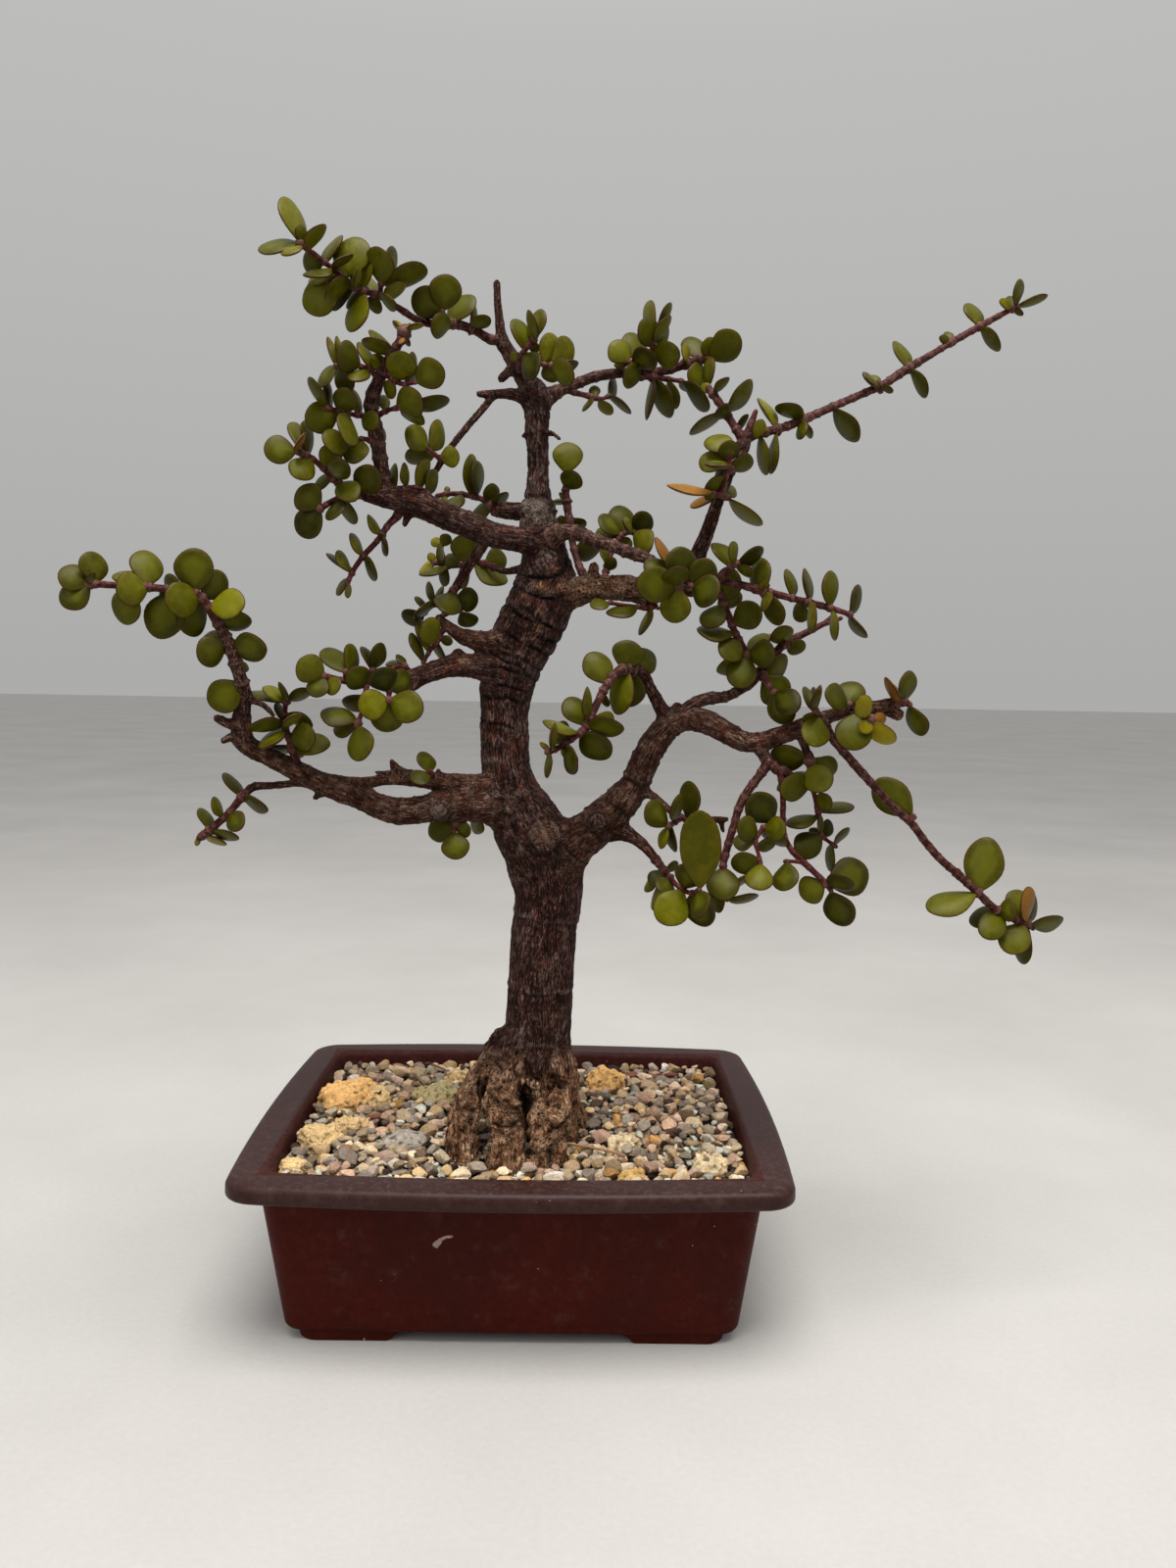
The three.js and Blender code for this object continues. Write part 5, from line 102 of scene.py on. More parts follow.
# leafy branches: stems [x, y, z, radius], leaves [base xyz, tip xyz, upper normal xyz, width, tint]
BRANCHES = {
    "shoot_top_left": {
        "stems": [
            [[-11.68, -16.35, 393.13, 1.76], [-13.92, -17, 392.66, 1.76], [-16.58, -18, 393.47, 1.76], [-19.54, -20, 394.75, 1.75], [-24.7, -23, 396.06, 1.74], [-31.57, -27, 395.9, 1.72], [-37.69, -30, 394.93, 1.52], [-42.21, -33, 395.45, 1.32], [-47.05, -36, 397.75, 1.31], [-51.44, -39, 399.66, 1.12], [-55.76, -42, 401.53, 1.11], [-61.48, -45, 402.27, 1.1], [-66.74, -48, 405.1, 1.09], [-71.2, -51, 408.24, 0.9], [-75.57, -54, 410.97, 0.9], [-81.29, -57, 414.3, 0.89]],
            [[-31.57, -27, 395.9, 1.15], [-32.31, -34, 398.26, 0.75]],
            [[-54.66, -42, 401.2, 0.92], [-53.79, -45, 404.9, 0.73]],
        ],
        "leaves": [
            [-81.29, -57, 414.3, -87.36, -52, 431.81, -0.883, 0.271, -0.384, 14.5, 0],
            [-81.29, -57, 414.3, -97, -54.03, 413.31, -0.156, -0.554, 0.818, 13.59, 0],
            [-81.29, -57, 414.3, -80.12, -57.28, 420.72, -0.953, 0.242, 0.184, 7.36, 0],
            [-80.72, -56.7, 413.97, -85.92, -62.84, 408.45, -0.27, -0.507, 0.818, 8.1, 0],
            [-78.43, -55.5, 412.64, -72.01, -62.1, 419.81, -0.77, -0.059, 0.635, 11.61, 0],
            [-72.84, -52.12, 409.26, -70.24, -43.04, 422.21, -0.721, -0.491, 0.489, 11.61, 0],
            [-67.3, -48.38, 405.49, -62.23, -45.06, 421.62, -0.379, -0.876, 0.299, 14.5, 0],
            [-70.64, -50.62, 407.85, -62.82, -58.93, 410.23, -0.491, -0.221, 0.842, 8.76, 0],
            [-60.85, -44.67, 402.19, -61.5, -43.78, 416.47, -0.713, -0.702, 0.011, 13.12, 0],
            [-53.94, -44.5, 404.28, -53.13, -52.31, 415.79, 0.682, 0.626, 0.377, 13.32, 0],
            [-53.79, -45, 404.9, -49.2, -36.85, 419.45, 0.959, -0.038, -0.281, 12.14, 0],
            [-53.79, -45, 404.9, -37.61, -37.1, 411.69, -0.418, 0.078, 0.905, 14.5, 0],
            [-52.06, -39.43, 399.93, -46.32, -45.9, 405.57, -0.633, 0.107, 0.767, 9.9, 0],
            [-73.39, -52.5, 409.61, -83.15, -46, 411.27, -0.508, -0.826, 0.246, 8.91, 0],
            [-70.64, -50.62, 407.85, -78.75, -59.11, 401.64, -0.147, -0.488, 0.86, 11.4, 0],
            [-68.41, -49.12, 406.28, -81.24, -38.37, 407.91, -0.347, -0.531, 0.773, 11.36, 0],
            [-64.41, -46.67, 403.84, -72.32, -57.76, 397.39, -0.647, 0.019, 0.762, 11.5, 0],
            [-66.74, -48, 405.1, -83.06, -43.92, 395.76, -0.383, -0.879, 0.285, 14.5, 0],
            [-63.24, -46, 403.21, -74.54, -36.84, 399.15, -0.651, -0.592, 0.475, 11.61, 0],
            [-62.65, -45.67, 402.9, -60.51, -58.05, 405.78, -0.962, -0.108, 0.249, 7.71, 0],
            [-60.21, -44.33, 402.11, -65.9, -45.07, 387.23, -0.724, -0.617, 0.308, 14.5, 0],
            [-57.03, -42.67, 401.7, -62.19, -28.93, 412.51, -0.692, 0.268, -0.671, 7.77, 0],
            [-56.4, -42.33, 401.61, -57.28, -37.41, 396.06, -0.692, -0.591, -0.415, 7.76, 0],
            [-55.15, -41.57, 401.27, -47.33, -53.59, 394.28, -0.711, -0.055, -0.701, 7.51, 0],
            [-60.85, -44.67, 402.19, -68.23, -38.62, 398.38, -0.691, -0.539, 0.482, 9.03, 0],
            [-32.31, -34, 398.26, -42.95, -37.63, 403.9, 0.159, -0.939, -0.305, 11.98, 0],
            [-32.16, -32.6, 397.79, -44.53, -21.74, 400.16, -0.176, -0.397, 0.901, 11.61, 0],
            [-32.31, -34, 398.26, -29.2, -38.19, 410.81, 0.664, -0.644, -0.38, 13.19, 0],
            [-30.32, -26.27, 395.93, -21.76, -22.42, 408.23, -0.47, -0.695, 0.544, 13.06, 0],
            [-29.07, -25.55, 395.96, -36.74, -38.92, 392.08, -0.649, 0.156, 0.745, 10.08, 0],
            [-22.12, -21.5, 395.4, -20.92, -13.95, 405.92, -0.992, -0.016, 0.124, 9.39, 0],
            [-22.12, -21.5, 395.4, -15.19, -27.58, 398.93, 0.325, -0.17, -0.93, 9.05, 0],
        ],
    },
    "shoot_left_side": {
        "stems": [
            [[-66.52, -52, 328.75, 1.47], [-69.92, -55, 331.44, 1.27], [-73.83, -57, 335.3, 1.09], [-77.33, -59, 338.07, 1.08], [-80.33, -60, 339.25, 1.26], [-81.88, -61, 339.74, 0.72]],
        ],
        "leaves": [
            [-81.88, -61, 339.74, -93.13, -64.38, 339.61, 0.238, -0.812, 0.534, 11.61, 0],
            [-80.33, -60, 339.25, -85.35, -46.99, 351.7, -0.891, 0.083, -0.446, 11.11, 0],
            [-78.83, -59.5, 338.66, -79.55, -51.7, 351.75, -0.998, 0.01, -0.061, 11.61, 0],
            [-81.88, -61, 339.74, -77.99, -68.44, 344.99, -0.89, -0.166, 0.424, 7.67, 2],
            [-76.75, -58.67, 337.61, -81.66, -66.36, 329.92, 0.047, -0.721, 0.691, 10.03, 0],
            [-69.92, -55, 331.44, -63.3, -67.73, 335.76, -0.368, -0.465, -0.805, 9.11, 0],
            [-69.92, -55, 331.44, -77.81, -49.16, 330.05, -0.538, -0.581, 0.611, 7.49, 0],
            [-68.46, -53.71, 330.29, -60.47, -62.43, 322.99, 0.138, -0.558, 0.818, 9.63, 0],
            [-73.34, -56.75, 334.82, -70.91, -50.52, 342.27, -0.967, 0.216, 0.134, 7.94, 0],
        ],
    },
    "shoot_left_low": {
        "stems": [
            [[-61.4, -50, 326.62, 1.29], [-66.5, -54, 324.86, 1.1], [-70.47, -56, 322.71, 1.09], [-74.04, -58, 319.87, 1.09]],
        ],
        "leaves": [
            [-74.04, -58, 319.87, -81.36, -61.81, 326.6, -0.609, 0.758, -0.233, 11.61, 0],
            [-74.04, -58, 319.87, -82.92, -56.16, 310.45, -0.398, -0.895, 0.2, 11.61, 0],
            [-67.63, -54.57, 324.24, -68.93, -62, 315.12, -0.616, -0.565, 0.548, 9.4, 0],
            [-66.5, -54, 324.86, -64.22, -46.89, 316.03, -0.746, -0.411, -0.524, 11.35, 0],
            [-61.4, -50, 326.62, -54.09, -57.92, 335.62, -0.612, -0.77, -0.181, 11.61, 0],
        ],
    },
    "shoot_left_droop": {
        "stems": [
            [[-46.73, -43.84, 323.9, 1.69], [-47.36, -43, 320.92, 1.69], [-51.31, -44, 315.93, 1.31], [-55.26, -45, 309.85, 1.12], [-59.93, -46, 304.5, 1.12], [-64.23, -47, 298.07, 0.93], [-66.66, -48, 292.05, 0.75]],
        ],
        "leaves": [
            [-53.68, -44.6, 312.28, -58.8, -48.14, 318.93, -0.823, 0.178, -0.539, 10.02, 0],
            [-53.68, -44.6, 312.28, -50.51, -49, 304.37, -0.932, -0.297, -0.208, 8.62, 0],
            [-60.32, -46.09, 303.92, -65.14, -49.88, 311.68, -0.871, 0.149, -0.468, 10.85, 0],
            [-60.32, -46.09, 303.92, -54.55, -51.34, 295.31, -0.865, -0.331, -0.378, 10.43, 0],
            [-64.5, -47.11, 297.4, -69.37, -50.94, 305.3, -0.871, 0.129, -0.474, 10.99, 0],
            [-64.5, -47.11, 297.4, -75.12, -35.7, 305.25, -0.57, 0.034, -0.821, 11.61, 0],
            [-65.58, -47.56, 294.72, -71.6, -42.01, 290.15, 0.764, 0.44, -0.472, 7.43, 0],
            [-66.12, -47.78, 293.39, -64.7, -52.43, 287.74, -0.833, -0.511, 0.211, 4.23, 0],
        ],
    },
    "shoot_left_upper_row": {
        "stems": [
            [[-36.16, -40, 327.45, 1.13], [-38.92, -42, 330.05, 0.94], [-44.24, -44, 330.38, 0.75], [-48.19, -45, 329.79, 0.74]],
        ],
        "leaves": [
            [-48.19, -45, 329.79, -50.82, -40.15, 338.97, -0.899, -0.436, -0.027, 9.42, 0],
            [-44.24, -44, 330.38, -44.51, -47.43, 338.92, -0.994, 0.106, 0.011, 10.06, 0],
            [-40.91, -42.75, 330.17, -36.9, -37.55, 341.52, -0.952, 0.143, 0.271, 11.61, 0],
            [-37.54, -41, 328.75, -33.68, -35.94, 337.77, -0.936, 0.203, 0.287, 10.13, 0],
        ],
    },
    "shoot_back_left": {
        "stems": [
            [[-12.84, -1, 328.34, 1.84], [-18.76, 1, 332.54, 1.23], [-26.35, 3, 334.72, 1.24], [-33.45, 4, 335.15, 1.03], [-38.51, 5, 334.39, 1.03]],
        ],
        "leaves": [
            [-23.59, 2.27, 333.93, -24.17, 0.41, 351.23, -0.965, 0.264, -0.004, 14.5, 0],
            [-21.52, 1.73, 333.34, -20.78, -0.88, 348.26, -0.979, 0.188, 0.081, 14.18, 0],
            [-16.39, 0.2, 330.86, -14.52, -3, 338.74, -0.808, 0.453, 0.376, 9.32, 0],
            [-15.21, -0.2, 330.02, -8.33, -2.45, 335.44, -0.57, 0.187, 0.8, 9.57, 0],
            [-34.9, 4.29, 334.93, -36.41, 1.32, 329.45, -0.62, -0.606, 0.499, 4.24, 0],
            [-34.17, 4.14, 335.04, -34.45, 5.44, 338.59, -0.657, 0.69, -0.304, 2.65, 0],
            [-27.77, 3.2, 334.81, -32.88, -8.25, 327, -0.321, -0.432, 0.843, 9.65, 0],
            [-14.62, -0.4, 329.6, -25.08, 7.18, 325.49, -0.61, -0.517, 0.6, 11.61, 0],
        ],
    },
    "shoot_back_yellow": {
        "stems": [
            [[-14.06, 2, 304.74, 1.45], [-18.45, 5, 306.57, 1.25], [-22.78, 7, 307.51, 1.04], [-28.91, 10, 306.02, 1.05], [-34.69, 13, 305.77, 0.84], [-39.57, 15, 307.12, 0.85], [-41.39, 16, 307.6, 0.85]],
            [[-34.69, 13, 305.77, 0.84], [-37.16, 16, 311.03, 0.85], [-38.15, 17, 315.3, 0.64]],
        ],
        "leaves": [
            [-40.18, 15.33, 307.28, -48.21, 22.68, 304.7, -0.597, -0.409, 0.691, 8.3, 1],
            [-40.78, 15.67, 307.44, -43.07, 15.79, 311.74, -0.594, 0.73, -0.337, 3.82, 1],
            [-26.86, 9, 306.52, -27.35, 7.69, 319.01, -0.095, 0.99, 0.1, 11.73, 0],
            [-34.04, 12.67, 305.8, -46.23, 7.99, 300.99, -0.258, -0.278, 0.925, 12.22, 0],
            [-35.38, 13.29, 305.97, -37.15, 16.48, 297.63, -0.872, -0.49, -0.003, 9.41, 0],
            [-18.45, 5, 306.57, -9.47, 12.56, 309.79, -0.625, 0.776, -0.079, 10.69, 0],
            [-22.78, 7, 307.51, -9.31, 6.62, 297.8, -0.5, 0.493, -0.713, 14.5, 0],
            [-24.82, 8, 307.01, -29.27, 14.33, 296.77, -0.906, -0.396, 0.149, 11.61, 0],
            [-36.78, 13.86, 306.35, -38.68, 7.2, 314.24, -0.983, 0.145, -0.114, 9.84, 1],
            [-28.91, 10, 306.02, -35.17, 9.55, 310.01, -0.439, 0.655, -0.615, 8.14, 0],
            [-37.98, 16.83, 314.59, -43.04, 22.11, 318.3, -0.532, -0.765, 0.362, 4.67, 1],
            [-37.98, 16.83, 314.59, -34.35, 13.11, 319.52, 0.161, 0.841, 0.516, 5.52, 0],
        ],
    },
    "shoot_back_low": {
        "stems": [
            [[-27.16, -19, 295.61, 1.59], [-29.13, -19, 293.22, 1.39], [-32.96, -20, 289.55, 0.99], [-36.79, -21, 287.08, 0.79], [-40.2, -22, 283.83, 0.79]],
            [[-29.13, -19, 293.22, 1.19], [-27.62, -18, 288.19, 1], [-26.1, -17, 285.11, 0.8]],
        ],
        "leaves": [
            [-28.91, -18.86, 292.5, -31.03, -32.74, 283.34, -0.394, 0.547, -0.739, 11.52, 0],
            [-28.26, -18.43, 290.35, -19.23, -13.95, 289.78, 0.323, -0.728, -0.605, 10.18, 0],
            [-26.1, -17, 285.11, -21.55, -11.48, 279.02, -0.25, -0.617, -0.746, 8.76, 0],
            [-27.01, -17.6, 286.96, -34.64, -12.09, 284.42, 0.534, 0.396, -0.747, 8.08, 0],
            [-36.15, -20.83, 287.49, -39.68, -20.34, 296.47, -0.891, -0.308, -0.333, 10.46, 0],
            [-34.88, -20.5, 288.31, -34.6, -12.94, 295.13, -0.882, -0.297, 0.365, 6.93, 0],
            [-39.64, -21.83, 284.37, -43.5, -15.25, 290.85, -0.781, 0.141, -0.608, 7.38, 0],
            [-36.15, -20.83, 287.49, -41.97, -35.03, 282.77, -0.66, 0.021, 0.751, 9.39, 0],
            [-40.2, -22, 283.83, -49.32, -16.95, 280.93, -0.032, -0.541, -0.84, 9.58, 0],
        ],
    },
    "shoot_mid_twig": {
        "stems": [
            [[-30.66, -29.11, 278.35, 1.17], [-31.49, -29, 277.45, 1.17], [-34.85, -30, 271.55, 0.97], [-37.43, -31, 267.62, 0.78], [-39.23, -32, 264.1, 0.78]],
        ],
        "leaves": [
            [-39.23, -32, 264.1, -44.49, -27.86, 275.72, -0.892, 0.104, -0.441, 11.61, 0],
            [-37.43, -31, 267.62, -42.75, -23.56, 282.15, -0.925, 0.067, -0.373, 13.56, 0],
            [-34.85, -30, 271.55, -36.73, -40.85, 280.64, -0.903, 0.357, 0.239, 10.98, 0],
            [-34.1, -29.78, 272.86, -33.17, -20.53, 264.31, -0.859, -0.298, -0.416, 9.58, 0],
            [-33.35, -29.56, 274.17, -27.91, -29.39, 272.07, -0.218, -0.749, -0.625, 4.56, 0],
        ],
    },
    "shoot_mid_left_tip": {
        "stems": [
            [[-61.49, -46, 255.72, 1.32], [-66.92, -49, 256.4, 1.31], [-70.62, -51, 257.46, 1.12], [-73.91, -53, 258.16, 0.93]],
            [[-66.92, -49, 256.4, 0.94], [-66.35, -50, 260.14, 0.75]],
        ],
        "leaves": [
            [-73.91, -53, 258.16, -82.61, -59.33, 263.39, -0.67, 0.687, -0.283, 11.61, 0],
            [-73.91, -53, 258.16, -77.15, -57.71, 250.41, -0.335, -0.736, 0.588, 9.56, 0],
            [-72.6, -52.2, 257.88, -68.54, -57.01, 251.6, -0.678, -0.726, 0.118, 7.69, 0],
            [-66.46, -49.8, 259.39, -75.47, -38.5, 268.7, 0.436, -0.34, 0.834, 11.61, 0],
            [-66.35, -50, 260.14, -64.28, -42.62, 269.9, 0.972, -0.234, -0.029, 10.98, 0],
        ],
    },
    "shoot_mid_left_mid": {
        "stems": [
            [[-58.65, -45, 256.89, 1.13], [-59.07, -49, 253.17, 0.94], [-59.09, -51, 247.98, 0.93], [-60.22, -53, 243.55, 0.93], [-61.16, -54, 240.22, 1.12]],
            [[-58.65, -45, 256.89, 1.13], [-56.79, -47, 261.05, 0.75]],
        ],
        "leaves": [
            [-58.95, -47.86, 254.23, -64.24, -54.28, 260.86, 0.504, -0.786, -0.359, 10.32, 0],
            [-57.06, -46.71, 260.45, -60.13, -38.73, 269.77, 0.905, -0.125, 0.405, 10.1, 0],
            [-56.79, -47, 261.05, -53.33, -45.24, 271.24, 0.923, -0.278, -0.266, 11.61, 0],
            [-59.08, -49.86, 250.94, -67.96, -41.17, 245.57, 0.067, -0.474, -0.878, 9.4, 0],
            [-60.97, -53.8, 240.89, -75.11, -52.88, 245.53, -0.269, 0.363, -0.892, 13.38, 0],
            [-60.97, -53.8, 240.89, -71.78, -43.15, 237.37, 0.65, 0.459, -0.606, 9.78, 0],
            [-61.16, -54, 240.22, -58.58, -58.07, 226.4, -0.677, -0.73, 0.089, 12.87, 0],
        ],
    },
    "shoot_leftmost": {
        "stems": [
            [[-105.75, -48, 250.14, 2.63], [-105.89, -50, 254.64, 2.43], [-107.11, -52, 260.56, 2.41], [-108.68, -54, 267.15, 2.22], [-110.95, -56, 273.64, 2.2], [-113.56, -58, 279.33, 1.83], [-116.5, -60, 284.94, 1.63], [-119.43, -62, 287.99, 1.44], [-123.79, -64, 288.85, 1.44], [-128.47, -66, 288.98, 1.43], [-134.5, -69, 289.37, 1.42], [-140.43, -72, 289.74, 1.23], [-145.97, -74, 289.5, 1.23], [-150.4, -76, 289.62, 1.22], [-152.43, -77, 289.17, 0.87]],
        ],
        "leaves": [
            [-151.75, -76.67, 289.32, -161.72, -79.32, 293.67, -0.445, 0.631, -0.635, 11.61, 0],
            [-150.4, -76, 289.62, -151.8, -74.92, 301.21, -0.916, 0.374, -0.145, 11.61, 0],
            [-151.75, -76.67, 289.32, -161.28, -79.33, 281.98, -0.167, -0.837, 0.52, 11.61, 0],
            [-152.43, -77, 289.17, -147.62, -84.35, 293.11, 0.68, 0.053, -0.731, 3.76, 0],
            [-135.16, -69.33, 289.41, -137.07, -61.4, 303.4, -0.861, 0.383, -0.335, 12.11, 0],
            [-133.83, -68.67, 289.32, -141.48, -79.31, 287.18, -0.808, 0.588, -0.036, 12.43, 0],
            [-139.11, -71.33, 289.66, -144.21, -67.94, 275.87, -0.531, -0.848, -0.012, 13, 0],
            [-137.8, -70.67, 289.58, -146.84, -63.47, 295.78, 0.315, -0.361, 0.878, 9.31, 0],
            [-119.43, -62, 287.99, -118.65, -63.7, 304.2, 0.303, -0.946, -0.114, 14.5, 0],
            [-117.97, -61, 286.46, -125.72, -73.95, 283.56, 0.845, -0.526, 0.092, 13.76, 0],
            [-117.48, -60.67, 285.96, -110.58, -52.88, 295.54, -0.862, 0.427, 0.273, 11.61, 0],
            [-115.52, -59.33, 283.07, -100.61, -63.27, 284.09, -0.237, -0.732, 0.638, 12.53, 0],
            [-112.69, -57.33, 277.43, -101.11, -53.05, 278.6, -0.253, 0.449, 0.857, 11.61, 0],
            [-125.13, -64.57, 288.88, -132.52, -65.88, 271.04, -0.299, -0.935, 0.193, 14.5, 0],
            [-121.61, -63, 288.42, -120.77, -56.61, 272.28, -0.959, 0.279, 0.06, 14.5, 0],
            [-123.06, -63.67, 288.7, -133.13, -55.88, 292.41, -0.639, -0.593, -0.49, 8.76, 0],
            [-126.46, -65.14, 288.92, -131.77, -64.86, 285.81, -0.333, -0.802, 0.496, 4.66, 0],
            [-109.82, -55, 270.39, -119, -62.31, 263.57, -0.736, 0.521, 0.433, 11.96, 0],
            [-110.5, -55.6, 272.34, -123.34, -48.52, 268.12, -0.523, -0.573, 0.631, 11.61, 0],
            [-108.68, -54, 267.15, -94.77, -55.31, 269.28, -0.046, 0.689, 0.724, 12.4, 0],
            [-107.58, -52.6, 262.54, -105.06, -44.73, 259.88, -0.825, 0.399, 0.401, 4.45, 0],
            [-106.03, -50.22, 255.3, -116.98, -53.87, 246.13, -0.104, -0.875, 0.472, 13.6, 0],
        ],
    },
    "shoot_low_left_cluster": {
        "stems": [
            [[-87.47, -42, 224.75, 1.53], [-88.73, -43, 229.77, 1.34], [-89.97, -44, 235.15, 1.14], [-91.2, -45, 239.73, 0.95], [-90.54, -46, 245.07, 0.94], [-89.9, -47, 248.5, 0.94]],
        ],
        "leaves": [
            [-90.02, -46.8, 247.81, -98.3, -49.14, 253.64, 0.597, -0.15, 0.788, 11.58, 0],
            [-90.02, -46.8, 247.81, -106.73, -36.2, 252.59, 0.207, -0.113, 0.972, 13.38, 0],
            [-89.9, -47, 248.5, -80.55, -44.98, 252.76, -0.447, 0.269, 0.853, 11.43, 0],
            [-90.02, -46.8, 247.81, -89.52, -54.36, 255.32, 0.85, 0.398, 0.344, 8.17, 0],
            [-91, -44.83, 238.97, -94.96, -38.89, 247.08, 0.884, -0.045, 0.465, 9.37, 0],
            [-90.73, -45.71, 243.55, -80.2, -43.47, 239.09, 0.257, 0.472, 0.843, 11.61, 0],
            [-91, -44.83, 238.97, -103.22, -53.51, 238.03, -0.245, 0.243, 0.939, 13.28, 0],
            [-90.79, -44.67, 238.2, -83.13, -58.26, 243.73, -0.58, 0.005, 0.815, 7.13, 0],
            [-89.66, -43.75, 233.8, -77.08, -55.32, 236.39, 0.437, 0.621, 0.651, 10.95, 0],
            [-90.59, -44.5, 237.44, -97.46, -54.52, 229.99, -0.451, -0.313, 0.836, 11.61, 0],
            [-89.04, -43.25, 231.12, -99.74, -31.34, 227.29, -0.105, 0.218, 0.97, 8.75, 0],
            [-88.55, -42.86, 229.05, -74.01, -42.33, 232.26, -0.177, -0.452, 0.875, 13.52, 0],
            [-88.73, -43, 229.77, -86.44, -33.2, 226.06, -0.815, 0.362, 0.453, 4.58, 0],
            [-89.97, -44, 235.15, -103.73, -32.25, 233.54, -0.311, -0.238, 0.92, 11.47, 0],
        ],
    },
    "shoot_low_left_twig": {
        "stems": [
            [[-106.23, -45, 212.44, 1.52], [-108.92, -45, 209.34, 1.52], [-112.87, -46, 204.4, 1.33], [-117.55, -47, 199.85, 1.52], [-123.37, -48, 194.92, 1.33]],
        ],
        "leaves": [
            [-107.84, -45, 210.58, -115.35, -39.56, 219.49, -0.771, -0.02, -0.637, 11.61, 0],
            [-107.84, -45, 210.58, -96.91, -50.3, 206.68, -0.49, -0.469, -0.735, 11.47, 0],
            [-114.43, -46.33, 202.89, -118.51, -49.61, 210.44, -0.884, 0.027, -0.466, 9.58, 0],
            [-112.43, -45.89, 204.95, -105.43, -52.68, 199.48, -0.645, -0.756, 0.113, 8.86, 0],
            [-119.88, -47.4, 197.88, -123.83, -42.45, 206.13, -0.88, 0.079, -0.469, 9.85, 0],
            [-119.88, -47.4, 197.88, -108.94, -45.51, 194.02, -0.23, -0.44, -0.868, 11.61, 0],
            [-121.63, -47.7, 196.4, -115.52, -41.41, 191.4, -0.311, -0.388, -0.868, 9.73, 1],
            [-122.79, -47.9, 195.41, -126.22, -45.17, 191.78, -0.748, -0.619, 0.241, 3.12, 1],
        ],
    },
    "shoot_near_trunk_left": {
        "stems": [
            [[-36.59, -26.4, 217.28, 1.19], [-36.03, -28, 218.58, 1.19], [-36.72, -32, 220.49, 0.98]],
        ],
        "leaves": [
            [-36.61, -31.33, 220.17, -39.81, -26.53, 228.32, 0.741, -0.41, 0.532, 9.54, 0],
            [-36.61, -31.33, 220.17, -42.96, -37.69, 216.98, 0.042, -0.481, 0.875, 8.74, 0],
        ],
    },
    "shoot_under_branch": {
        "stems": [
            [[-25.06, -22, 202.11, 1.41], [-26.85, -24, 199.1, 1], [-27.62, -24, 195.87, 0.8]],
            [[-25.06, -22, 202.11, 1.2], [-20.24, -22, 201.38, 1], [-17.12, -21, 201.71, 0.8]],
        ],
        "leaves": [
            [-26.85, -24, 199.1, -38.5, -19.22, 194.08, 0.509, 0.651, -0.562, 11.61, 0],
            [-27.62, -24, 195.87, -25.39, -29.14, 185.06, 0.496, 0.819, -0.287, 11.61, 0],
            [-27.04, -24, 198.3, -20.48, -24.9, 195.09, -0.356, -0.784, -0.508, 7.84, 0],
            [-17.12, -21, 201.71, -19.84, -7.21, 193.32, 0.888, 0.354, 0.293, 7.13, 0],
            [-26.49, -23.6, 199.71, -23.92, -8.42, 200.5, -0.817, 0.167, -0.552, 4.8, 0],
        ],
    },
    "shoot_behind_trunk": {
        "stems": [
            [[24.35, -21, 299.08, 1.78], [22.32, -16, 303.39, 1.6], [19.79, -10, 311.04, 1.41], [18.45, -7, 318.12, 1.62], [17.1, -5, 326.33, 1.63], [16.18, -4, 332.45, 1.63], [15.69, -3, 337.38, 1.42]],
            [[15.71, -3, 336.18, 1.02], [16.06, -2.5, 339.86, 0.81], [16, -2, 343.14, 0.61]],
        ],
        "leaves": [
            [16.3, -4.12, 331.68, 12.93, -6.02, 334.88, 0.733, -0.464, 0.497, 3.82, 0],
            [16.3, -4.12, 331.68, 10.23, 7.74, 333.21, -0.109, -0.182, 0.977, 4.49, 0],
            [17.55, -5.67, 323.6, 11.8, -1.29, 322.7, 0.563, 0.789, 0.245, 5.68, 0],
            [17.32, -5.33, 324.96, 23.3, 1.15, 321.18, 0.238, 0.316, 0.918, 8.13, 0],
            [18.45, -7, 318.12, 25.37, -1.81, 318.84, -0.379, 0.389, 0.84, 7.41, 0],
            [19.66, -9.73, 311.69, 30.98, -3.38, 312.87, -0.393, 0.566, 0.725, 11.61, 0],
            [16, -2, 343.14, 16.5, 3.74, 357.59, 0.033, -0.929, 0.368, 12.63, 0],
            [15.78, -2.9, 336.92, 20.01, -8.93, 343.45, 0.241, 0.786, 0.569, 10.02, 0],
        ],
    },
    "shoot_behind_right": {
        "stems": [
            [[31.65, -22.22, 296.57, 1.39], [32.3, -19, 299.38, 1.39], [33.52, -13, 305.83, 1.2], [36.32, -9, 313.03, 1.01], [39.93, -7, 318.5, 1.01], [44.02, -6, 319.49, 0.81]],
        ],
        "leaves": [
            [39.53, -7.22, 317.89, 29.75, -8.06, 325.65, 0.535, -0.583, 0.611, 11.61, 0],
            [40.62, -6.83, 318.66, 38.14, -2.4, 331.18, 0.571, -0.732, 0.372, 11.61, 0],
            [44.02, -6, 319.49, 50.73, -7.54, 326.93, 0.484, -0.661, -0.573, 11.12, 0],
            [44.02, -6, 319.49, 39.08, -16.64, 322.84, 0.872, -0.278, 0.404, 7.11, 0],
            [39.13, -7.44, 317.28, 29.45, 0.66, 320.94, -0.111, -0.516, 0.849, 10.94, 0],
            [44.02, -6, 319.49, 51.61, -15.36, 310.79, 0.845, 0.492, 0.208, 11.61, 0],
            [33.32, -14, 304.75, 32.33, -7.58, 312.31, 0.778, -0.425, 0.463, 7.6, 0],
            [32.91, -16, 302.6, 36.08, -20.36, 307.54, 0.294, 0.802, 0.519, 5.59, 0],
            [38.33, -7.89, 316.07, 43.81, -3.82, 314.51, -0.18, 0.554, 0.813, 4.4, 0],
        ],
    },
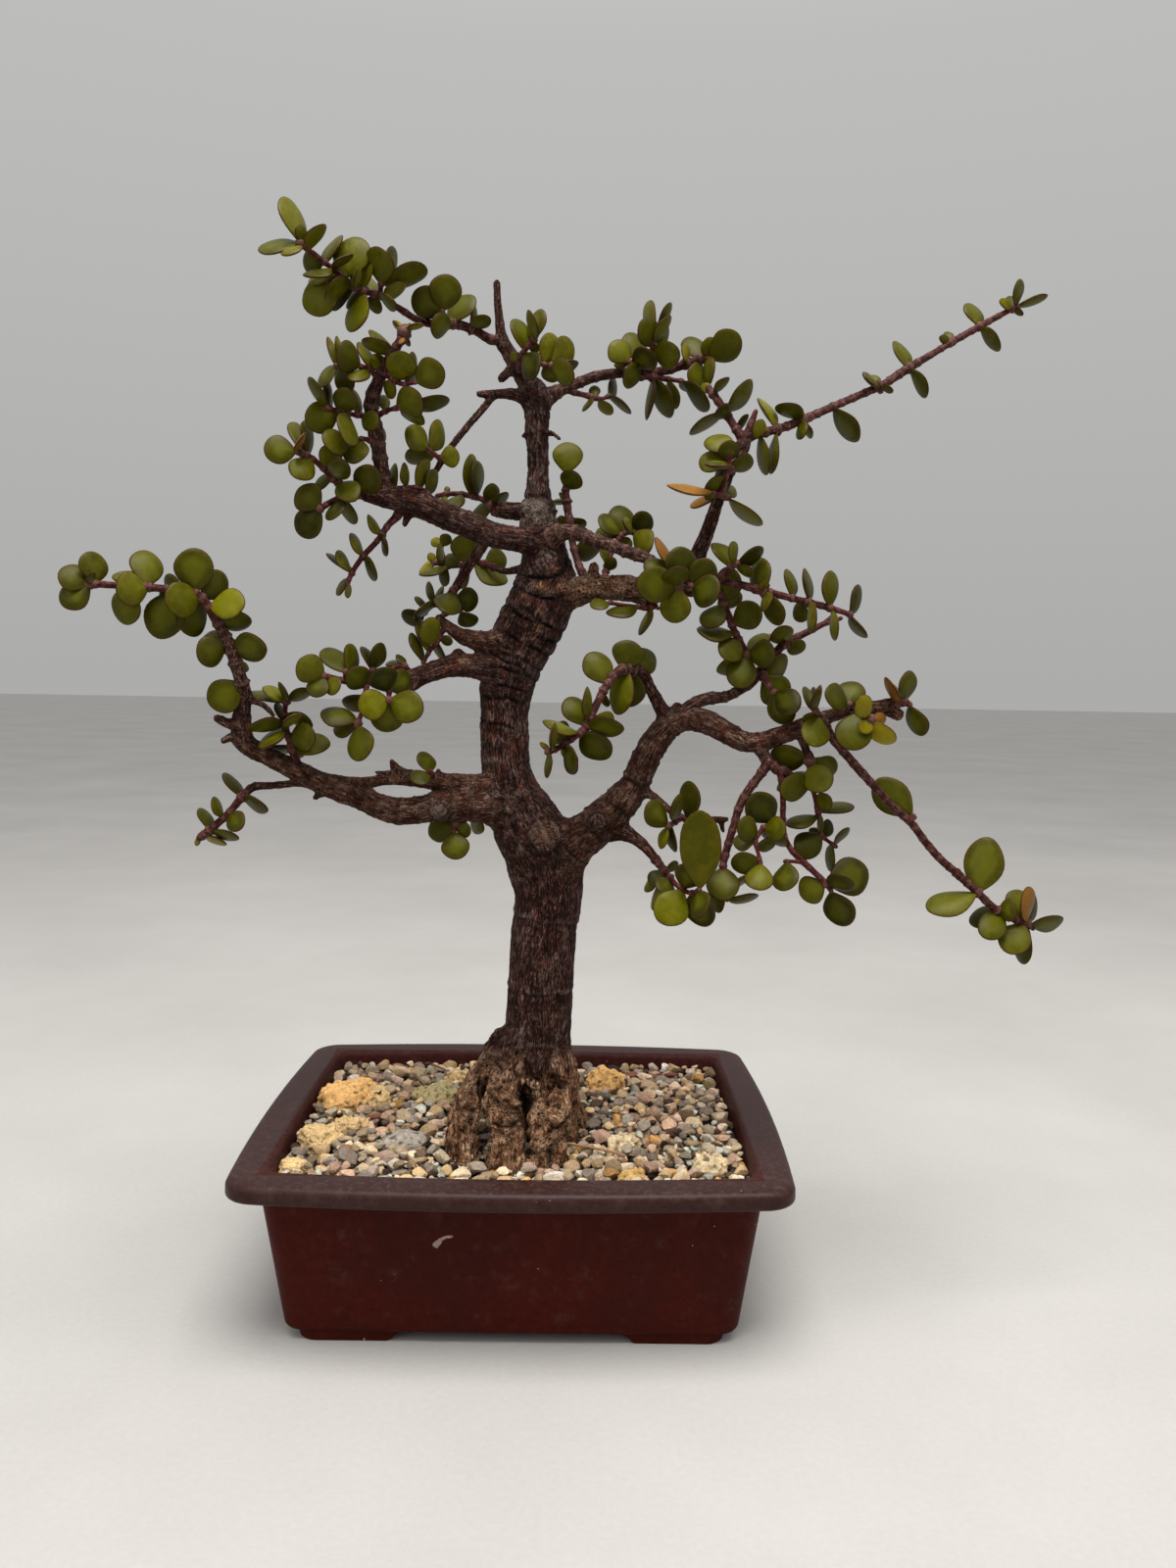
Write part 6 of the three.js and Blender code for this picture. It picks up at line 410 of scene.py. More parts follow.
    "shoot_under_rough": {
        "stems": [
            [[52.22, -28, 288.2, 1.17], [49.84, -29, 286.94, 0.97], [44.32, -30, 287.57, 0.78], [38.05, -31, 288.17, 0.78], [34.16, -31, 288.87, 0.78]],
        ],
        "leaves": [
            [34.16, -31, 288.87, 26.78, -34.5, 287.01, 0.008, -0.483, 0.876, 8.1, 0],
            [45.01, -29.88, 287.49, 33.36, -36, 283.24, -0.147, -0.359, 0.921, 11.61, 0],
            [50.44, -28.75, 287.26, 47.06, -34.17, 276.28, -0.914, -0.174, 0.367, 11.61, 0],
        ],
    },
    "shoot_right_mid": {
        "stems": [
            [[73.16, -35, 295.01, 1.73], [76.55, -36, 293.48, 1.53], [78.71, -35, 289.02, 1.54], [81.3, -34, 283.77, 1.54], [83.91, -33, 278.1, 1.36], [86.91, -32, 273.17, 1.36], [89.51, -31, 268.97, 1.17]],
        ],
        "leaves": [
            [78.4, -35.14, 289.66, 81.49, -39.74, 302.81, 0.815, 0.579, 0.011, 12.88, 0],
            [77.17, -35.71, 292.21, 86.35, -29.48, 290.22, 0.15, -0.494, -0.856, 9.29, 0],
            [78.71, -35, 289.02, 71.49, -39.85, 279.32, 0.535, 0.525, -0.661, 11.61, 0],
            [82.46, -33.56, 281.25, 93.47, -35.61, 287.69, 0.125, -0.863, -0.489, 11.9, 0],
            [84.29, -32.88, 277.48, 68.53, -35.68, 277.74, -0.077, 0.345, -0.936, 13.97, 0],
            [85.41, -32.5, 275.63, 78.42, -39.67, 267.47, -0.279, 0.827, -0.488, 11.36, 0],
            [89.14, -31.14, 269.57, 85, -38.1, 256, 0.577, 0.642, -0.505, 12.73, 0],
            [88.77, -31.29, 270.17, 78.42, -27.5, 261.41, 0.444, -0.502, -0.742, 12.63, 0],
            [89.14, -31.14, 269.57, 98.52, -42.49, 269.15, 0.622, 0.491, 0.61, 11.61, 0],
            [89.51, -31, 268.97, 96.71, -30.61, 278.03, 0.723, 0.358, -0.59, 11.61, 0],
            [89.51, -31, 268.97, 99.8, -18.98, 276.87, 0.598, 0.015, -0.801, 11.61, 2],
        ],
    },
    "shoot_end_left": {
        "stems": [
            [[116.42, -43, 244.93, 1.53], [113.98, -49, 247.38, 1.13], [112.96, -52, 248.58, 0.94]],
        ],
        "leaves": [
            [113.47, -50.5, 247.98, 107.65, -52.86, 256.71, 0.81, -0.396, 0.433, 10.94, 0],
            [113.21, -51.25, 248.28, 113.73, -37.27, 255.85, -0.994, 0.079, -0.078, 8.63, 0],
            [112.96, -52, 248.58, 111.05, -63.74, 256.9, -0.915, 0.322, 0.244, 8.89, 0],
            [114.79, -47, 246.56, 111.21, -56.58, 234.51, 0.573, -0.716, 0.399, 11.61, 0],
            [113.98, -49, 247.38, 109.59, -47.03, 243.08, 0.35, -0.664, -0.661, 6.9, 0],
        ],
    },
    "shoot_end_mid": {
        "stems": [
            [[127.32, -45, 248.6, 1.33], [125.41, -53, 250.68, 0.93]],
            [[127.32, -45, 248.6, 1.14], [128.77, -55, 248.18, 0.93], [132.24, -61, 245.5, 0.92]],
        ],
        "leaves": [
            [125.41, -53, 250.68, 114.51, -60.16, 254.87, 0.601, -0.615, 0.511, 10.94, 0],
            [125.41, -53, 250.68, 129.76, -45.39, 259.3, 0.016, -0.754, 0.657, 10.52, 0],
            [131.54, -59.8, 246.04, 125.89, -67.71, 253.47, 0.736, -0.661, -0.144, 8.78, 1],
            [128.77, -55, 248.18, 124.23, -61.15, 233.84, -0.129, -0.896, 0.425, 14.53, 0],
            [132.24, -61, 245.5, 128.46, -62.19, 240.35, -0.075, -0.958, 0.277, 6.1, 1],
            [132.24, -61, 245.5, 140.19, -49.54, 245.19, 0.822, -0.569, 0.035, 5.51, 2],
            [132.24, -61, 245.5, 140.93, -55.42, 235.65, -0.565, -0.397, -0.723, 11.61, 1],
        ],
    },
    "shoot_end_tip": {
        "stems": [
            [[143.19, -48, 251.21, 1.89], [147.05, -49, 252.05, 1.7], [149.74, -49, 250.97, 0.94]],
        ],
        "leaves": [
            [144.73, -48.4, 251.55, 138.32, -57.95, 260.58, 0.853, -0.086, 0.514, 10.53, 2],
            [145.5, -48.6, 251.72, 144.71, -39.67, 258.69, 0.646, -0.433, 0.628, 8.22, 0],
            [147.72, -49, 251.78, 148.64, -50.94, 264.08, 0.749, -0.644, -0.158, 11.61, 0],
            [149.74, -49, 250.97, 155.56, -47.67, 238.93, 0.851, 0.282, 0.443, 11.75, 0],
        ],
    },
    "shoot_spur_hanging": {
        "stems": [
            [[113.68, -38, 230.38, 1.55], [114.85, -37, 224.49, 1.36], [116.06, -36, 217.78, 0.97], [118.07, -35, 210.64, 0.98], [119.7, -34, 203.44, 0.79], [120.69, -34, 197.91, 0.79], [123.93, -34, 195.18, 0.79], [126.76, -34, 193.24, 0.79]],
        ],
        "leaves": [
            [114.41, -37.38, 226.7, 119.9, -46.36, 216.41, 0.805, 0.587, -0.083, 11.94, 0],
            [114.27, -37.5, 227.43, 126.56, -31.12, 222.62, 0.069, -0.682, -0.728, 11.61, 0],
            [115.93, -36.11, 218.52, 101.73, -47.71, 216.76, 0.591, -0.651, -0.476, 11.61, 0],
            [113.97, -37.75, 228.9, 99.09, -33.76, 229.46, -0.194, -0.618, -0.762, 14.02, 0],
            [115.12, -36.78, 223, 102.86, -31.33, 215.54, 0.555, 0.122, -0.823, 13.52, 0],
            [118.4, -34.8, 209.2, 122.52, -39.64, 214.34, -0.565, -0.777, -0.279, 7.83, 0],
            [118.89, -34.5, 207.04, 133.67, -30.36, 210.37, 0.188, 0.114, -0.976, 12.96, 0],
            [119.22, -34.3, 205.6, 105.83, -37.1, 202.04, 0.219, 0.174, -0.96, 12.19, 0],
            [119.22, -34.3, 205.6, 119.01, -41.78, 200.12, 0.998, -0.05, 0.029, 7.02, 0],
            [121.77, -34, 197, 125.12, -30.74, 203.51, 0.757, -0.65, -0.064, 7.96, 0],
            [126.06, -34, 193.73, 130.4, -37.44, 201.68, 0.683, -0.456, -0.57, 9.84, 0],
            [125.35, -34, 194.21, 124.37, -30.22, 183.02, 0.997, 0.037, -0.075, 11.45, 0],
            [120.56, -34, 198.6, 110.76, -38.88, 189.95, -0.086, 0.906, -0.413, 11.75, 0],
            [120.69, -34, 197.91, 116.72, -29.82, 199.67, 0.158, 0.507, -0.847, 4.09, 0],
            [114.12, -37.62, 228.17, 122.87, -24.33, 226.39, 0.317, -0.328, -0.89, 4.64, 0],
        ],
    },
    "shoot_low_front": {
        "stems": [
            [[54.65, -31, 186.5, 1.78], [57.2, -35, 183.6, 1.38], [59.86, -42, 180.88, 1.16], [63.1, -50, 178.47, 0.95], [66.37, -56, 177.71, 0.94], [69.46, -62, 180.01, 0.74]],
        ],
        "leaves": [
            [69.46, -62, 180.01, 68.72, -61.65, 210.58, -0.102, -0.995, 0.009, 16.32, 3],
            [64.19, -52, 178.22, 67.25, -59.09, 189.52, -0.302, -0.842, -0.447, 11.58, 0],
            [68.84, -60.8, 179.55, 70.13, -69.42, 171.03, -0.909, -0.354, 0.22, 11.15, 0],
            [64.19, -52, 178.22, 54.83, -58.04, 166.48, 0.079, -0.911, 0.406, 14.28, 0],
            [66.99, -57.2, 178.17, 73.38, -52.82, 164.05, -0.621, -0.624, -0.474, 12.81, 0],
            [59.86, -42, 180.88, 55.41, -49.22, 176.01, 0.309, -0.655, 0.689, 8.74, 0],
            [57.92, -36.91, 182.86, 63.7, -32.08, 185.21, 0.675, -0.597, -0.433, 4.8, 0],
            [58.17, -37.55, 182.61, 51.98, -41, 178.02, -0.25, -0.582, 0.774, 8.49, 0],
            [57.44, -35.64, 183.35, 50.66, -29.05, 174.05, 0.821, 0.041, -0.569, 11.59, 0],
            [59.86, -42, 180.88, 52.69, -37.26, 167.64, 0.891, 0.141, -0.432, 12.9, 0],
        ],
    },
    "shoot_mid_front": {
        "stems": [
            [[63.87, -34, 204.15, 1.37], [61.74, -41, 203.42, 1.16], [58.37, -45, 201.94, 0.96]],
            [[63.87, -34, 204.15, 1.18], [66.56, -39, 203.63, 0.97]],
        ],
        "leaves": [
            [58.37, -45, 201.94, 49.27, -49.88, 211.01, -0.697, 0.615, -0.368, 11.61, 0],
            [58.37, -45, 201.94, 55.57, -44.11, 192.86, -0.944, -0.184, 0.273, 10.03, 0],
            [59.34, -43.86, 202.36, 60.38, -37.26, 191.13, -0.947, -0.231, -0.223, 10.92, 0],
            [61.26, -41.57, 203.21, 62.38, -48.45, 214.3, -0.881, 0.357, 0.311, 11.28, 0],
            [66.23, -38.38, 203.7, 68.02, -39.94, 219.33, 0.923, 0.378, -0.068, 14.06, 0],
        ],
    },
    "shoot_arch": {
        "stems": [
            [[45.26, -37, 262.78, 2.12], [41.27, -40, 263.09, 2.1], [37.01, -43, 261.11, 1.9], [33.61, -45, 256.9, 1.7], [30.63, -47, 251.61, 1.51], [28.06, -49, 245.97, 1.51], [25.14, -51, 240, 1.31], [20.7, -53, 236.28, 1.12], [15.91, -54, 232.9, 1.12], [11.48, -55, 231.02, 1.12]],
        ],
        "leaves": [
            [33.61, -45, 256.9, 26.39, -41.08, 268.97, -0.471, 0.716, -0.515, 12.72, 0],
            [39.45, -41.29, 262.24, 42.47, -40.4, 273.98, -0.017, -0.997, 0.08, 12.76, 0],
            [42.98, -38.71, 262.96, 52.43, -26.4, 268.86, -0.818, 0.552, 0.158, 11.18, 0],
            [41.27, -40, 263.09, 36.65, -39.66, 245.04, -0.85, -0.484, 0.208, 14.5, 0],
            [43.55, -38.29, 262.91, 41.83, -33.58, 247.68, -0.678, -0.721, -0.146, 13.78, 0],
            [31.96, -46.11, 253.96, 33.09, -42.03, 247.73, -0.77, -0.461, -0.441, 4.81, 0],
            [25.46, -50.78, 240.66, 18.55, -47.13, 251.79, -0.562, 0.617, -0.551, 11.9, 0],
            [27.09, -49.67, 243.98, 24.86, -55.56, 255.38, -0.976, 0.203, -0.086, 11.61, 0],
            [22.92, -52, 238.14, 8.8, -56.9, 241.11, -0.261, 0.177, -0.949, 13.13, 0],
            [20.1, -53.12, 235.86, 11.76, -40.76, 239.47, -0.702, -0.59, 0.398, 9.78, 0],
            [13.38, -54.57, 231.83, 12.71, -66.44, 241.23, -0.996, 0.079, 0.029, 9.59, 0],
            [25.46, -50.78, 240.66, 39.94, -55.59, 241.19, -0.127, -0.478, -0.869, 13.25, 0],
            [26.76, -49.89, 243.32, 36.47, -42.73, 239.46, 0.221, -0.678, -0.701, 10.87, 0],
            [24.03, -51.5, 239.07, 34.07, -47.89, 227.75, -0.437, -0.67, -0.601, 13.39, 0],
            [17.11, -53.75, 233.74, 22.03, -61.43, 223.88, -0.92, -0.343, -0.192, 11.61, 0],
            [18.3, -53.5, 234.59, 20.46, -48.07, 226.16, -0.768, -0.43, -0.474, 8.91, 0],
            [11.48, -55, 231.02, 11, -60.25, 221.76, -0.978, -0.157, 0.139, 10.44, 0],
            [11.48, -55, 231.02, 8.38, -52.48, 234.56, -0.556, 0.365, -0.747, 3.7, 1],
        ],
    },
    "shoot_apex_front": {
        "stems": [
            [[-2.83, -17, 379.93, 1.37], [-2.96, -23, 382.59, 1.16], [-0.83, -28, 385.82, 0.96], [3.02, -30, 389.43, 0.95]],
            [[-2.96, -23, 382.59, 0.97], [2.28, -28, 381.79, 0.77], [6.6, -31, 379.99, 0.76], [9.67, -32, 379.43, 0.76]],
        ],
        "leaves": [
            [-0.83, -28, 385.82, -3.46, -24.21, 399.1, 0.788, -0.533, 0.308, 11.61, 0],
            [3.02, -30, 389.43, 1.41, -39.32, 397.34, 0.936, 0.12, 0.332, 11.61, 0],
            [3.02, -30, 389.43, 4.65, -26.61, 401.9, 0.802, 0.541, -0.252, 11.61, 0],
            [6.6, -31, 379.99, 10.88, -26.64, 392.28, 0.811, -0.581, -0.076, 11.61, 0],
            [9.67, -32, 379.43, 17.68, -23.79, 390.39, 0.85, -0.44, -0.291, 11.61, 0],
            [0.61, -28.75, 387.17, 5.18, -25.19, 387.42, 0.599, -0.749, -0.283, 4.2, 0],
            [-1.3, -26.89, 385.1, 4.61, -35.68, 374.6, -0.871, -0.484, -0.085, 11.06, 0],
            [-2.43, -23.5, 382.51, -6.57, -21.42, 386.7, -0.346, -0.931, 0.12, 4.64, 0],
            [9.67, -32, 379.43, 18.57, -40.36, 372.6, 0.757, 0.359, 0.546, 10.9, 0],
            [7.37, -31.25, 379.85, 11.25, -27.03, 374.16, 0.471, 0.524, 0.71, 8.56, 0],
            [9.67, -32, 379.43, 20.3, -27.72, 380.33, 0.14, -0.142, -0.98, 11.44, 0],
        ],
    },
    "shoot_mid_left_front": {
        "stems": [
            [[-51.36, -41, 258.5, 1.14], [-50.09, -49, 254.81, 0.94], [-49.13, -55, 249.72, 0.93]],
            [[-44.18, -38, 260.91, 0.96], [-45.57, -39, 262.41, 0.77]],
            [[-50.72, -45, 255.89, 0.95], [-49.75, -44, 261.18, 0.95], [-45.57, -39, 262.41, 0.96]],
        ],
        "leaves": [
            [-49.65, -51.73, 252.5, -52.78, -58.73, 261.94, -0.224, -0.746, -0.627, 11.3, 0],
            [-49.13, -55, 249.72, -59.65, -61.11, 246.3, 0.468, -0.875, 0.124, 12.12, 0],
            [-49.13, -55, 249.72, -35.51, -60.13, 244.67, -0.281, -0.939, 0.197, 12.69, 0],
            [-49.13, -55, 249.72, -52.03, -50.76, 237.26, 0.084, -0.937, -0.338, 12.66, 0],
            [-49.83, -50.64, 253.42, -42.75, -42.71, 259.06, 0.807, -0.517, -0.285, 10.67, 0],
            [-45.57, -39, 262.41, -54.37, -24.59, 264.31, -0.004, -0.133, 0.991, 7.29, 0],
            [-45.57, -39, 262.41, -48.72, -35.95, 267.35, 0.647, -0.391, 0.654, 4.38, 0],
        ],
    },
    "branch_upright_left": {
        "stems": [
            [[-51.16, -45, 326.08, 2.98], [-52.49, -46, 332.48, 2.79], [-53.44, -47, 337.75, 2.78], [-54.38, -48, 344.78, 2.77], [-55.32, -49, 351.77, 2.57], [-56.61, -50, 357.62, 2.75], [-55.7, -51, 363.12, 2.74], [-52.99, -52, 368.96, 2.18], [-50.29, -53, 374.06, 1.81], [-47.25, -54, 378.78, 1.63], [-44.58, -55, 382.06, 1.62]],
            [[-44.58, -55, 382.41, 1.44], [-43.15, -55, 385.23, 1.44]],
            [[-51.17, -52, 370.41, 1.09], [-47.13, -57, 366.8, 0.9], [-43.09, -60, 364.77, 0.89], [-38.53, -62, 365.07, 0.71]],
            [[-54.58, -49, 355.73, 1.1], [-50.44, -52, 356.94, 0.91], [-45.98, -55, 357.44, 0.91], [-42.08, -57, 358.13, 0.72]],
            [[-53.35, -52, 367.89, 1.09], [-55.92, -56, 370.39, 0.9], [-58.78, -60, 370.73, 0.89], [-62.48, -63, 369.9, 0.71], [-66.67, -65, 369.66, 0.71]],
            [[-51.37, -53, 373.33, 0.91], [-49.45, -56, 375.76, 0.72]],
            [[-56.61, -50, 355.48, 1.1], [-60.62, -54, 354.55, 0.91], [-64.91, -58, 354.68, 0.9], [-68.6, -61, 355.01, 0.89], [-71.74, -63, 355.21, 0.71]],
            [[-55.12, -48, 345.85, 1.11], [-58.82, -52, 346.45, 0.91], [-62.44, -56, 345.26, 0.72], [-65.46, -59, 343.22, 0.72]],
        ],
        "leaves": [
            [-43.51, -55, 384.52, -49.18, -43.96, 391.43, 0.594, -0.185, 0.783, 3.72, 1],
            [-43.15, -55, 385.23, -36.05, -59.86, 386.42, -0.212, -0.071, 0.975, 4.96, 1],
            [-43.51, -55, 384.52, -41.5, -51.43, 388.37, 0.902, -0.045, -0.429, 3.1, 1],
            [-44.22, -55, 383.11, -44.31, -59.15, 378.85, 0.66, 0.531, -0.531, 3.1, 2],
            [-43.86, -55, 383.82, -42.33, -50.56, 380.84, 0.549, 0.327, 0.769, 3.1, 2],
            [-45.97, -57.86, 366.22, -41.81, -67.13, 374.44, -0.049, -0.675, -0.736, 11.94, 0],
            [-42.44, -60.29, 364.81, -39.68, -51.22, 376.73, 0.975, -0.005, -0.222, 11.38, 0],
            [-38.53, -62, 365.07, -27.72, -65.82, 369.38, -0.176, -0.913, -0.368, 11.61, 0],
            [-47.53, -56.5, 367.16, -50.03, -51.8, 361.7, 0.768, 0.615, 0.178, 7.4, 0],
            [-46.61, -54.57, 357.37, -36.39, -62.2, 360.41, 0.441, 0.773, 0.456, 11.76, 0],
            [-42.08, -57, 358.13, -27.2, -51.48, 359.98, 0.141, -0.049, -0.989, 14, 0],
            [-44.68, -55.67, 357.67, -37.77, -48.51, 352.91, 0.421, 0.184, 0.888, 10.95, 0],
            [-51.03, -51.57, 356.77, -53.34, -43.87, 364.19, 0.688, 0.6, -0.408, 4.61, 0],
            [-66.67, -65, 369.66, -71.47, -51.9, 381.7, -0.953, -0.079, -0.294, 9.75, 0],
            [-65.97, -64.67, 369.7, -66.2, -60.16, 380.24, -1, -0.023, -0.012, 10.33, 0],
            [-58.78, -60, 370.73, -65.18, -70.05, 374.25, -0.857, 0.493, -0.15, 11.47, 0],
            [-65.97, -64.67, 369.7, -74.45, -61.77, 364.11, -0.574, -0.594, 0.563, 10.8, 0],
            [-61.25, -62, 370.18, -68.97, -51.11, 364.84, -0.782, -0.612, -0.117, 10.4, 0],
            [-56.74, -57.14, 370.48, -60.63, -67.22, 363.75, -0.12, -0.519, 0.846, 7.8, 0],
            [-55.92, -56, 370.39, -59.86, -47.08, 382.45, -0.88, 0.196, -0.433, 11.06, 0],
            [-49.45, -56, 375.76, -55.57, -65.98, 379.53, 0.301, 0.17, 0.938, 11.24, 0],
            [-49.45, -56, 375.76, -55.27, -47.11, 387.21, 0.761, -0.265, 0.593, 11.08, 0],
            [-52.31, -52.25, 370.23, -54.77, -53.59, 377.15, 0.846, -0.491, 0.206, 8.6, 0],
            [-71.74, -63, 355.21, -74.12, -72.74, 362.85, -0.786, -0.251, -0.565, 11.61, 0],
            [-70.48, -62.2, 355.13, -72.92, -48.69, 366.54, -0.99, -0.077, -0.12, 9.12, 0],
            [-67.37, -60, 354.9, -61.49, -66.12, 360.8, 0.316, -0.483, -0.816, 9.43, 0],
            [-61.16, -54.5, 354.57, -63.22, -46.92, 364.8, -0.944, 0.144, -0.297, 9.42, 0],
            [-66.76, -59.5, 354.85, -78, -64.1, 349.36, 0.419, -0.902, -0.103, 11.8, 0],
            [-63.84, -57, 354.65, -62.08, -68.23, 341.54, -0.94, 0.187, -0.286, 11.61, 0],
            [-59.62, -53, 354.78, -52.53, -59.1, 349.6, -0.741, -0.593, -0.316, 7.92, 0],
            [-63.45, -57, 344.58, -71.25, -67.14, 342.74, -0.588, 0.559, -0.585, 10.75, 0],
            [-59.85, -53.14, 346.11, -62.28, -58.66, 336.46, -0.377, -0.76, 0.53, 10.2, 0],
            [-57.23, -50.29, 346.2, -53.39, -40.31, 352.76, 0.721, -0.552, 0.418, 8.18, 0],
            [-65.46, -59, 343.22, -73.34, -59.35, 335.8, 0.646, -0.367, -0.669, 11.61, 0],
        ],
    },
    "branch_apex_right": {
        "stems": [
            [[3.91, -15, 368.64, 4.34], [7.79, -14, 371.64, 3.56], [11.69, -13, 373.87, 2.57], [18.37, -11, 377.16, 2.19], [26.28, -9, 380.89, 2.19], [36.28, -7, 383.12, 2], [46.38, -5, 384.2, 1.81], [56.56, -3, 385.67, 1.82], [63.86, -2, 388.41, 1.82]],
            [[14.42, -12, 375.69, 1.59], [19.61, -11, 374.09, 1.19], [24.4, -10, 373.24, 1]],
            [[49.18, -5, 385.03, 1.41], [49.18, -11, 386.63, 0.99], [49.6, -16, 389.94, 0.98], [50.55, -18, 394.36, 0.78], [51.56, -19, 398.64, 0.78]],
            [[48.98, -8, 385.84, 1], [43.99, -12, 385.89, 0.79], [40.34, -14, 385.7, 0.79]],
            [[50.02, -5, 383.48, 1.21], [50.82, -6, 380.91, 1.2]],
            [[50.03, -5, 383.09, 1.21], [45, -10, 380.22, 0.8]],
            [[50.45, -5, 382.31, 1.21], [57.45, -3, 382.15, 1.01], [63.04, -4, 381.22, 0.81]],
            [[63.86, -2, 388.41, 1.82], [67.87, -2, 389.67, 1.82], [71.48, -2, 390.91, 1.62], [74.01, -5, 389.8, 1]],
            [[24.4, -10, 373.24, 1], [27.2, -10, 372.52, 1], [29.6, -10, 372.17, 0.8], [33.19, -9, 373.63, 0.8]],
        ],
        "leaves": [
            [49.87, -16.57, 391.2, 45.25, -23.46, 399.89, 0.788, -0.612, -0.066, 11.61, 0],
            [50.89, -18.33, 395.79, 56.75, -4.25, 398.85, 0.912, -0.325, -0.252, 11.72, 0],
            [51.22, -18.67, 397.22, 46.12, -7.3, 409.96, 0.958, 0.176, 0.227, 11.61, 0],
            [51.39, -18.83, 397.93, 57.12, -15, 407.86, -0.88, 0.138, 0.455, 11.39, 0],
            [50.28, -17.43, 393.1, 56.17, -24, 401.42, -0.767, 0.112, 0.632, 11.61, 0],
            [41.07, -13.6, 385.74, 33.12, -14.31, 393.21, -0.429, 0.82, -0.379, 11.61, 0],
            [41.07, -13.6, 385.74, 34.97, -8.77, 386.15, -0.459, -0.632, 0.624, 4.87, 0],
            [44.54, -11.56, 385.88, 42.45, -5.92, 400.18, -0.655, 0.665, -0.358, 12.03, 0],
            [41.8, -13.2, 385.77, 50.58, -24.72, 386.85, -0.241, -0.271, -0.932, 11.15, 0],
            [49.54, -15.38, 389.53, 60.03, -23.42, 386.64, -0.511, -0.391, -0.765, 11.61, 0],
            [46, -9, 380.8, 37.96, -22.9, 379.77, -0.814, 0.443, 0.374, 10.62, 0],
            [50.62, -5.75, 381.55, 49.29, -10.58, 364.24, 0.994, 0.064, -0.094, 14.5, 0],
            [51.85, -4.6, 382.28, 58.23, -2.72, 366.44, 0.877, 0.285, 0.387, 14.5, 0],
            [57.45, -3, 382.15, 61.65, 0.66, 371.2, 0.889, 0.204, 0.409, 11.61, 0],
            [63.04, -4, 381.22, 73.97, -10.22, 369.44, 0.755, 0.099, 0.648, 14.17, 0],
            [62.34, -3.87, 381.34, 70.83, 8.59, 379.15, -0.293, 0.032, -0.956, 9.61, 0],
            [70.76, -2, 390.66, 66.29, 6.67, 401.48, 0.316, -0.672, 0.669, 10.87, 0],
            [72.5, -3.2, 390.47, 75.08, -5.59, 398.56, 0.685, -0.609, -0.399, 10.19, 0],
            [74.01, -5, 389.8, 85.69, -7.31, 399.38, 0.409, -0.638, -0.653, 14.46, 0],
            [72.5, -3.2, 390.47, 74.74, -12.42, 378.3, 0.984, 0.17, 0.053, 11.51, 0],
            [70.04, -2, 390.41, 69.2, -3.89, 377.07, 0.745, -0.665, 0.047, 11.98, 0],
            [65.86, -2, 389.04, 62.41, -7.46, 394.77, 0.897, -0.417, 0.142, 8.6, 1],
            [25.8, -10, 372.88, 23.3, -13.54, 366.24, 0.805, 0.342, -0.485, 7.01, 0],
            [27.2, -10, 372.52, 27.16, -5.53, 378.62, 0.022, 0.806, -0.591, 4.78, 0],
            [28.8, -10, 372.29, 33.79, -6.81, 366.31, 0.659, 0.279, 0.699, 9.04, 0],
            [33.19, -9, 373.63, 35.39, 3.23, 383.24, 0.985, -0.175, -0.003, 7.61, 0],
            [32.48, -9.2, 373.34, 42.27, -14.37, 367.18, 0.526, -0.016, 0.85, 11.61, 0],
        ],
    },
    "branch_hanging": {
        "stems": [
            [[94.05, -36, 235.38, 2.91], [96, -37, 230.03, 2.33], [97.9, -38, 226.24, 2.13]],
            [[97.88, -38, 227.02, 1.94], [94.76, -39, 222.39, 1.74], [90, -41, 216.29, 1.74], [86.56, -42, 210.14, 1.73], [84.67, -43, 204.02, 1.54], [82.8, -44, 197.53, 1.54], [80.93, -45, 191.06, 1.54]],
            [[97.88, -38, 227.02, 1.94], [102.08, -39, 223.67, 1.55], [103.23, -40, 218.73, 1.35], [103.69, -41, 211.07, 1.16], [103.76, -42, 203.42, 1.16], [104.72, -42, 197.59, 1.16], [107.41, -43, 192.71, 1.16], [112.01, -44, 188.26, 1.16]],
            [[101.07, -38, 224.35, 1.74], [105.21, -39, 222.94, 1.93], [107.2, -39, 221.42, 1.55]],
            [[103.71, -42, 204.97, 1.16], [98.67, -47, 203.97, 0.95], [94.44, -50, 202, 0.95], [91.77, -51, 197.5, 0.76], [92.91, -52, 192.32, 0.76], [93.61, -53, 189.05, 0.76]],
            [[112.01, -44, 188.26, 1.16], [116.59, -45, 184.21, 1.16], [120.37, -46, 180.55, 1.15], [122.79, -46, 177.47, 0.77]],
            [[112.01, -44, 188.26, 0.96], [107.39, -48, 189.22, 0.76], [103.59, -50, 189.48, 0.76]],
            [[80.93, -45, 191.06, 1.54], [80.01, -47, 187.48, 1.34], [80.22, -50, 180.27, 0.95], [81.27, -52, 174.5, 0.76]],
        ],
        "leaves": [
            [99.18, -46.5, 204.07, 90.37, -49.76, 215.52, 0.085, -0.974, -0.212, 13.1, 0],
            [95.05, -49.57, 202.28, 101.38, -60, 202.94, -0.851, -0.508, 0.131, 9.87, 0],
            [92.91, -50.57, 199.43, 83.62, -57.12, 204.86, -0.673, 0.621, -0.403, 10.21, 0],
            [92.09, -51.29, 196.02, 100.06, -47.15, 195.54, 0.301, -0.66, -0.688, 7.79, 0],
            [91.77, -51, 197.5, 83.41, -48.46, 196.38, 0.251, 0.449, -0.858, 9.38, 0],
            [95.05, -49.57, 202.28, 104.35, -38.78, 193.46, -0.476, -0.273, -0.836, 10.98, 0],
            [93.26, -52.5, 190.68, 83.36, -48.03, 186.79, -0.073, -0.742, -0.667, 11.61, 0],
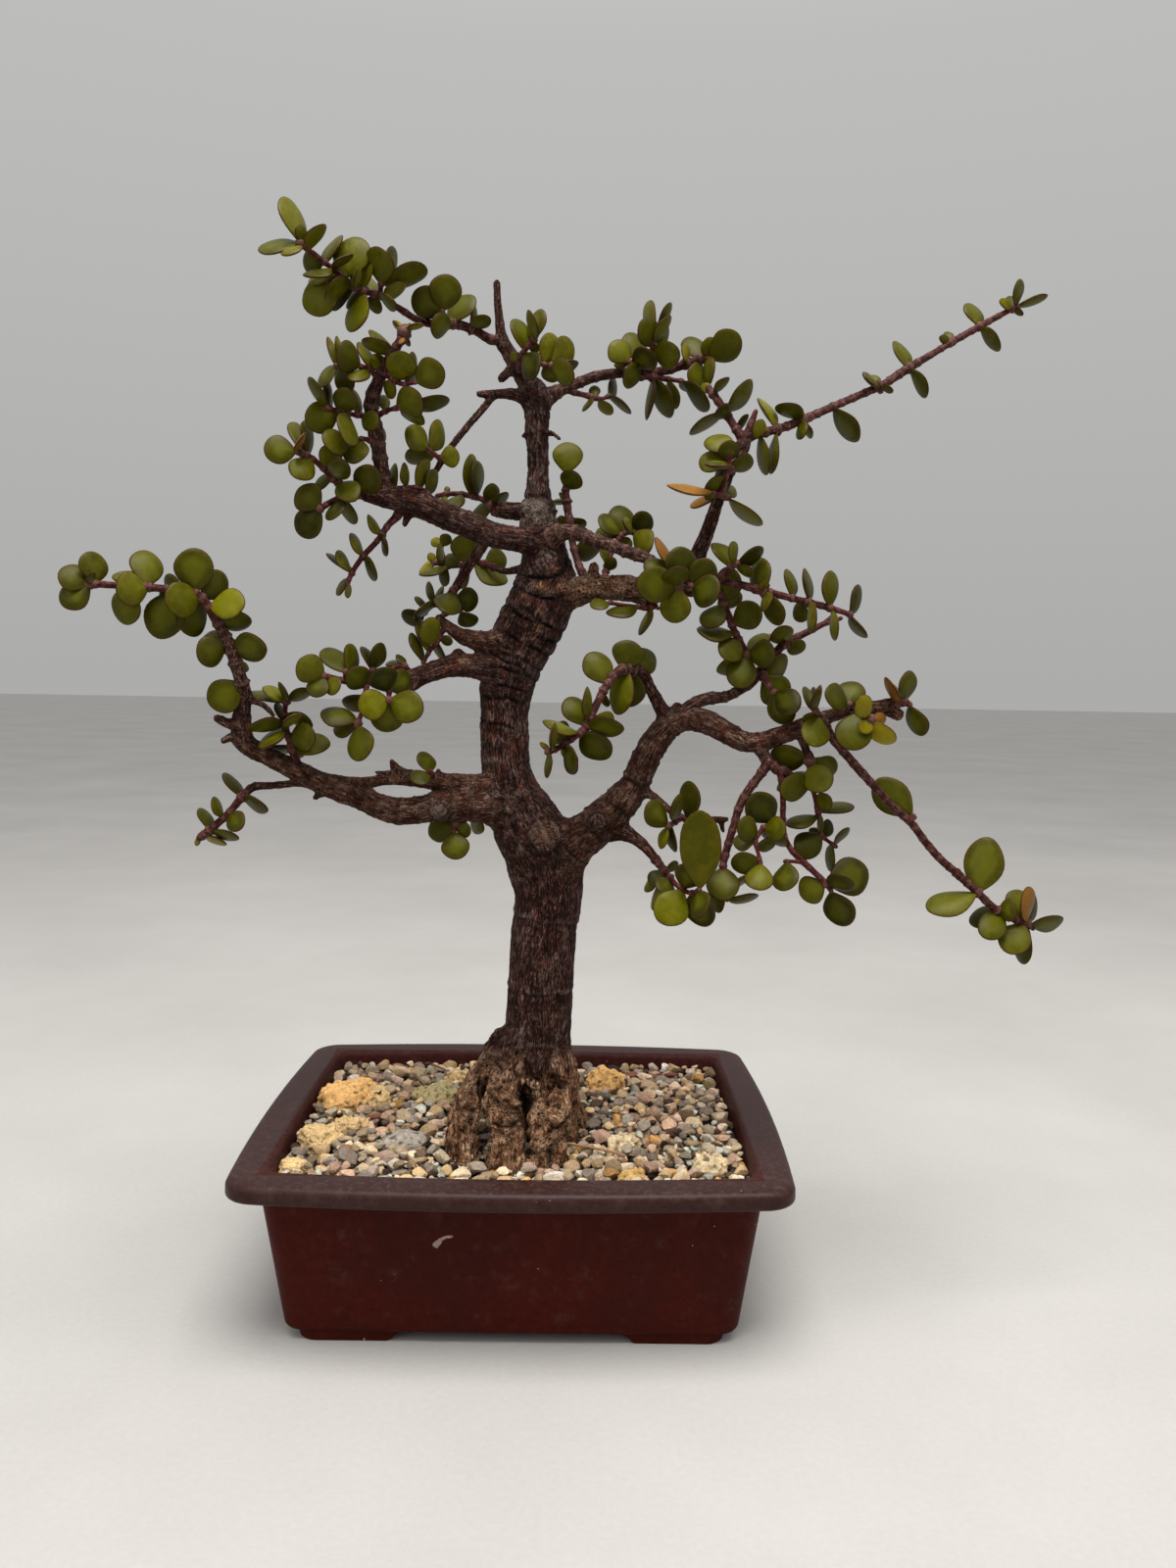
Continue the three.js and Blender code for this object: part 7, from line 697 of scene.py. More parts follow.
            [93.61, -53, 189.05, 91.78, -61.81, 179.95, 0.626, 0.493, -0.604, 11.39, 0],
            [104.22, -49.67, 189.44, 102.78, -57.53, 179.12, -0.785, -0.435, 0.441, 11.61, 0],
            [120.37, -46, 180.55, 111.57, -41.83, 174.34, 0.439, 0.898, -0.019, 11.61, 0],
            [120.85, -46, 179.93, 137.97, -42.29, 185.56, -0.111, 0.951, -0.29, 15.38, 0],
            [120.85, -46, 179.93, 128.68, -56.08, 182.96, -0.308, -0.485, -0.818, 11.09, 0],
            [122.79, -46, 177.47, 129.69, -44.48, 163, 0.693, 0.604, 0.394, 13.77, 0],
            [80.03, -47.27, 186.83, 79.12, -56.72, 174.99, 0.109, 0.773, -0.625, 13.39, 0],
            [80.61, -50.75, 178.11, 75.52, -41.98, 169.27, -0.915, -0.37, 0.16, 10.04, 0],
            [81.27, -52, 174.5, 93.82, -47.1, 174.13, 0.126, -0.392, -0.911, 11.61, 0],
            [80.48, -50.5, 178.83, 91.98, -39.78, 181.37, 0.471, -0.309, -0.826, 11.61, 0],
        ],
    },
    "branch_drooping_right": {
        "stems": [
            [[117.64, -41, 243.72, 2.3], [122.5, -41, 236.89, 1.73], [129, -39, 229.92, 1.74], [135.55, -37, 223.26, 1.75], [142.98, -35, 215.75, 1.56], [150.07, -33, 208.94, 1.57], [157.6, -31, 202.86, 1.58], [164.49, -29, 194.69, 1.59], [171.4, -27, 187.64, 1.6], [178.32, -25, 182.15, 1.61]],
            [[157.74, -29, 203.4, 1.19], [160, -25, 204.95, 1.2]],
            [[178.32, -25, 182.15, 1.61], [184.04, -23, 177.4, 1.62], [189.04, -22, 173.19, 1.62], [194.87, -20, 167.95, 1.63], [200.33, -19, 164.1, 1.43], [206.17, -18, 161.48, 1.43], [211.99, -17, 159.69, 1.23], [214.59, -17, 157.23, 0.82]],
        ],
        "leaves": [
            [159.63, -25.67, 204.7, 145.8, -18.65, 219.03, -0.151, 0.822, -0.549, 14.5, 0],
            [189.04, -22, 173.19, 194.7, -15.53, 195.28, 0.286, 0.897, -0.336, 16.22, 0],
            [189.04, -22, 173.19, 166.79, -26.65, 166.8, 0.216, 0.259, -0.941, 14.5, 0],
            [198.51, -19.33, 165.38, 204.52, -25.57, 166.74, 0.728, 0.674, -0.126, 9.8, 0],
            [206.9, -17.88, 161.26, 210.29, -12.04, 172.9, 0.408, -0.858, 0.311, 11.61, 0],
            [211.99, -17, 159.69, 209.39, -22.75, 175.69, 0.82, -0.569, -0.071, 13.36, 2],
            [211.99, -17, 159.69, 218.76, -6.64, 169.91, 0.82, -0.571, 0.035, 11.61, 0],
            [201.63, -18.78, 163.52, 190.03, -26.16, 155.61, 0.107, -0.801, 0.589, 11.92, 0],
            [198.51, -19.33, 165.38, 189.64, -11.14, 158.95, 0.658, 0.131, -0.741, 11.61, 0],
            [210.53, -17.25, 160.14, 201.71, -23.03, 148.28, 0.613, 0.428, -0.664, 13.37, 0],
            [212.51, -17, 159.2, 211.01, -13.23, 141.58, 0.996, 0, -0.085, 14.5, 0],
            [213.03, -17, 158.71, 226.45, -19.74, 161.32, 0.038, -0.585, -0.81, 13.31, 0],
        ],
    },
    "branch_upper_right": {
        "stems": [
            [[4.65, -16, 312.13, 4.78], [10.36, -23, 314.19, 3.92], [15.46, -26, 316.64, 3.31], [21.32, -28, 315.74, 2.91], [27.16, -30, 313.32, 2.71], [33.72, -32, 311.32, 2.5], [40.63, -34, 308.58, 2.5], [47.48, -36, 306.23, 2.3], [55.78, -39, 301.96, 1.71], [65.09, -42, 298.87, 1.51], [74.36, -44, 297.37, 1.51], [84.33, -46, 295.54, 1.5], [89.11, -47, 294.06, 1.5]],
            [[89.11, -47, 294.06, 1.5], [92.9, -47, 293.01, 1.5], [96.67, -47, 292.34, 1.5], [102.73, -47, 290.96, 1.31], [108.98, -46, 289.64, 1.32], [115.05, -46, 288.25, 1.32], [120.6, -45, 286.91, 1.13], [126.34, -45, 285.14, 0.94]],
            [[76.13, -45, 297.33, 1.5], [76.97, -47, 299.04, 1.31], [79.02, -48, 301.57, 1.12], [81.45, -49, 303.36, 0.93]],
            [[61.06, -40, 300.46, 1.33], [59.99, -49, 297.11, 1.12], [59.1, -56, 294, 0.92]],
            [[59.99, -49, 297.11, 0.93], [64.43, -54, 294.24, 0.92]],
        ],
        "leaves": [
            [103.42, -46.89, 290.81, 103.06, -41.01, 301.85, 0.867, -0.427, 0.256, 11.53, 0],
            [110.5, -46, 289.29, 108.89, -42.18, 302.6, 0.908, -0.361, 0.213, 12.01, 0],
            [110.5, -46, 289.29, 109.88, -58.41, 279.11, 0.998, -0.062, 0.015, 10.63, 0],
            [108.98, -46, 289.64, 106.62, -39.46, 283.05, 0.942, 0.336, -0.004, 8.45, 0],
            [118.52, -45.38, 287.41, 117.79, -46.84, 301.61, 0.838, -0.546, -0.013, 13.1, 0],
            [119.21, -45.25, 287.24, 120.72, -49.83, 275.16, 0.99, -0.036, 0.138, 11.61, 0],
            [126.34, -45, 285.14, 132.06, -39.93, 296.05, 0.864, -0.437, -0.25, 11.61, 0],
            [126.34, -45, 285.14, 132.94, -41.05, 275.99, 0.803, 0.034, 0.594, 11.61, 0],
            [92.9, -47, 293.01, 91.78, -50.96, 296.77, -0.023, -0.685, -0.728, 4.5, 0],
            [92.9, -47, 293.01, 93.27, -53.12, 285.64, 0.955, 0.249, -0.159, 7.75, 0],
            [95.16, -47, 292.61, 98.68, -44.03, 280.21, 0.864, 0.375, 0.335, 11.68, 0],
            [92.9, -47, 293.01, 90.9, -37.18, 306.08, 0.939, 0.329, -0.103, 11.61, 0],
            [79.63, -48.25, 302.02, 74.12, -42.77, 311.99, 0.579, -0.535, 0.615, 11.61, 0],
            [81.45, -49, 303.36, 78.7, -54.37, 310.44, 0.912, -0.408, 0.044, 8.64, 0],
            [81.45, -49, 303.36, 92.49, -44.22, 308.45, 0.513, -0.353, -0.782, 11.61, 0],
            [80.84, -48.75, 302.92, 88.72, -48.83, 297.98, 0.529, 0.109, 0.842, 9.97, 0],
            [59.1, -56, 294, 43.44, -60.81, 293.96, 0.293, -0.953, -0.079, 13.93, 0],
            [59.5, -52.82, 295.41, 47.45, -47.04, 304.36, -0.307, 0.556, -0.772, 13.53, 0],
            [59.34, -54.09, 294.85, 59.9, -55.55, 308.7, 0.581, -0.807, -0.108, 12.86, 0],
            [59.1, -56, 294, 56.8, -65.98, 299.71, 0.14, -0.516, -0.845, 10.96, 0],
            [63.98, -53.5, 294.52, 71.64, -55.9, 303.69, 0.38, -0.766, -0.518, 11.61, 0],
            [64.43, -54, 294.24, 73.86, -63.13, 289.86, -0.65, -0.745, 0.153, 13.36, 0],
            [59.1, -56, 294, 57.12, -54.55, 280.27, -0.697, -0.716, 0.025, 12.71, 0],
            [60.07, -48.31, 297.36, 50.9, -45.71, 313.1, -0.825, 0.227, -0.518, 14.5, 2],
        ],
    },
    "branch_secondary_right": {
        "stems": [
            [[62.4, -31, 243.99, 2.94], [67.37, -31, 248.76, 2.35], [74.07, -30, 251.58, 2.55], [81.23, -29, 252.46, 2.16], [87.19, -28, 255.29, 1.97], [92.36, -27, 258.5, 1.77], [95.53, -26, 263.26, 1.97], [99.53, -25, 266.87, 1.78], [103.87, -24, 272.86, 1.78], [109.09, -23, 276.12, 1.58], [115.53, -22, 279.4, 1.39], [121.77, -22, 282.66, 1.19], [128.28, -21, 284.78, 0.89]],
            [[121.77, -22, 282.66, 0.99], [124.84, -22, 285.86, 0.79]],
            [[95.82, -27, 261.7, 1.38], [96.52, -33, 259.39, 1.17], [99.5, -37, 254.84, 0.97]],
            [[104.66, -24, 272.87, 1.19], [104.53, -29, 274.31, 0.98]],
        ],
        "leaves": [
            [96.05, -29, 260.93, 105.66, -29.55, 251.46, -0.105, -0.993, -0.049, 13.85, 0],
            [99.5, -37, 254.84, 107.34, -47.08, 247.22, -0.836, -0.523, -0.167, 11.61, 0],
            [99.5, -37, 254.84, 105.95, -32.65, 242.15, -0.657, -0.545, -0.521, 12.35, 0],
            [96.05, -29, 260.93, 107.11, -22.85, 268.05, 0.644, -0.581, -0.498, 11.61, 0],
            [105.83, -23.62, 274.08, 101.26, -33.48, 280.13, 0.239, -0.586, -0.774, 10.1, 0],
            [105.83, -23.62, 274.08, 113.97, -21.86, 271.98, 0.083, 0.583, 0.809, 8.65, 0],
        ],
    },
    "branch_top_right": {
        "stems": [
            [[84.05, -37, 348.63, 2.46], [85.25, -36, 351.43, 2.28], [86.34, -36, 352.94, 1.9]],
            [[85.27, -36, 350.69, 1.9], [87.35, -36, 357.4, 1.52], [89.09, -36, 362.61, 0.95]],
            [[84.06, -36, 352.9, 1.71], [80.76, -34, 358.06, 1.52], [77.14, -31, 364.59, 1.53], [73.79, -29, 369.82, 1.53], [71.62, -27, 373.24, 1.35]],
            [[86.34, -36, 352.94, 1.9], [90.01, -34, 354.51, 1.71], [95.25, -32, 356.12, 1.72], [101.44, -29, 358.34, 1.73], [109.78, -25, 362.33, 1.75], [122.5, -19, 368.8, 1.57], [135.49, -13, 375.39, 1.59], [144.3, -9, 379.98, 1.6], [155.13, -5, 387.41, 1.81], [166.11, -1, 394.53, 1.42], [177.23, 3, 401.73, 1.43], [188.51, 7, 408.63, 1.44], [197.57, 10, 414.06, 1.24], [205.15, 12, 418.4, 1.04]],
        ],
        "leaves": [
            [78.13, -31.82, 362.81, 88.28, -34, 374.5, -0.701, 0.273, 0.659, 14.5, 0],
            [77.8, -31.55, 363.4, 64.41, -26.23, 355.95, -0.468, 0.057, 0.882, 14.5, 0],
            [73.43, -28.67, 370.39, 78.56, -32.3, 376.58, -0.698, 0.19, 0.69, 9.88, 0],
            [81.86, -34.67, 356.34, 86.84, -33.4, 361.64, -0.734, 0.261, 0.627, 7.61, 0],
            [73.06, -28.33, 370.96, 69.21, -23.7, 375.48, -0.045, -0.717, 0.696, 4.29, 0],
            [205.15, 12, 418.4, 204.11, 6.04, 427.69, 0.828, -0.51, -0.235, 11.61, 0],
            [205.15, 12, 418.4, 218.52, 14.94, 423.98, -0.38, -0.029, 0.925, 11.97, 0],
            [203.89, 11.67, 417.68, 203.14, 17.55, 424.08, -0.627, -0.609, 0.486, 4.56, 0],
            [203.26, 11.5, 417.32, 196.25, 7, 419.12, 0.567, -0.734, 0.373, 4.88, 0],
            [203.26, 11.5, 417.32, 207.28, 8.31, 414.55, 0.623, 0.112, 0.774, 4.22, 0],
            [187.92, 6.79, 408.26, 185.77, 12.77, 419.87, 0.559, -0.69, 0.459, 11.59, 0],
            [188.51, 7, 408.63, 196.41, 3.42, 398.24, 0.783, -0.069, 0.619, 11.84, 0],
            [176.06, 2.58, 400.97, 174.09, 6.74, 406.28, 0.155, -0.749, 0.644, 4.08, 0],
            [174.89, 2.16, 400.22, 169.32, -1.47, 401.54, 0.57, -0.782, 0.254, 3.92, 0],
            [155.7, -4.79, 387.78, 151.72, -0.7, 400.24, 0.667, -0.618, 0.416, 11.61, 0],
            [156.28, -4.58, 388.16, 163.48, -8.45, 376.17, 0.85, -0.047, 0.525, 12.56, 0],
            [143.12, -9.53, 379.37, 140.79, -4.51, 385.3, 0.221, -0.7, 0.679, 4.58, 0],
            [143.12, -9.53, 379.37, 134.56, -17.58, 381.21, 0.568, -0.446, 0.692, 8.28, 0],
            [143.12, -9.53, 379.37, 147.47, -14.2, 376.5, 0.606, 0.078, 0.791, 4.48, 0],
            [122.5, -19, 368.8, 133.69, -17.01, 355.96, 0.739, 0.123, 0.663, 14.5, 0],
            [109.78, -25, 362.33, 106.23, -20.18, 367.1, 0.267, -0.571, 0.776, 4.47, 0],
            [109.78, -25, 362.33, 113.06, -23.39, 355.12, 0.912, -0.022, 0.41, 8.83, 0],
            [98.35, -30.5, 357.23, 92.22, -26.48, 370.37, 0.772, -0.41, 0.486, 12.78, 0],
            [93.94, -32.5, 355.72, 87.67, -42.57, 355.78, 0.753, -0.471, -0.459, 7.66, 0],
            [91.32, -33.5, 354.91, 95.03, -31.8, 339.28, 0.97, 0.058, 0.236, 14.5, 0],
            [98.35, -30.5, 357.23, 97.05, -28.65, 340.21, 0.997, 0.043, -0.071, 14.5, 0],
            [109.18, -25.29, 362.04, 98.33, -32.24, 366.19, 0.292, 0.111, 0.95, 11.61, 0],
            [108.59, -25.57, 361.76, 108.12, -33.23, 353.88, 0.956, 0.181, -0.233, 7.06, 0],
            [79.11, -32.64, 361.03, 74.24, -40.26, 363.37, -0.503, 0.531, 0.682, 7.63, 0],
        ],
    },
    "shoot_top_right_cluster": {
        "stems": [
            [[79.89, -39, 338.94, 1.51], [77.98, -45, 339.37, 1.12], [77.53, -48, 341.75, 0.93], [78.8, -49, 344.85, 0.74]],
            [[76.33, -39, 330.71, 1.51], [75.15, -46, 329.29, 1.12], [72.18, -49, 329.52, 0.74]],
            [[76.6, -40, 330.2, 1.13], [79.29, -40, 328.76, 0.76]],
            [[77.98, -45, 339.37, 1.12], [76.39, -47, 333.9, 0.93], [75.15, -46, 329.29, 1.12]],
        ],
        "leaves": [
            [77.62, -47.4, 341.28, 77.64, -51.71, 348.44, 0.552, -0.714, -0.431, 8.82, 0],
            [77.89, -45.6, 339.85, 67.96, -40.45, 344.64, -0.028, -0.709, 0.705, 11.61, 0],
            [77.89, -45.6, 339.85, 87.65, -45.08, 341.75, -0.196, 0.386, 0.902, 10.6, 0],
            [77.71, -46.8, 340.8, 68.53, -60.19, 337.33, 0, -0.251, 0.968, 8.45, 0],
            [78.8, -49, 344.85, 70.69, -40.44, 351.71, -0.002, -0.627, 0.779, 11.19, 0],
            [78.19, -44.33, 339.32, 73.21, -38.25, 337.09, -0.748, -0.426, 0.508, 7.05, 0],
            [77.27, -40, 329.84, 69.97, -50.18, 334.28, 0.476, -0.615, -0.629, 11.35, 0],
            [72.18, -49, 329.52, 54.14, -52.17, 330.52, 0.101, -0.27, 0.958, 14.5, 2],
            [76.6, -40, 330.2, 65.47, -30.58, 327.61, 0.391, 0.215, -0.895, 11.61, 2],
            [78.61, -40, 329.12, 92.04, -37.84, 318.47, 0.613, 0.069, 0.787, 14.5, 0],
            [77.94, -40, 329.48, 82.76, -26.47, 335.74, 0.515, -0.504, 0.693, 6.04, 0],
        ],
    },
    "shoot_inner_left": {
        "stems": [
            [[-32.02, -31.29, 342.85, 1.15], [-31.55, -31.5, 342.68, 1.15], [-33.05, -35, 343.15, 0.95], [-34.97, -38, 344.06, 0.85], [-36.85, -41, 345.32, 0.66]],
        ],
        "leaves": [
            [-36.47, -40.4, 345.07, -44.7, -46.1, 351.33, 0.703, -0.609, 0.369, 11.61, 0],
            [-36.1, -39.8, 344.82, -32.08, -32.58, 357.13, -0.951, 0.269, 0.153, 11.61, 0],
            [-34.59, -37.4, 343.88, -45.73, -32.59, 342.51, -0.027, 0.216, 0.976, 11.47, 0],
            [-33.05, -35, 343.15, -25.28, -33.17, 344.23, 0.141, -0.874, 0.465, 8.59, 0],
        ],
    },
}
# large stones: [x, y, z, half sizes xyz, turn, seed, kind]
STONES = [
    [-78.35, 21.33, 66.48, 14.26, 12.12, 8.5, 0.3, 1, "orange"],
    [-66.7, 18.6, 66.63, 7.33, 6.6, 6.23, 1, 2, "tan"],
    [-83.3, -24.68, 65.69, 9.39, 7.51, 6.6, 0.2, 3, "tan"],
    [-74.12, -11.58, 65.45, 8.39, 6.71, 4.99, 0.7, 4, "tan"],
    [-46.42, -26.05, 64.93, 11.41, 9.13, 4.85, 0.1, 5, "grey"],
    [-39.77, 27.66, 65.68, 11.3, 9.04, 6.53, 0.4, 6, "green"],
    [-32.59, 49.78, 65.86, 6.12, 5.51, 4.4, 0.9, 7, "tan"],
    [-87.12, -53.21, 64.84, 5.78, 5.2, 4.26, 0.5, 8, "tan"],
    [38.85, 46.11, 66.77, 10.06, 8.55, 7.16, 0.3, 9, "orange"],
    [44.51, -25.59, 64.93, 7.77, 6.6, 4.87, 0.6, 11, "pale"],
    [77.72, -47.13, 65, 8.41, 6.73, 5.32, 0.2, 12, "pale"],
    [46.31, -57.8, 64.51, 6.69, 6.02, 3.41, 0.4, 13, "olive"],
]
# smaller stones among the grains: [x, y, half size, kind]
PEBBLES = [
    [58.56, 45.63, 6.09, "tan"],
    [16.51, -60.5, 5.33, "grey"],
    [61.82, -50.93, 4.28, "orange"],
    [68.58, -45.06, 4.72, "tan"],
    [-70.52, -2.57, 3.21, "orange"],
    [-49.51, -25.83, 3.47, "tan"],
    [-58.59, -46.07, 3.53, "grey"],
    [-75.5, -45.63, 4.7, "tan"],
    [-59.35, -52.7, 3.86, "tan"],
    [31.75, 0.95, 4.31, "orange"],
    [29.41, -20.12, 4.14, "tan"],
    [24.47, -38.66, 3.19, "tan"],
    [46.37, -10.93, 2.95, "tan"],
    [57.78, 40.23, 4.18, "orange"],
    [64.72, -34.43, 4.02, "tan"],
    [80.42, -61.33, 4.18, "orange"],
    [71.64, -61.58, 3.8, "tan"],
    [89.78, -18.16, 3.75, "grey"],
    [71.97, -7.87, 4.24, "grey"],
    [-53.8, 42.69, 5.12, "tan"],
    [-65.46, 51.84, 4.73, "grey"],
    [-81.8, 48.43, 4.7, "grey"],
    [-47.66, 68.3, 3.89, "tan"],
    [-32.86, 65.96, 3.63, "tan"],
    [-49.7, 13.45, 3.97, "grey"],
    [-54.48, 1.43, 3.66, "tan"],
    [25.3, 63.93, 4.83, "tan"],
    [30.04, 52.77, 4.27, "orange"],
    [85.63, 57.73, 4.31, "tan"],
    [94.42, 28.58, 4.55, "tan"],
    [96.51, 10.21, 3.96, "grey"],
    [19.41, -48.45, 2.73, "grey"],
    [-89.92, -39.27, 3.57, "grey"],
    [-68.21, -58.48, 3.43, "tan"],
    [-34.06, -0.17, 3.44, "tan"],
]

RIM_W, RIM_D, POT_H, LIP = 220.0, 178.7, 71.6, 8.4
OVERHANG, RIM_LAND = 11.2, 15.7
BASE_W, BASE_D = 181.4, 133.0
FOOT_H, FOOT_L, FOOT_B = 4.0, 37.0, 27.0
FLOOR_T, WALL_T, CORNER_R = 3.6, 4.0, 12.0
BOW_FRONT, BOW_SIDE = 4.3, 2.7
DRAIN_D, DRAIN_X = 15.0, 46.0
SOIL_TOP, GRAVEL_TOP = 57.5, 63.2

# the viewpoint, millimetres from the pot centre
FOCAL = 1205.3
PITCH, YAW, ROLL = math.radians(5.332), math.radians(0.579), math.radians(0.955)
EYE = np.array([22.05, -503.05, 260.74])
FW = np.array([math.sin(YAW) * math.cos(PITCH), math.cos(YAW) * math.cos(PITCH), -math.sin(PITCH)])
_r = np.array([math.cos(YAW), -math.sin(YAW), 0.0])
_u = np.cross(_r, FW)
RT = math.cos(ROLL) * _r + math.sin(ROLL) * _u
UP = -math.sin(ROLL) * _r + math.cos(ROLL) * _u


def project(p):
    """Frame position (600, 800 is the middle) and depth of points."""
    d = np.asarray(p) - EYE
    z = d @ FW
    return 600 + FOCAL * (d @ RT) / z, 800 - FOCAL * (d @ UP) / z, z


def at_y(u, v, y):
    """The point seen at u, v on the plane y."""
    d = FW + (u - 600) / FOCAL * RT - (v - 800) / FOCAL * UP
    return EYE + d * ((y - EYE[1]) / d[1])


def at_z(u, v, z):
    d = FW + (u - 600) / FOCAL * RT - (v - 800) / FOCAL * UP
    return EYE + d * ((z - EYE[2]) / d[2])


def lin(r, g, b):
    """8-bit display colour to a linear one."""
    f = lambda c: c / 12.92 if c <= 0.04045 else ((c + 0.055) / 1.055) ** 2.4
    return (f(r / 255), f(g / 255), f(b / 255), 1.0)


# ------------------------------------------------------------------ noise
def _hash(x, y, z, seed):
    h = x * np.uint32(374761393) + y * np.uint32(668265263) + z * np.uint32(2246822519) + np.uint32((seed * 3266489917) & 0xFFFFFFFF)
    h ^= h >> np.uint32(13)
    h *= np.uint32(1274126177)
    h ^= h >> np.uint32(16)
    h *= np.uint32(2654435761)
    h ^= h >> np.uint32(15)
    return h


def noise(p, seed=0):
    """Gradient noise, about -1 to 1."""
    p = np.asarray(p, np.float64)
    i = np.floor(p)
    f = (p - i).astype(F4)
    i = i.astype(np.int64).astype(np.uint32)
    u = f * f * f * (f * (f * 6 - 15) + 10)
    out = np.zeros(len(p), F4)
    for dx in (0, 1):
        wx = u[:, 0] if dx else 1 - u[:, 0]
        for dy in (0, 1):
            wy = u[:, 1] if dy else 1 - u[:, 1]
            for dz in (0, 1):
                wz = u[:, 2] if dz else 1 - u[:, 2]
                h = _hash(i[:, 0] + np.uint32(dx), i[:, 1] + np.uint32(dy), i[:, 2] + np.uint32(dz), seed)
                gx = (h & np.uint32(255)).astype(F4) / 127.5 - 1
                gy = ((h >> np.uint32(8)) & np.uint32(255)).astype(F4) / 127.5 - 1
                gz = ((h >> np.uint32(16)) & np.uint32(255)).astype(F4) / 127.5 - 1
                out += wx * wy * wz * (gx * (f[:, 0] - dx) + gy * (f[:, 1] - dy) + gz * (f[:, 2] - dz))
    return out * 1.5


def fbm(p, octaves=3, seed=0, gain=0.5):
    out, amp, tot = 0, 1.0, 0
    p = np.asarray(p, np.float64)
    for k in range(octaves):
        out = out + amp * noise(p * 2.03 ** k + 17.3 * k, seed + k)
        tot += amp
        amp *= gain
    return out / tot


def ridged(p, seed=0):
    return 1 - np.clip(np.abs(noise(p, seed)) * 2.6, 0, 1)


# ------------------------------------------------------------------ mesh building
def put(name, verts, faces, attrs=None, mat=None, replaces=(), smooth=True, mm=True, sizes=None):
    """A mesh object from arrays; faces is an (n, 3 or 4) array, or a flat list with sizes."""
    me = bpy.data.meshes.new(name)
    v = np.asarray(verts, np.float64)
    if mm:
        v = (v - np.array([CX, 0, 0])) * 0.001
    me.vertices.add(len(v))
    me.vertices.foreach_set("co", v.astype(F4).ravel())
    if sizes is None:
        f = np.asarray(faces, np.int32)
        sizes = np.full(len(f), f.shape[1], np.int32)
        f = f.ravel()
    else:
        f = np.asarray(faces, np.int32)
        sizes = np.asarray(sizes, np.int32)
    me.loops.add(len(f))
    me.loops.foreach_set("vertex_index", f)
    me.polygons.add(len(sizes))
    me.polygons.foreach_set("loop_start", np.concatenate([[0], np.cumsum(sizes)[:-1]]).astype(np.int32))
    me.polygons.foreach_set("use_smooth", np.full(len(sizes), bool(smooth)))
    me.update(calc_edges=True)
    me.validate()
    for k, a in (attrs or {}).items():
        a = np.asarray(a, F4)
        if a.ndim == 1:
            me.attributes.new(k, "FLOAT", "POINT").data.foreach_set("value", a)
        elif a.shape[1] == 3:
            me.attributes.new(k, "FLOAT_VECTOR", "POINT").data.foreach_set("vector", a.ravel())
        else:
            me.attributes.new(k, "FLOAT_COLOR", "POINT").data.foreach_set("color", a.ravel())
    ob = bpy.data.objects.new(name, me)
    bpy.context.scene.collection.objects.link(ob)
    if mat is not None:
        me.materials.append(mat)
    finish_piece(ob, replaces)
    return ob


def finish_piece(ob, replaces=()):
    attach(ob, "root")
    if replaces:
        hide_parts(*replaces)


def normals_of(v, tri):
    a, b, c = v[tri[:, 0]], v[tri[:, 1]], v[tri[:, 2]]
    n = np.cross(b - a, c - a)
    out = np.zeros_like(v)
    for k in range(3):
        for j in range(3):
            out[:, j] += np.bincount(tri[:, k], n[:, j], len(v))
    return out / np.maximum(np.linalg.norm(out, axis=1)[:, None], 1e-12)


def smooth_line(t, step):
    """A smooth curve through [x, y, z, r] points, with a point every step."""
    t = np.asarray(t, float)
    if len(t) < 2:
        return t
    h = np.maximum(np.linalg.norm(np.diff(t[:, :3], axis=0), axis=1), 1e-6)
    sl = np.diff(t, axis=0) / h[:, None]
    m = np.empty_like(t)
    m[0], m[-1] = sl[0], sl[-1]
    for i in range(1, len(t) - 1):
        m[i] = (sl[i - 1] * h[i] + sl[i] * h[i - 1]) / (h[i] + h[i - 1])
    out = []
    for i in range(len(t) - 1):
        n = max(1, int(round(h[i] / step)))
        for j in range(n):
            x = j / n
            q = (2 * x ** 3 - 3 * x ** 2 + 1) * t[i] + (x ** 3 - 2 * x ** 2 + x) * h[i] * m[i] + (-2 * x ** 3 + 3 * x ** 2) * t[i + 1] + (x ** 3 - x ** 2) * h[i] * m[i + 1]
            lo, hi = min(t[i, 3], t[i + 1, 3]), max(t[i, 3], t[i + 1, 3])
            q[3] = min(max(q[3], lo * 0.96), hi * 1.04)
            out.append(q)
    out.append(t[-1])
    return np.array(out)


def frames_of(p):
    """Tangents and turning-free side vectors along a curve."""
    n = len(p)
    T = np.empty((n, 3))
    T[1:-1] = p[2:, :3] - p[:-2, :3]
    T[0], T[-1] = p[1, :3] - p[0, :3], p[-1, :3] - p[-2, :3]
    T /= np.maximum(np.linalg.norm(T, axis=1)[:, None], 1e-9)
    N = np.empty((n, 3))
    a = np.array([0, 0, 1.0]) if abs(T[0, 2]) < 0.9 else np.array([1.0, 0, 0])
    v = np.cross(T[0], a)
    for i in range(n):
        v = v - T[i] * (v @ T[i])
        v /= np.linalg.norm(v)
        N[i] = v
    return T, N, np.cross(T, N)


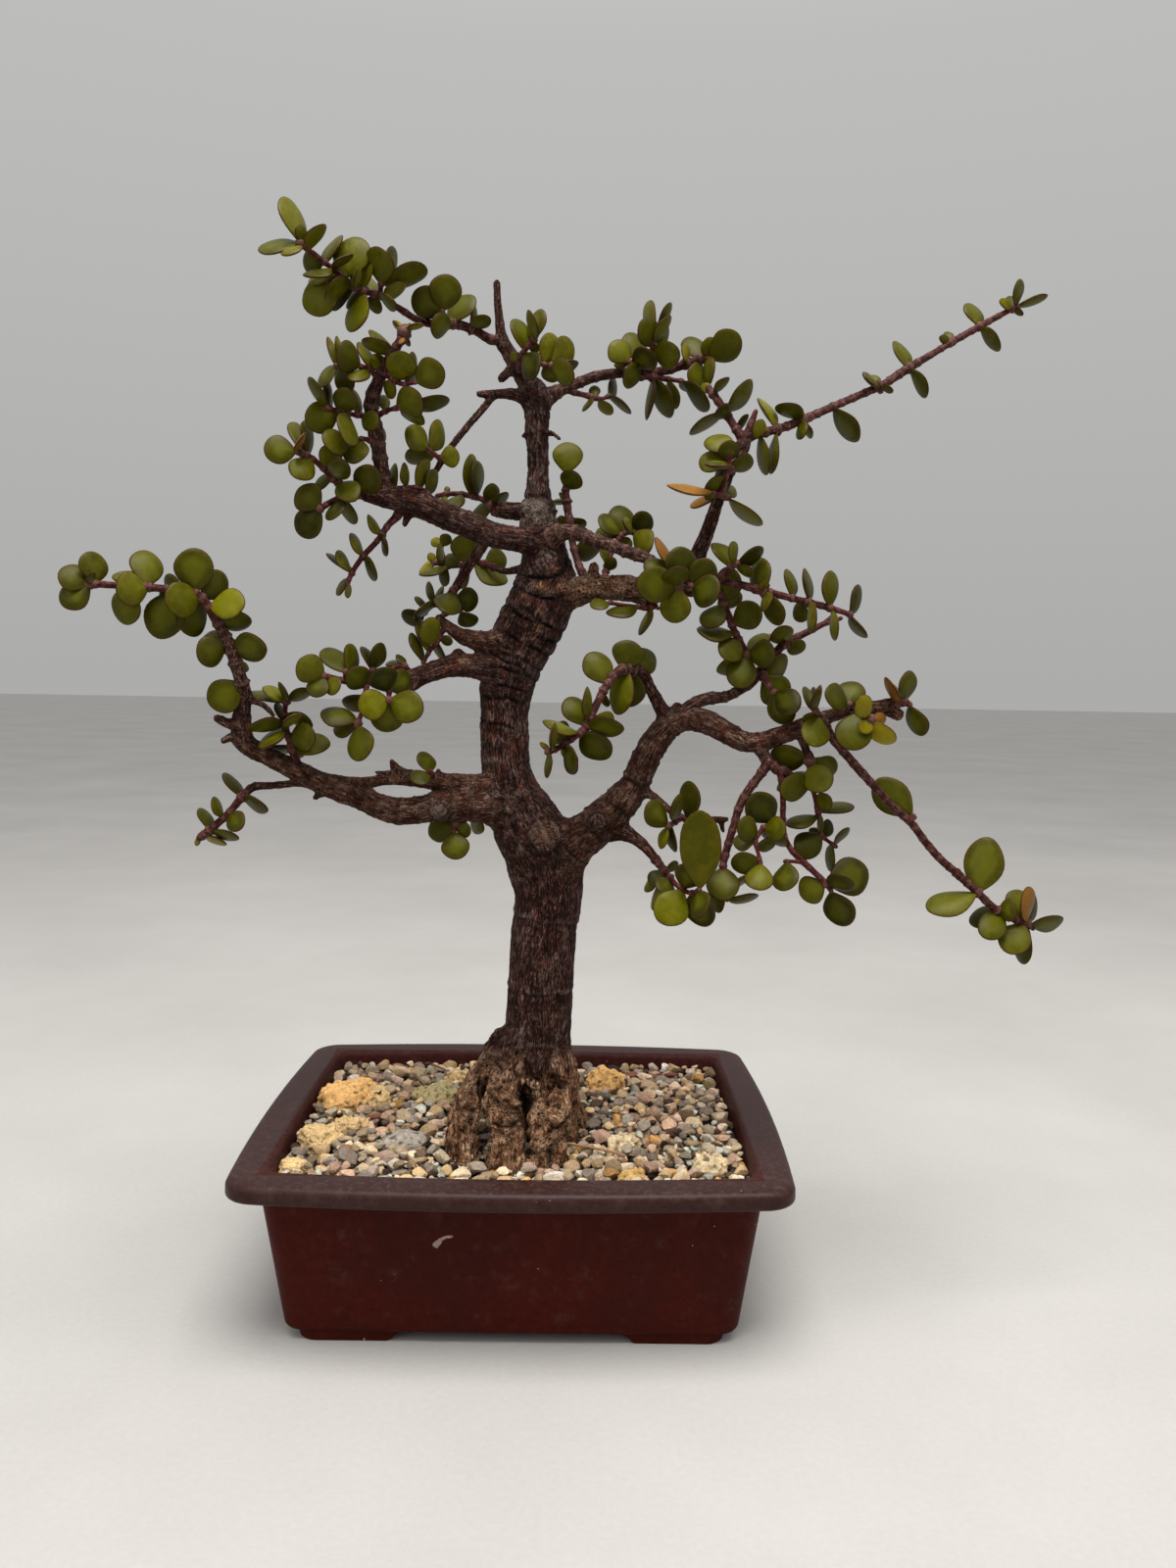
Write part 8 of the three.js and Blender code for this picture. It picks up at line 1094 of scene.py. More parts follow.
# ------------------------------------------------------------------ materials
class Mat:
    def __init__(self, name, **socket):
        self.m = bpy.data.materials.new(name)
        self.m.use_nodes = True
        self.t = self.m.node_tree
        self.t.nodes.clear()
        self.out = self.t.nodes.new("ShaderNodeOutputMaterial")
        self.b = self.t.nodes.new("ShaderNodeBsdfPrincipled")
        self.link(self.b.outputs[0], self.out.inputs[0])
        for k, v in socket.items():
            self.b.inputs[k.replace("_", " ")].default_value = v

    def link(self, a, b):
        self.t.links.new(a, b)

    def node(self, kind, ins=None, **props):
        n = self.t.nodes.new("ShaderNode" + kind)
        for k, v in props.items():
            setattr(n, k, v)
        for k, v in (ins or {}).items():
            if isinstance(v, bpy.types.NodeSocket):
                self.link(v, n.inputs[k])
            else:
                n.inputs[k].default_value = v
        return n

    def attr(self, name, out="Fac"):
        return self.node("Attribute", attribute_name=name).outputs[out]

    def obj(self):
        """Object coordinates in millimetres."""
        tc = self.node("TexCoord").outputs["Object"]
        return self.node("VectorMath", {0: tc, 3: 1000.0}, operation="SCALE").outputs[0]

    def vscale(self, v, s):
        return self.node("VectorMath", {0: v, 1: s}, operation="MULTIPLY").outputs[0]

    def vadd(self, v, s):
        return self.node("VectorMath", {0: v, 1: s}, operation="ADD").outputs[0]

    def noise(self, vec, scale, detail=3.0, rough=0.55, dist=0.0, out="Fac"):
        return self.node("TexNoise", {"Vector": vec, "Scale": scale, "Detail": detail, "Roughness": rough, "Distortion": dist}).outputs[out]

    def voronoi(self, vec, scale, feature="F1", out="Distance", rnd=1.0):
        return self.node("TexVoronoi", {"Vector": vec, "Scale": scale, "Randomness": rnd}, feature=feature).outputs[out]

    def math(self, op, a, b=0.0, c=0.0, clamp=False):
        return self.node("Math", {0: a, 1: b, 2: c}, operation=op, use_clamp=clamp).outputs[0]

    def rng(self, v, a, b, c=0.0, d=1.0, smooth=True):
        n = self.node("MapRange", {"Value": v, "From Min": a, "From Max": b, "To Min": c, "To Max": d}, clamp=True)
        n.interpolation_type = "SMOOTHSTEP" if smooth else "LINEAR"
        return n.outputs[0]

    def mix(self, f, a, b, mode="MIX"):
        n = self.node("Mix", data_type="RGBA", blend_type=mode)
        for i, v in ((0, f), (6, a), (7, b)):
            if isinstance(v, bpy.types.NodeSocket):
                self.link(v, n.inputs[i])
            else:
                n.inputs[i].default_value = v
        return n.outputs[2]

    def ramp(self, f, stops):
        n = self.node("ValToRGB", {0: f})
        e = n.color_ramp.elements
        while len(e) < len(stops):
            e.new(0.5)
        for i, (p, c) in enumerate(stops):
            e[i].position, e[i].color = p, c
        return n.outputs[0]

    def sep(self, v):
        return self.node("SeparateXYZ", {0: v}).outputs

    def bump(self, h, dist, strength=1.0, normal=None):
        """dist in millimetres for a height of 0..1"""
        n = self.node("Bump", {"Strength": strength, "Distance": dist * 0.001, "Height": h})
        if normal is not None:
            self.link(normal, n.inputs["Normal"])
        return n.outputs[0]

    def done(self, color=None, rough=None, normal=None):
        if color is not None:
            self.link(color, self.b.inputs["Base Color"])
        if rough is not None:
            self.link(rough, self.b.inputs["Roughness"])
        if normal is not None:
            self.link(normal, self.b.inputs["Normal"])
        return self.m


# ---- bark of the trunk and main branches
def bark_material():
    m = Mat("bark", Roughness=0.78)
    m.b.inputs["Specular IOR Level"].default_value = 0.07
    ob = m.obj()
    co = m.attr("bark_co", "Vector")
    a = m.sep(m.attr("bark_a", "Vector"))       # dark, pale, warm
    c = m.sep(m.attr("bark_b", "Vector"))       # young, rough, unclear direction
    dark, pale, warm = a[0], a[1], a[2]
    young, rough, amb = c[0], c[1], c[2]
    # long fibres with a net between them
    wob = m.noise(m.vscale(co, (0.22, 0.22, 0.1)), 1.0, 2.0, out="Color")
    cow = m.node("VectorMath", {0: wob, 1: (2.6, 2.6, 3.5), 2: co}, operation="MULTIPLY_ADD").outputs[0]
    f0 = m.noise(m.vscale(cow, (0.42, 0.42, 0.085)), 1.0, 3.0, 0.6)
    fis = m.math("SUBTRACT", 1.0, m.math("MULTIPLY", m.math("ABSOLUTE", m.math("SUBTRACT", f0, 0.5)), 17.0), clamp=True)
    f1 = m.noise(m.vscale(cow, (1.0, 1.0, 0.12)), 1.0, 3.0, 0.62)
    f1r = m.math("SUBTRACT", 1.0, m.math("MULTIPLY", m.math("ABSOLUTE", m.math("SUBTRACT", f1, 0.5)), 10.0), clamp=True)
    f2 = m.noise(m.vscale(cow, (2.1, 2.1, 0.28)), 1.0, 3.0, 0.6)
    f2r = m.math("SUBTRACT", 1.0, m.math("MULTIPLY", m.math("ABSOLUTE", m.math("SUBTRACT", f2, 0.5)), 10.0), clamp=True)
    fib = m.math("ADD", m.math("MULTIPLY", f1r, 0.66), m.math("MULTIPLY", f2r, 0.46), clamp=True)
    iso = m.noise(ob, 0.8, 4.0, 0.65)
    isor = m.math("SUBTRACT", 1.0, m.math("MULTIPLY", m.math("ABSOLUTE", m.math("SUBTRACT", iso, 0.5)), 8.0), clamp=True)
    fine = m.noise(ob, 2.6, 3.0, 0.7)
    # fibres fade where two branches meet, and on young or rough wood
    keep = m.math("MULTIPLY", m.math("SUBTRACT", 1.0, amb), m.math("SUBTRACT", 1.0, m.math("MULTIPLY", rough, 0.75)))
    net = m.mix(keep, isor, fib)
    blot = m.noise(ob, 0.11, 3.0, 0.6)
    blot2 = m.noise(m.vadd(ob, (40.0, 9.0, 3.0)), 0.3, 3.0, 0.6)
    net = m.math("MULTIPLY", net, m.rng(blot2, 0.34, 0.66, 0.84, 1.06))
    net = m.math("MULTIPLY_ADD", m.math("SUBTRACT", fine, 0.5), 0.5, net)
    net = m.math("MULTIPLY_ADD", m.math("SUBTRACT", blot2, 0.5), 0.32, net)
    net = m.math("MULTIPLY_ADD", m.math("SUBTRACT", blot, 0.5), 0.75, net)
    col = m.ramp(net, [(0.0, lin(22, 10, 8)), (0.34, lin(41, 21, 16)), (0.64, lin(67, 40, 33)), (1.0, lin(142, 112, 98))])
    colp = m.ramp(net, [(0.0, lin(26, 13, 12)), (0.36, lin(47, 26, 23)), (0.64, lin(74, 47, 43)), (1.0, lin(148, 120, 110))])
    col = m.mix(m.rng(blot, 0.42, 0.62), col, colp)
    coly = m.ramp(net, [(0.0, lin(34, 15, 12)), (0.36, lin(58, 30, 24)), (0.68, lin(84, 51, 43)), (1.0, lin(146, 114, 98))])
    col = m.mix(young, col, coly)
    # long pale streaks and blisters along the branches
    stk = m.noise(m.vscale(co, (1.0, 1.0, 0.16)), 1.0, 3.0, 0.7)
    col = m.mix(m.math("MULTIPLY", m.rng(stk, 0.58, 0.72), m.math("MULTIPLY_ADD", young, 0.34, 0.10)), col, lin(134, 106, 95))
    colw = m.ramp(net, [(0.0, lin(42, 23, 14)), (0.22, lin(102, 64, 45)), (0.5, lin(160, 110, 78)), (0.76, lin(208, 162, 122)), (1.0, lin(244, 214, 178))])
    col = m.mix(m.math("MULTIPLY", warm, m.rng(blot2, 0.25, 0.5, 0.55, 1.0)), col, colw)
    red = m.math("MULTIPLY", m.rng(m.noise(m.vadd(ob, (7.0, 70.0, 3.0)), 0.22, 3.0), 0.52, 0.62), 0.62)
    red = m.math("MULTIPLY", red, m.rng(m.math("DIVIDE", m.sep(ob)[2], 100.0), 0.9, 2.4, 0.35, 1.0))
    col = m.mix(red, col, m.ramp(net, [(0.0, lin(38, 12, 8)), (0.5, lin(84, 36, 26)), (1.0, lin(142, 88, 66))]))
    col = m.mix(m.math("MULTIPLY", fis, 0.66), col, lin(18, 10, 8))
    colpl = m.ramp(net, [(0.0, lin(44, 33, 29)), (0.35, lin(87, 71, 64)), (0.7, lin(133, 116, 105)), (1.0, lin(186, 172, 159))])
    colpl = m.mix(m.math("MULTIPLY", warm, 0.85), colpl, m.ramp(net, [(0.0, lin(96, 62, 42)), (0.4, lin(168, 126, 92)), (1.0, lin(236, 206, 170))]))
    col = m.mix(pale, col, colpl)
    col = m.mix(dark, col, m.mix(warm, lin(13, 8, 7), lin(30, 17, 11)))
    h = m.math("MULTIPLY_ADD", fine, 0.35, net)
    pit = m.math("MULTIPLY", m.math("MULTIPLY", m.rng(m.voronoi(ob, 0.75), 0.18, 0.5, 1.0, 0.0), rough), -0.8)
    h = m.math("ADD", h, pit)
    h = m.math("SUBTRACT", h, m.math("MULTIPLY", fis, 0.9))
    nrm = m.bump(h, 0.62, 1.0)
    rgh = m.rng(net, 0.0, 1.0, 0.58, 0.84)
    return m.done(col, rgh, nrm)


# ---- young stems
def stem_material():
    m = Mat("stem_skin")
    m.b.inputs["Specular IOR Level"].default_value = 0.12
    ob = m.obj()
    co = m.attr("stem_co", "Vector")
    age = m.attr("age")
    ring = m.attr("ring")
    fine = m.noise(ob, 1.5, 3.0, 0.65)
    fib = m.noise(m.vscale(co, (1.9, 1.9, 0.4)), 1.0, 3.0, 0.6)
    k = m.math("MULTIPLY_ADD", m.math("SUBTRACT", fib, 0.5), 1.7, fine)
    k = m.math("MULTIPLY_ADD", m.math("SUBTRACT", m.noise(ob, 0.45, 3.0, 0.6), 0.5), 1.0, k)
    yng = m.ramp(k, [(0.2, lin(38, 8, 10)), (0.55, lin(70, 19, 21)), (0.9, lin(106, 50, 44))])
    old = m.ramp(k, [(0.2, lin(22, 11, 9)), (0.46, lin(46, 26, 21)), (0.68, lin(76, 49, 41)), (0.92, lin(136, 108, 92))])
    col = m.mix(age, yng, old)
    col = m.mix(m.math("MULTIPLY", ring, 0.42), col, lin(112, 84, 72))
    nrm = m.bump(k, 0.26, 0.8)
    return m.done(col, m.rng(age, 0.0, 1.0, 0.42, 0.75), nrm)


# ---- leaves
def leaf_material():
    m = Mat("leaf_skin")
    b = m.b.inputs
    b["Specular IOR Level"].default_value = 0.11
    b["Specular Tint"].default_value = (1.0, 0.97, 0.72, 1.0)
    b["Subsurface Weight"].default_value = 0.06
    b["Subsurface Radius"].default_value = (0.6, 1.0, 0.25)
    b["Subsurface Scale"].default_value = 0.0012
    ob = m.obj()
    rim = m.attr("rim")            # millimetres in from the margin
    s = m.sep(m.attr("leaf_a", "Vector"))      # tone, tint, along
    u = m.sep(m.attr("leaf_b", "Vector"))      # side, random, size
    tone, tint, along = s[0], s[1], s[2]
    side, rnd = u[0], u[1]
    mott = m.noise(ob, 0.32, 3.0, 0.6)
    fine = m.noise(ob, 2.2, 3.0, 0.6)
    k = m.math("ADD", tone, m.math("MULTIPLY", m.math("SUBTRACT", mott, 0.5), 0.55))
    k = m.math("ADD", k, m.math("MULTIPLY", m.math("SUBTRACT", fine, 0.5), 0.16))
    up = m.ramp(k, [(0.0, lin(28, 28, 1)), (0.3, lin(48, 47, 1)), (0.6, lin(67, 65, 1)), (1.0, lin(108, 105, 7))])
    dn = m.ramp(k, [(0.0, lin(36, 34, 2)), (0.4, lin(58, 56, 4)), (1.0, lin(104, 101, 20))])
    col = m.mix(side, up, dn)
    yel = m.ramp(k, [(0.0, lin(84, 78, 4)), (0.6, lin(114, 104, 8)), (1.0, lin(144, 128, 22))])
    org = m.ramp(k, [(0.0, lin(88, 52, 12)), (1.0, lin(136, 92, 28))])
    old = m.ramp(m.math("ADD", k, m.math("MULTIPLY", m.math("SUBTRACT", m.noise(ob, 0.14, 2.0), 0.5), 1.2)), [(0.1, lin(58, 56, 2)), (0.5, lin(80, 70, 4)), (1.0, lin(104, 70, 12))])
    col = m.mix(m.rng(tint, 0.0, 1.0), col, yel)
    col = m.mix(m.rng(tint, 1.0, 2.0), col, org)
    col = m.mix(m.rng(tint, 2.0, 3.0), col, old)
    # a paler band inside the margin, a blush towards the edge and a thin maroon margin
    # painted highlight: the middle of each leaf is painted paler, as the light on its bulge, and the shoulder stays
    # deeper
    leaf_painted_highlight = m.math("MULTIPLY", m.rng(m.math("MULTIPLY_ADD", m.math("SUBTRACT", m.noise(ob, 0.25, 2.0), 0.5), 3.0, rim), 1.2, 5.0), m.math("MULTIPLY_ADD", rnd, 0.42, 0.06))
    leaf_painted_highlight = m.math("MULTIPLY", leaf_painted_highlight, m.rng(tint, 0.0, 0.6, 1.0, 0.15))
    col = m.mix(leaf_painted_highlight, col, lin(98, 99, 17))
    inner = m.math("MULTIPLY", m.rng(rim, 0.3, 2.0, 1.0, 0.0), 0.16)
    col = m.mix(inner, col, lin(84, 74, 18))
    edge = m.math("ADD", rim, m.math("MULTIPLY", m.math("SUBTRACT", m.noise(ob, 0.6, 2.0), 0.5), 0.5))
    blush = m.math("MULTIPLY", m.rng(edge, 0.0, 1.0, 1.0, 0.0), m.math("MULTIPLY_ADD", rnd, 0.4, 0.15))
    col = m.mix(blush, col, lin(70, 40, 12))
    line = m.math("MULTIPLY", m.rng(edge, 0.10, 0.36, 1.0, 0.0), 0.8)
    col = m.mix(line, col, lin(44, 15, 13))
    spots = m.math("MULTIPLY", m.rng(m.voronoi(ob, 0.55), 0.0, 0.11, 1.0, 0.0), m.rng(m.noise(ob, 0.12, 1.0), 0.5, 0.62))
    col = m.mix(m.math("MULTIPLY", spots, 0.4), col, lin(96, 84, 50))
    h = m.math("ADD", m.math("MULTIPLY", mott, 0.8), m.math("MULTIPLY", fine, 0.2))
    nrm = m.bump(h, 0.16, 0.55)
    rgh = m.math("ADD", 0.30, m.math("MULTIPLY", mott, 0.2))
    return m.done(col, rgh, nrm)


# ---- pot
def pot_material():
    m = Mat("pot_clay")
    ob = m.obj()
    x, y, z = m.sep(ob)
    big = m.noise(ob, 0.022, 3.0, 0.6)
    mid = m.noise(ob, 0.35, 4.0, 0.65)
    fine = m.noise(ob, 2.4, 3.0, 0.7)
    k = m.math("ADD", m.math("MULTIPLY", mid, 0.6), m.math("MULTIPLY", fine, 0.4))
    body = m.ramp(k, [(0.3, lin(48, 13, 8)), (0.5, lin(61, 18, 11)), (0.72, lin(73, 25, 16))])
    body = m.mix(m.rng(big, 0.42, 0.62, 0.0, 0.5), body, lin(46, 18, 14))
    # painted reflection: the lip is painted greyer than the body, as the sky it reflects
    rim_reflection_col = m.ramp(k, [(0.3, lin(34, 17, 15)), (0.5, lin(46, 25, 22)), (0.75, lin(64, 40, 36))])
    isrim = m.rng(z, POT_H - LIP - 1.0, POT_H - LIP + 2.6)
    col = m.mix(isrim, body, rim_reflection_col)
    # the inside wall shows the redder body colour below the rim
    inx = m.rng(m.math("ABSOLUTE", m.math("ADD", x, CX)), RIM_W / 2 - RIM_LAND + 0.6, RIM_W / 2 - RIM_LAND + 2.2, 1.0, 0.0)
    iny = m.rng(m.math("ABSOLUTE", y), RIM_D / 2 - RIM_LAND + 0.6, RIM_D / 2 - RIM_LAND + 2.2, 1.0, 0.0)
    inside = m.math("MULTIPLY", m.math("MULTIPLY", inx, iny), m.rng(z, POT_H - LIP - 4.0, POT_H - LIP - 1.0))
    col = m.mix(inside, col, m.ramp(k, [(0.3, lin(40, 17, 15)), (0.5, lin(54, 25, 22)), (0.75, lin(70, 38, 34))]))
    m.link(m.math("MULTIPLY", m.rng(isrim, 0.0, 1.0, 0.04, 0.14), m.rng(inside, 0.0, 1.0, 1.0, 0.25)), m.b.inputs["Specular IOR Level"])
    # dust in the hollows of the texture and near the gravel
    dust = m.math("MULTIPLY", m.rng(m.noise(ob, 0.12, 5.0, 0.7), 0.52, 0.75), 0.22)
    col = m.mix(dust, col, lin(92, 70, 64))
    geo = m.node("NewGeometry").outputs["Normal"]
    nz = m.sep(geo)[2]
    lay = m.math("MULTIPLY", m.rng(nz, 0.5, 1.0), m.rng(m.noise(ob, 0.5, 4.0, 0.75), 0.5, 0.72, 0.0, 0.3))
    col = m.mix(lay, col, lin(104, 86, 78))
    sp = m.math("MULTIPLY", m.rng(m.voronoi(ob, 0.16), 0.028, 0.05, 1.0, 0.0), m.rng(m.noise(ob, 0.07, 1.0), 0.5, 0.6))
    col = m.mix(m.math("MULTIPLY", sp, 0.7), col, lin(176, 158, 146))
    # a pale dried smear on the front wall, and a small chip mark on one foot
    smear = None
    pts = SMEAR
    for (a0, a1, r0, r1) in pts:
        ax, az, bx, bz = a0[0], a0[1], a1[0], a1[1]
        dx, dz = bx - ax, bz - az
        l2 = dx * dx + dz * dz
        px = m.math("SUBTRACT", x, ax)
        pz = m.math("SUBTRACT", z, az)
        t = m.math("ADD", m.math("MULTIPLY", px, dx / l2), m.math("MULTIPLY", pz, dz / l2), clamp=True)
        qx = m.math("SUBTRACT", px, m.math("MULTIPLY", t, dx))
        qz = m.math("SUBTRACT", pz, m.math("MULTIPLY", t, dz))
        d = m.math("SQRT", m.math("ADD", m.math("MULTIPLY", qx, qx), m.math("MULTIPLY", qz, qz)))
        d = m.math("SUBTRACT", d, m.math("MULTIPLY_ADD", t, r1 - r0, r0))
        smear = d if smear is None else m.math("MINIMUM", smear, d)
    smear = m.math("ADD", smear, m.math("MULTIPLY", m.math("SUBTRACT", m.noise(ob, 1.1, 3.0), 0.5), 1.1))
    onfront = m.rng(y, -60.0, -62.0)
    sm = m.math("MULTIPLY", m.rng(smear, -0.1, 0.35, 1.0, 0.0), onfront)
    sm = m.math("MULTIPLY", sm, m.rng(fine, 0.3, 0.6, 0.35, 0.75))
    col = m.mix(sm, col, lin(176, 152, 142))
    streak = m.noise(m.vscale(ob, (1.0, 1.0, 0.12)), 0.9, 3.0, 0.6)
    h = m.math("ADD", m.math("MULTIPLY", fine, 0.5), m.math("MULTIPLY", mid, 0.5))
    nrm = m.bump(h, 0.12, 0.6)
    rgh = m.math("ADD", m.math("MULTIPLY", mid, 0.16), m.rng(isrim, 0.0, 1.0, 0.40, 0.34))
    rgh = m.math("ADD", rgh, m.math("MULTIPLY", m.math("ADD", dust, lay, clamp=True), 0.4))
    rgh = m.math("ADD", rgh, m.math("MULTIPLY", m.math("SUBTRACT", streak, 0.5), 0.08))
    return m.done(col, rgh, nrm)


# ---- grains and stones: a colour of its own on each, with a grainy broken surface
def stone_material(name, scale=1.0, pores=0.0):
    m = Mat(name, Roughness=0.9)
    m.b.inputs["Specular IOR Level"].default_value = 0.12
    ob = m.obj()
    base = m.attr("grain_col", "Color")
    porous = m.attr("porous")
    n1 = m.noise(ob, 0.55 * scale, 4.0, 0.7)
    n2 = m.noise(ob, 2.2 * scale, 4.0, 0.7)
    k = m.math("ADD", m.math("MULTIPLY", n1, 0.5), m.math("MULTIPLY", n2, 0.5))
    shade = m.ramp(k, [(0.28, (0.26, 0.22, 0.18, 1)), (0.46, (0.82, 0.80, 0.76, 1)), (0.6, (1.2, 1.18, 1.12, 1)), (0.74, (1.75, 1.72, 1.62, 1))])
    col = m.mix(1.0, base, shade, "MULTIPLY")
    v = m.voronoi(ob, 0.85 * scale)
    v2 = m.voronoi(m.vadd(ob, (3.1, 7.7, 1.3)), 1.9 * scale)
    pore = m.math("MAXIMUM", m.rng(v, 0.10, 0.30, 1.0, 0.0), m.math("MULTIPLY", m.rng(v2, 0.12, 0.32, 1.0, 0.0), 0.8))
    pore = m.math("MULTIPLY", m.math("MULTIPLY", pore, porous), m.rng(n1, 0.42, 0.56))
    col = m.mix(m.math("MULTIPLY", pore, 0.72), col, lin(64, 50, 34))
    h = m.math("SUBTRACT", k, m.math("MULTIPLY", pore, 0.5))
    nrm = m.bump(h, 0.6 / scale, 0.9)
    return m.done(col, None, nrm)


def bed_material():
    m = Mat("bed", Roughness=0.95)
    ob = m.obj()
    n1 = m.noise(ob, 0.5, 5.0, 0.75)
    n2 = m.noise(ob, 1.8, 4.0, 0.75)
    col = m.ramp(n1, [(0.3, lin(20, 14, 12)), (0.5, lin(42, 32, 27)), (0.68, lin(74, 60, 49)), (0.8, lin(108, 92, 76))])
    nrm = m.bump(m.math("ADD", n1, m.math("MULTIPLY", n2, 0.6)), 1.6, 1.0)
    return m.done(col, None, nrm)


def soil_material():
    m = Mat("soil_mix", Roughness=0.96)
    ob = m.obj()
    n1 = m.noise(ob, 0.35, 5.0, 0.7)
    v = m.voronoi(ob, 0.32, out="Color")
    col = m.ramp(n1, [(0.3, lin(32, 22, 17)), (0.55, lin(62, 46, 35)), (0.75, lin(98, 78, 60))])
    col = m.mix(0.15, col, v, "SOFT_LIGHT")
    nrm = m.bump(n1, 1.2, 1.0)
    return m.done(col, None, nrm)


def screen_material():
    m = Mat("screen_plastic", Roughness=0.55)
    ob = m.obj()
    n1 = m.noise(ob, 0.8, 4.0, 0.6)
    col = m.ramp(n1, [(0.3, lin(20, 20, 20)), (0.6, lin(34, 33, 32)), (0.8, lin(70, 62, 54))])
    nrm = m.bump(n1, 0.15, 0.6)
    return m.done(col, None, nrm)


def floor_material():
    m = Mat("floor_pale", Roughness=0.7)
    ob = m.obj()
    n1 = m.noise(ob, 0.004, 4.0, 0.6)
    n2 = m.noise(ob, 0.4, 3.0, 0.6)
    col = m.ramp(m.math("ADD", m.math("MULTIPLY", n1, 0.7), m.math("MULTIPLY", n2, 0.3)), [(0.3, lin(166, 163, 159)), (0.7, lin(182, 179, 175))])
    return m.done(col, None, m.bump(n2, 0.1, 0.3))


def straw_material():
    m = Mat("dry_bits", Roughness=0.8)
    ob = m.obj()
    base = m.attr("grain_col", "Color")
    n1 = m.noise(ob, 1.4, 4.0, 0.7)
    shade = m.ramp(n1, [(0.3, (0.45, 0.42, 0.4, 1)), (0.7, (1.35, 1.3, 1.25, 1))])
    return m.done(m.mix(1.0, base, shade, "MULTIPLY"), None, m.bump(n1, 0.3, 0.8))


_sa = [at_y(446, 1267, -71.5), at_y(450, 1262, -71.5), at_y(455, 1258.5, -71.5), at_y(462, 1257.5, -71.5)]
_sm = [[p[0] - CX, p[2]] for p in _sa]
_fo = at_y(372, 1365, -62.0)
SMEAR = [(_sm[0], _sm[1], 1.15, 0.75), (_sm[1], _sm[2], 0.55, 0.4), (_sm[2], _sm[3], 0.4, 0.45),
         ([_fo[0] - CX, _fo[2] - 0.9], [_fo[0] - CX + 0.2, _fo[2] + 0.8], 0.3, 0.2)]

BARK, STEM, LEAF, POT = bark_material(), stem_material(), leaf_material(), pot_material()
GRAIN, ROCK = stone_material("grain", 1.3), stone_material("rock", 1.0)
BED, SOIL, SCREEN = bed_material(), soil_material(), screen_material()
STRAW = straw_material()


# ------------------------------------------------------------------ wood
VOX = 0.92
bars = {k: np.array(t, float) for k, t in WOOD.items()}


def bar(rows):
    """A bar from [u, v, y, width as seen]."""
    out = []
    for (u, v, y, w) in rows:
        p = at_y(u, v, y)
        out.append([*p, w / 2 * ((p - EYE) @ FW) / FOCAL])
    return np.array(out)


# the surface roots at the front, each a rounded lobe with a cleft beside it
for k in ("root_left", "root_fl", "root_f", "root_fr", "root_r"):
    if k in bars:
        del bars[k]
bars["root_lobe_a"] = bar([(519, 1054, -20, 20), (507, 1070, -24, 25), (498, 1084, -26, 24), (489, 1102, -29, 26), (480, 1122, -32, 29), (475, 1140, -35, 26), (474, 1158, -37, 31), (474, 1195, -41, 28)])
bars["root_lobe_a2"] = bar([(503, 1078, -17, 14), (489, 1098, -19, 18), (475, 1122, -22, 20), (466, 1146, -26, 20), (463, 1165, -29, 17), (463, 1188, -31, 17)])
bars["root_lobe_a3"] = bar([(503, 1080, -29, 14), (492, 1098, -31, 12), (484, 1116, -35, 14), (484, 1134, -37, 11), (482, 1150, -39, 13)])
bars["root_lobe_b"] = bar([(525, 1064, -23, 30), (519, 1088, -29, 29), (516, 1106, -33, 36), (514, 1124, -37, 31), (514, 1141, -39, 36), (517, 1154, -41, 33), (516, 1170, -43, 41), (517, 1197, -45, 38)])
bars["root_lobe_b2"] = bar([(512, 1088, -31, 13), (506, 1106, -35, 13), (504, 1126, -39, 14), (508, 1142, -41, 12)])
bars["root_lobe_b3"] = bar([(503, 1112, -38, 12), (512, 1119, -41, 17), (523, 1128, -41, 15)])
bars["root_lobe_b4"] = bar([(525, 1142, -41, 15), (518, 1152, -44, 20), (507, 1160, -43, 16)])
bars["root_lobe_a4"] = bar([(500, 1088, -29, 12), (491, 1098, -32, 17), (480, 1108, -31, 14)])
bars["root_lobe_a5"] = bar([(470, 1132, -33, 13), (479, 1142, -37, 16), (487, 1150, -37, 12)])
bars["root_lobe_c"] = bar([(549, 1124, -37, 11), (548, 1134, -39, 15), (551, 1150, -41, 24), (550, 1168, -44, 21), (548, 1195, -46, 26)])
bars["root_lobe_c2"] = bar([(547, 1128, -38, 12), (557, 1136, -40, 18), (568, 1142, -40, 19), (577, 1152, -38, 14)])
bars["root_lobe_c3"] = bar([(572, 1158, -41, 16), (561, 1164, -43, 20), (548, 1170, -46, 17)])
bars["root_lobe_d"] = bar([(570, 1075, -22, 22), (574, 1096, -27, 21), (573, 1112, -30, 17), (572, 1128, -34, 25), (568, 1150, -38, 22), (566, 1170, -42, 25), (565, 1195, -44, 22)])
bars["root_lobe_e"] = bar([(572, 1068, -14, 22), (578, 1090, -15, 22), (579, 1115, -18, 22), (577, 1140, -22, 20), (576, 1180, -27, 18)])
bars["root_lobe_f"] = np.array([[bars["trunk"][-1][0] + dx, -14 + dy, z, r] for (dx, dy, z, r) in ((9, 4, 92, 7), (16, 8, 78, 6.5), (21, 11, 66, 6), (24, 13, 58, 5.5))])
lines = {k: smooth_line(t, 1.0) for k, t in bars.items()}


def blend_k(name):
    r = bars[name][0, 3]
    if name.startswith("root_lobe"):
        return 0.9
    if name.startswith("root"):
        return 1.7
    if name in ("low_left", "right_low", "mid_left", "mid_stub"):
        return 4.5
    return float(np.clip(0.5 * r, 0.9, 3.2))


allp = np.vstack(list(bars.values()))
lo = (allp[:, :3] - allp[:, 3:4]).min(0) - 4
hi = (allp[:, :3] + allp[:, 3:4]).max(0) + 4
lo[2] = 50.0
dims = np.ceil((hi - lo) / VOX).astype(int) + 1
field = np.full(dims, 9.0, F4)
axes = [lo[k] + VOX * np.arange(dims[k]) for k in range(3)]


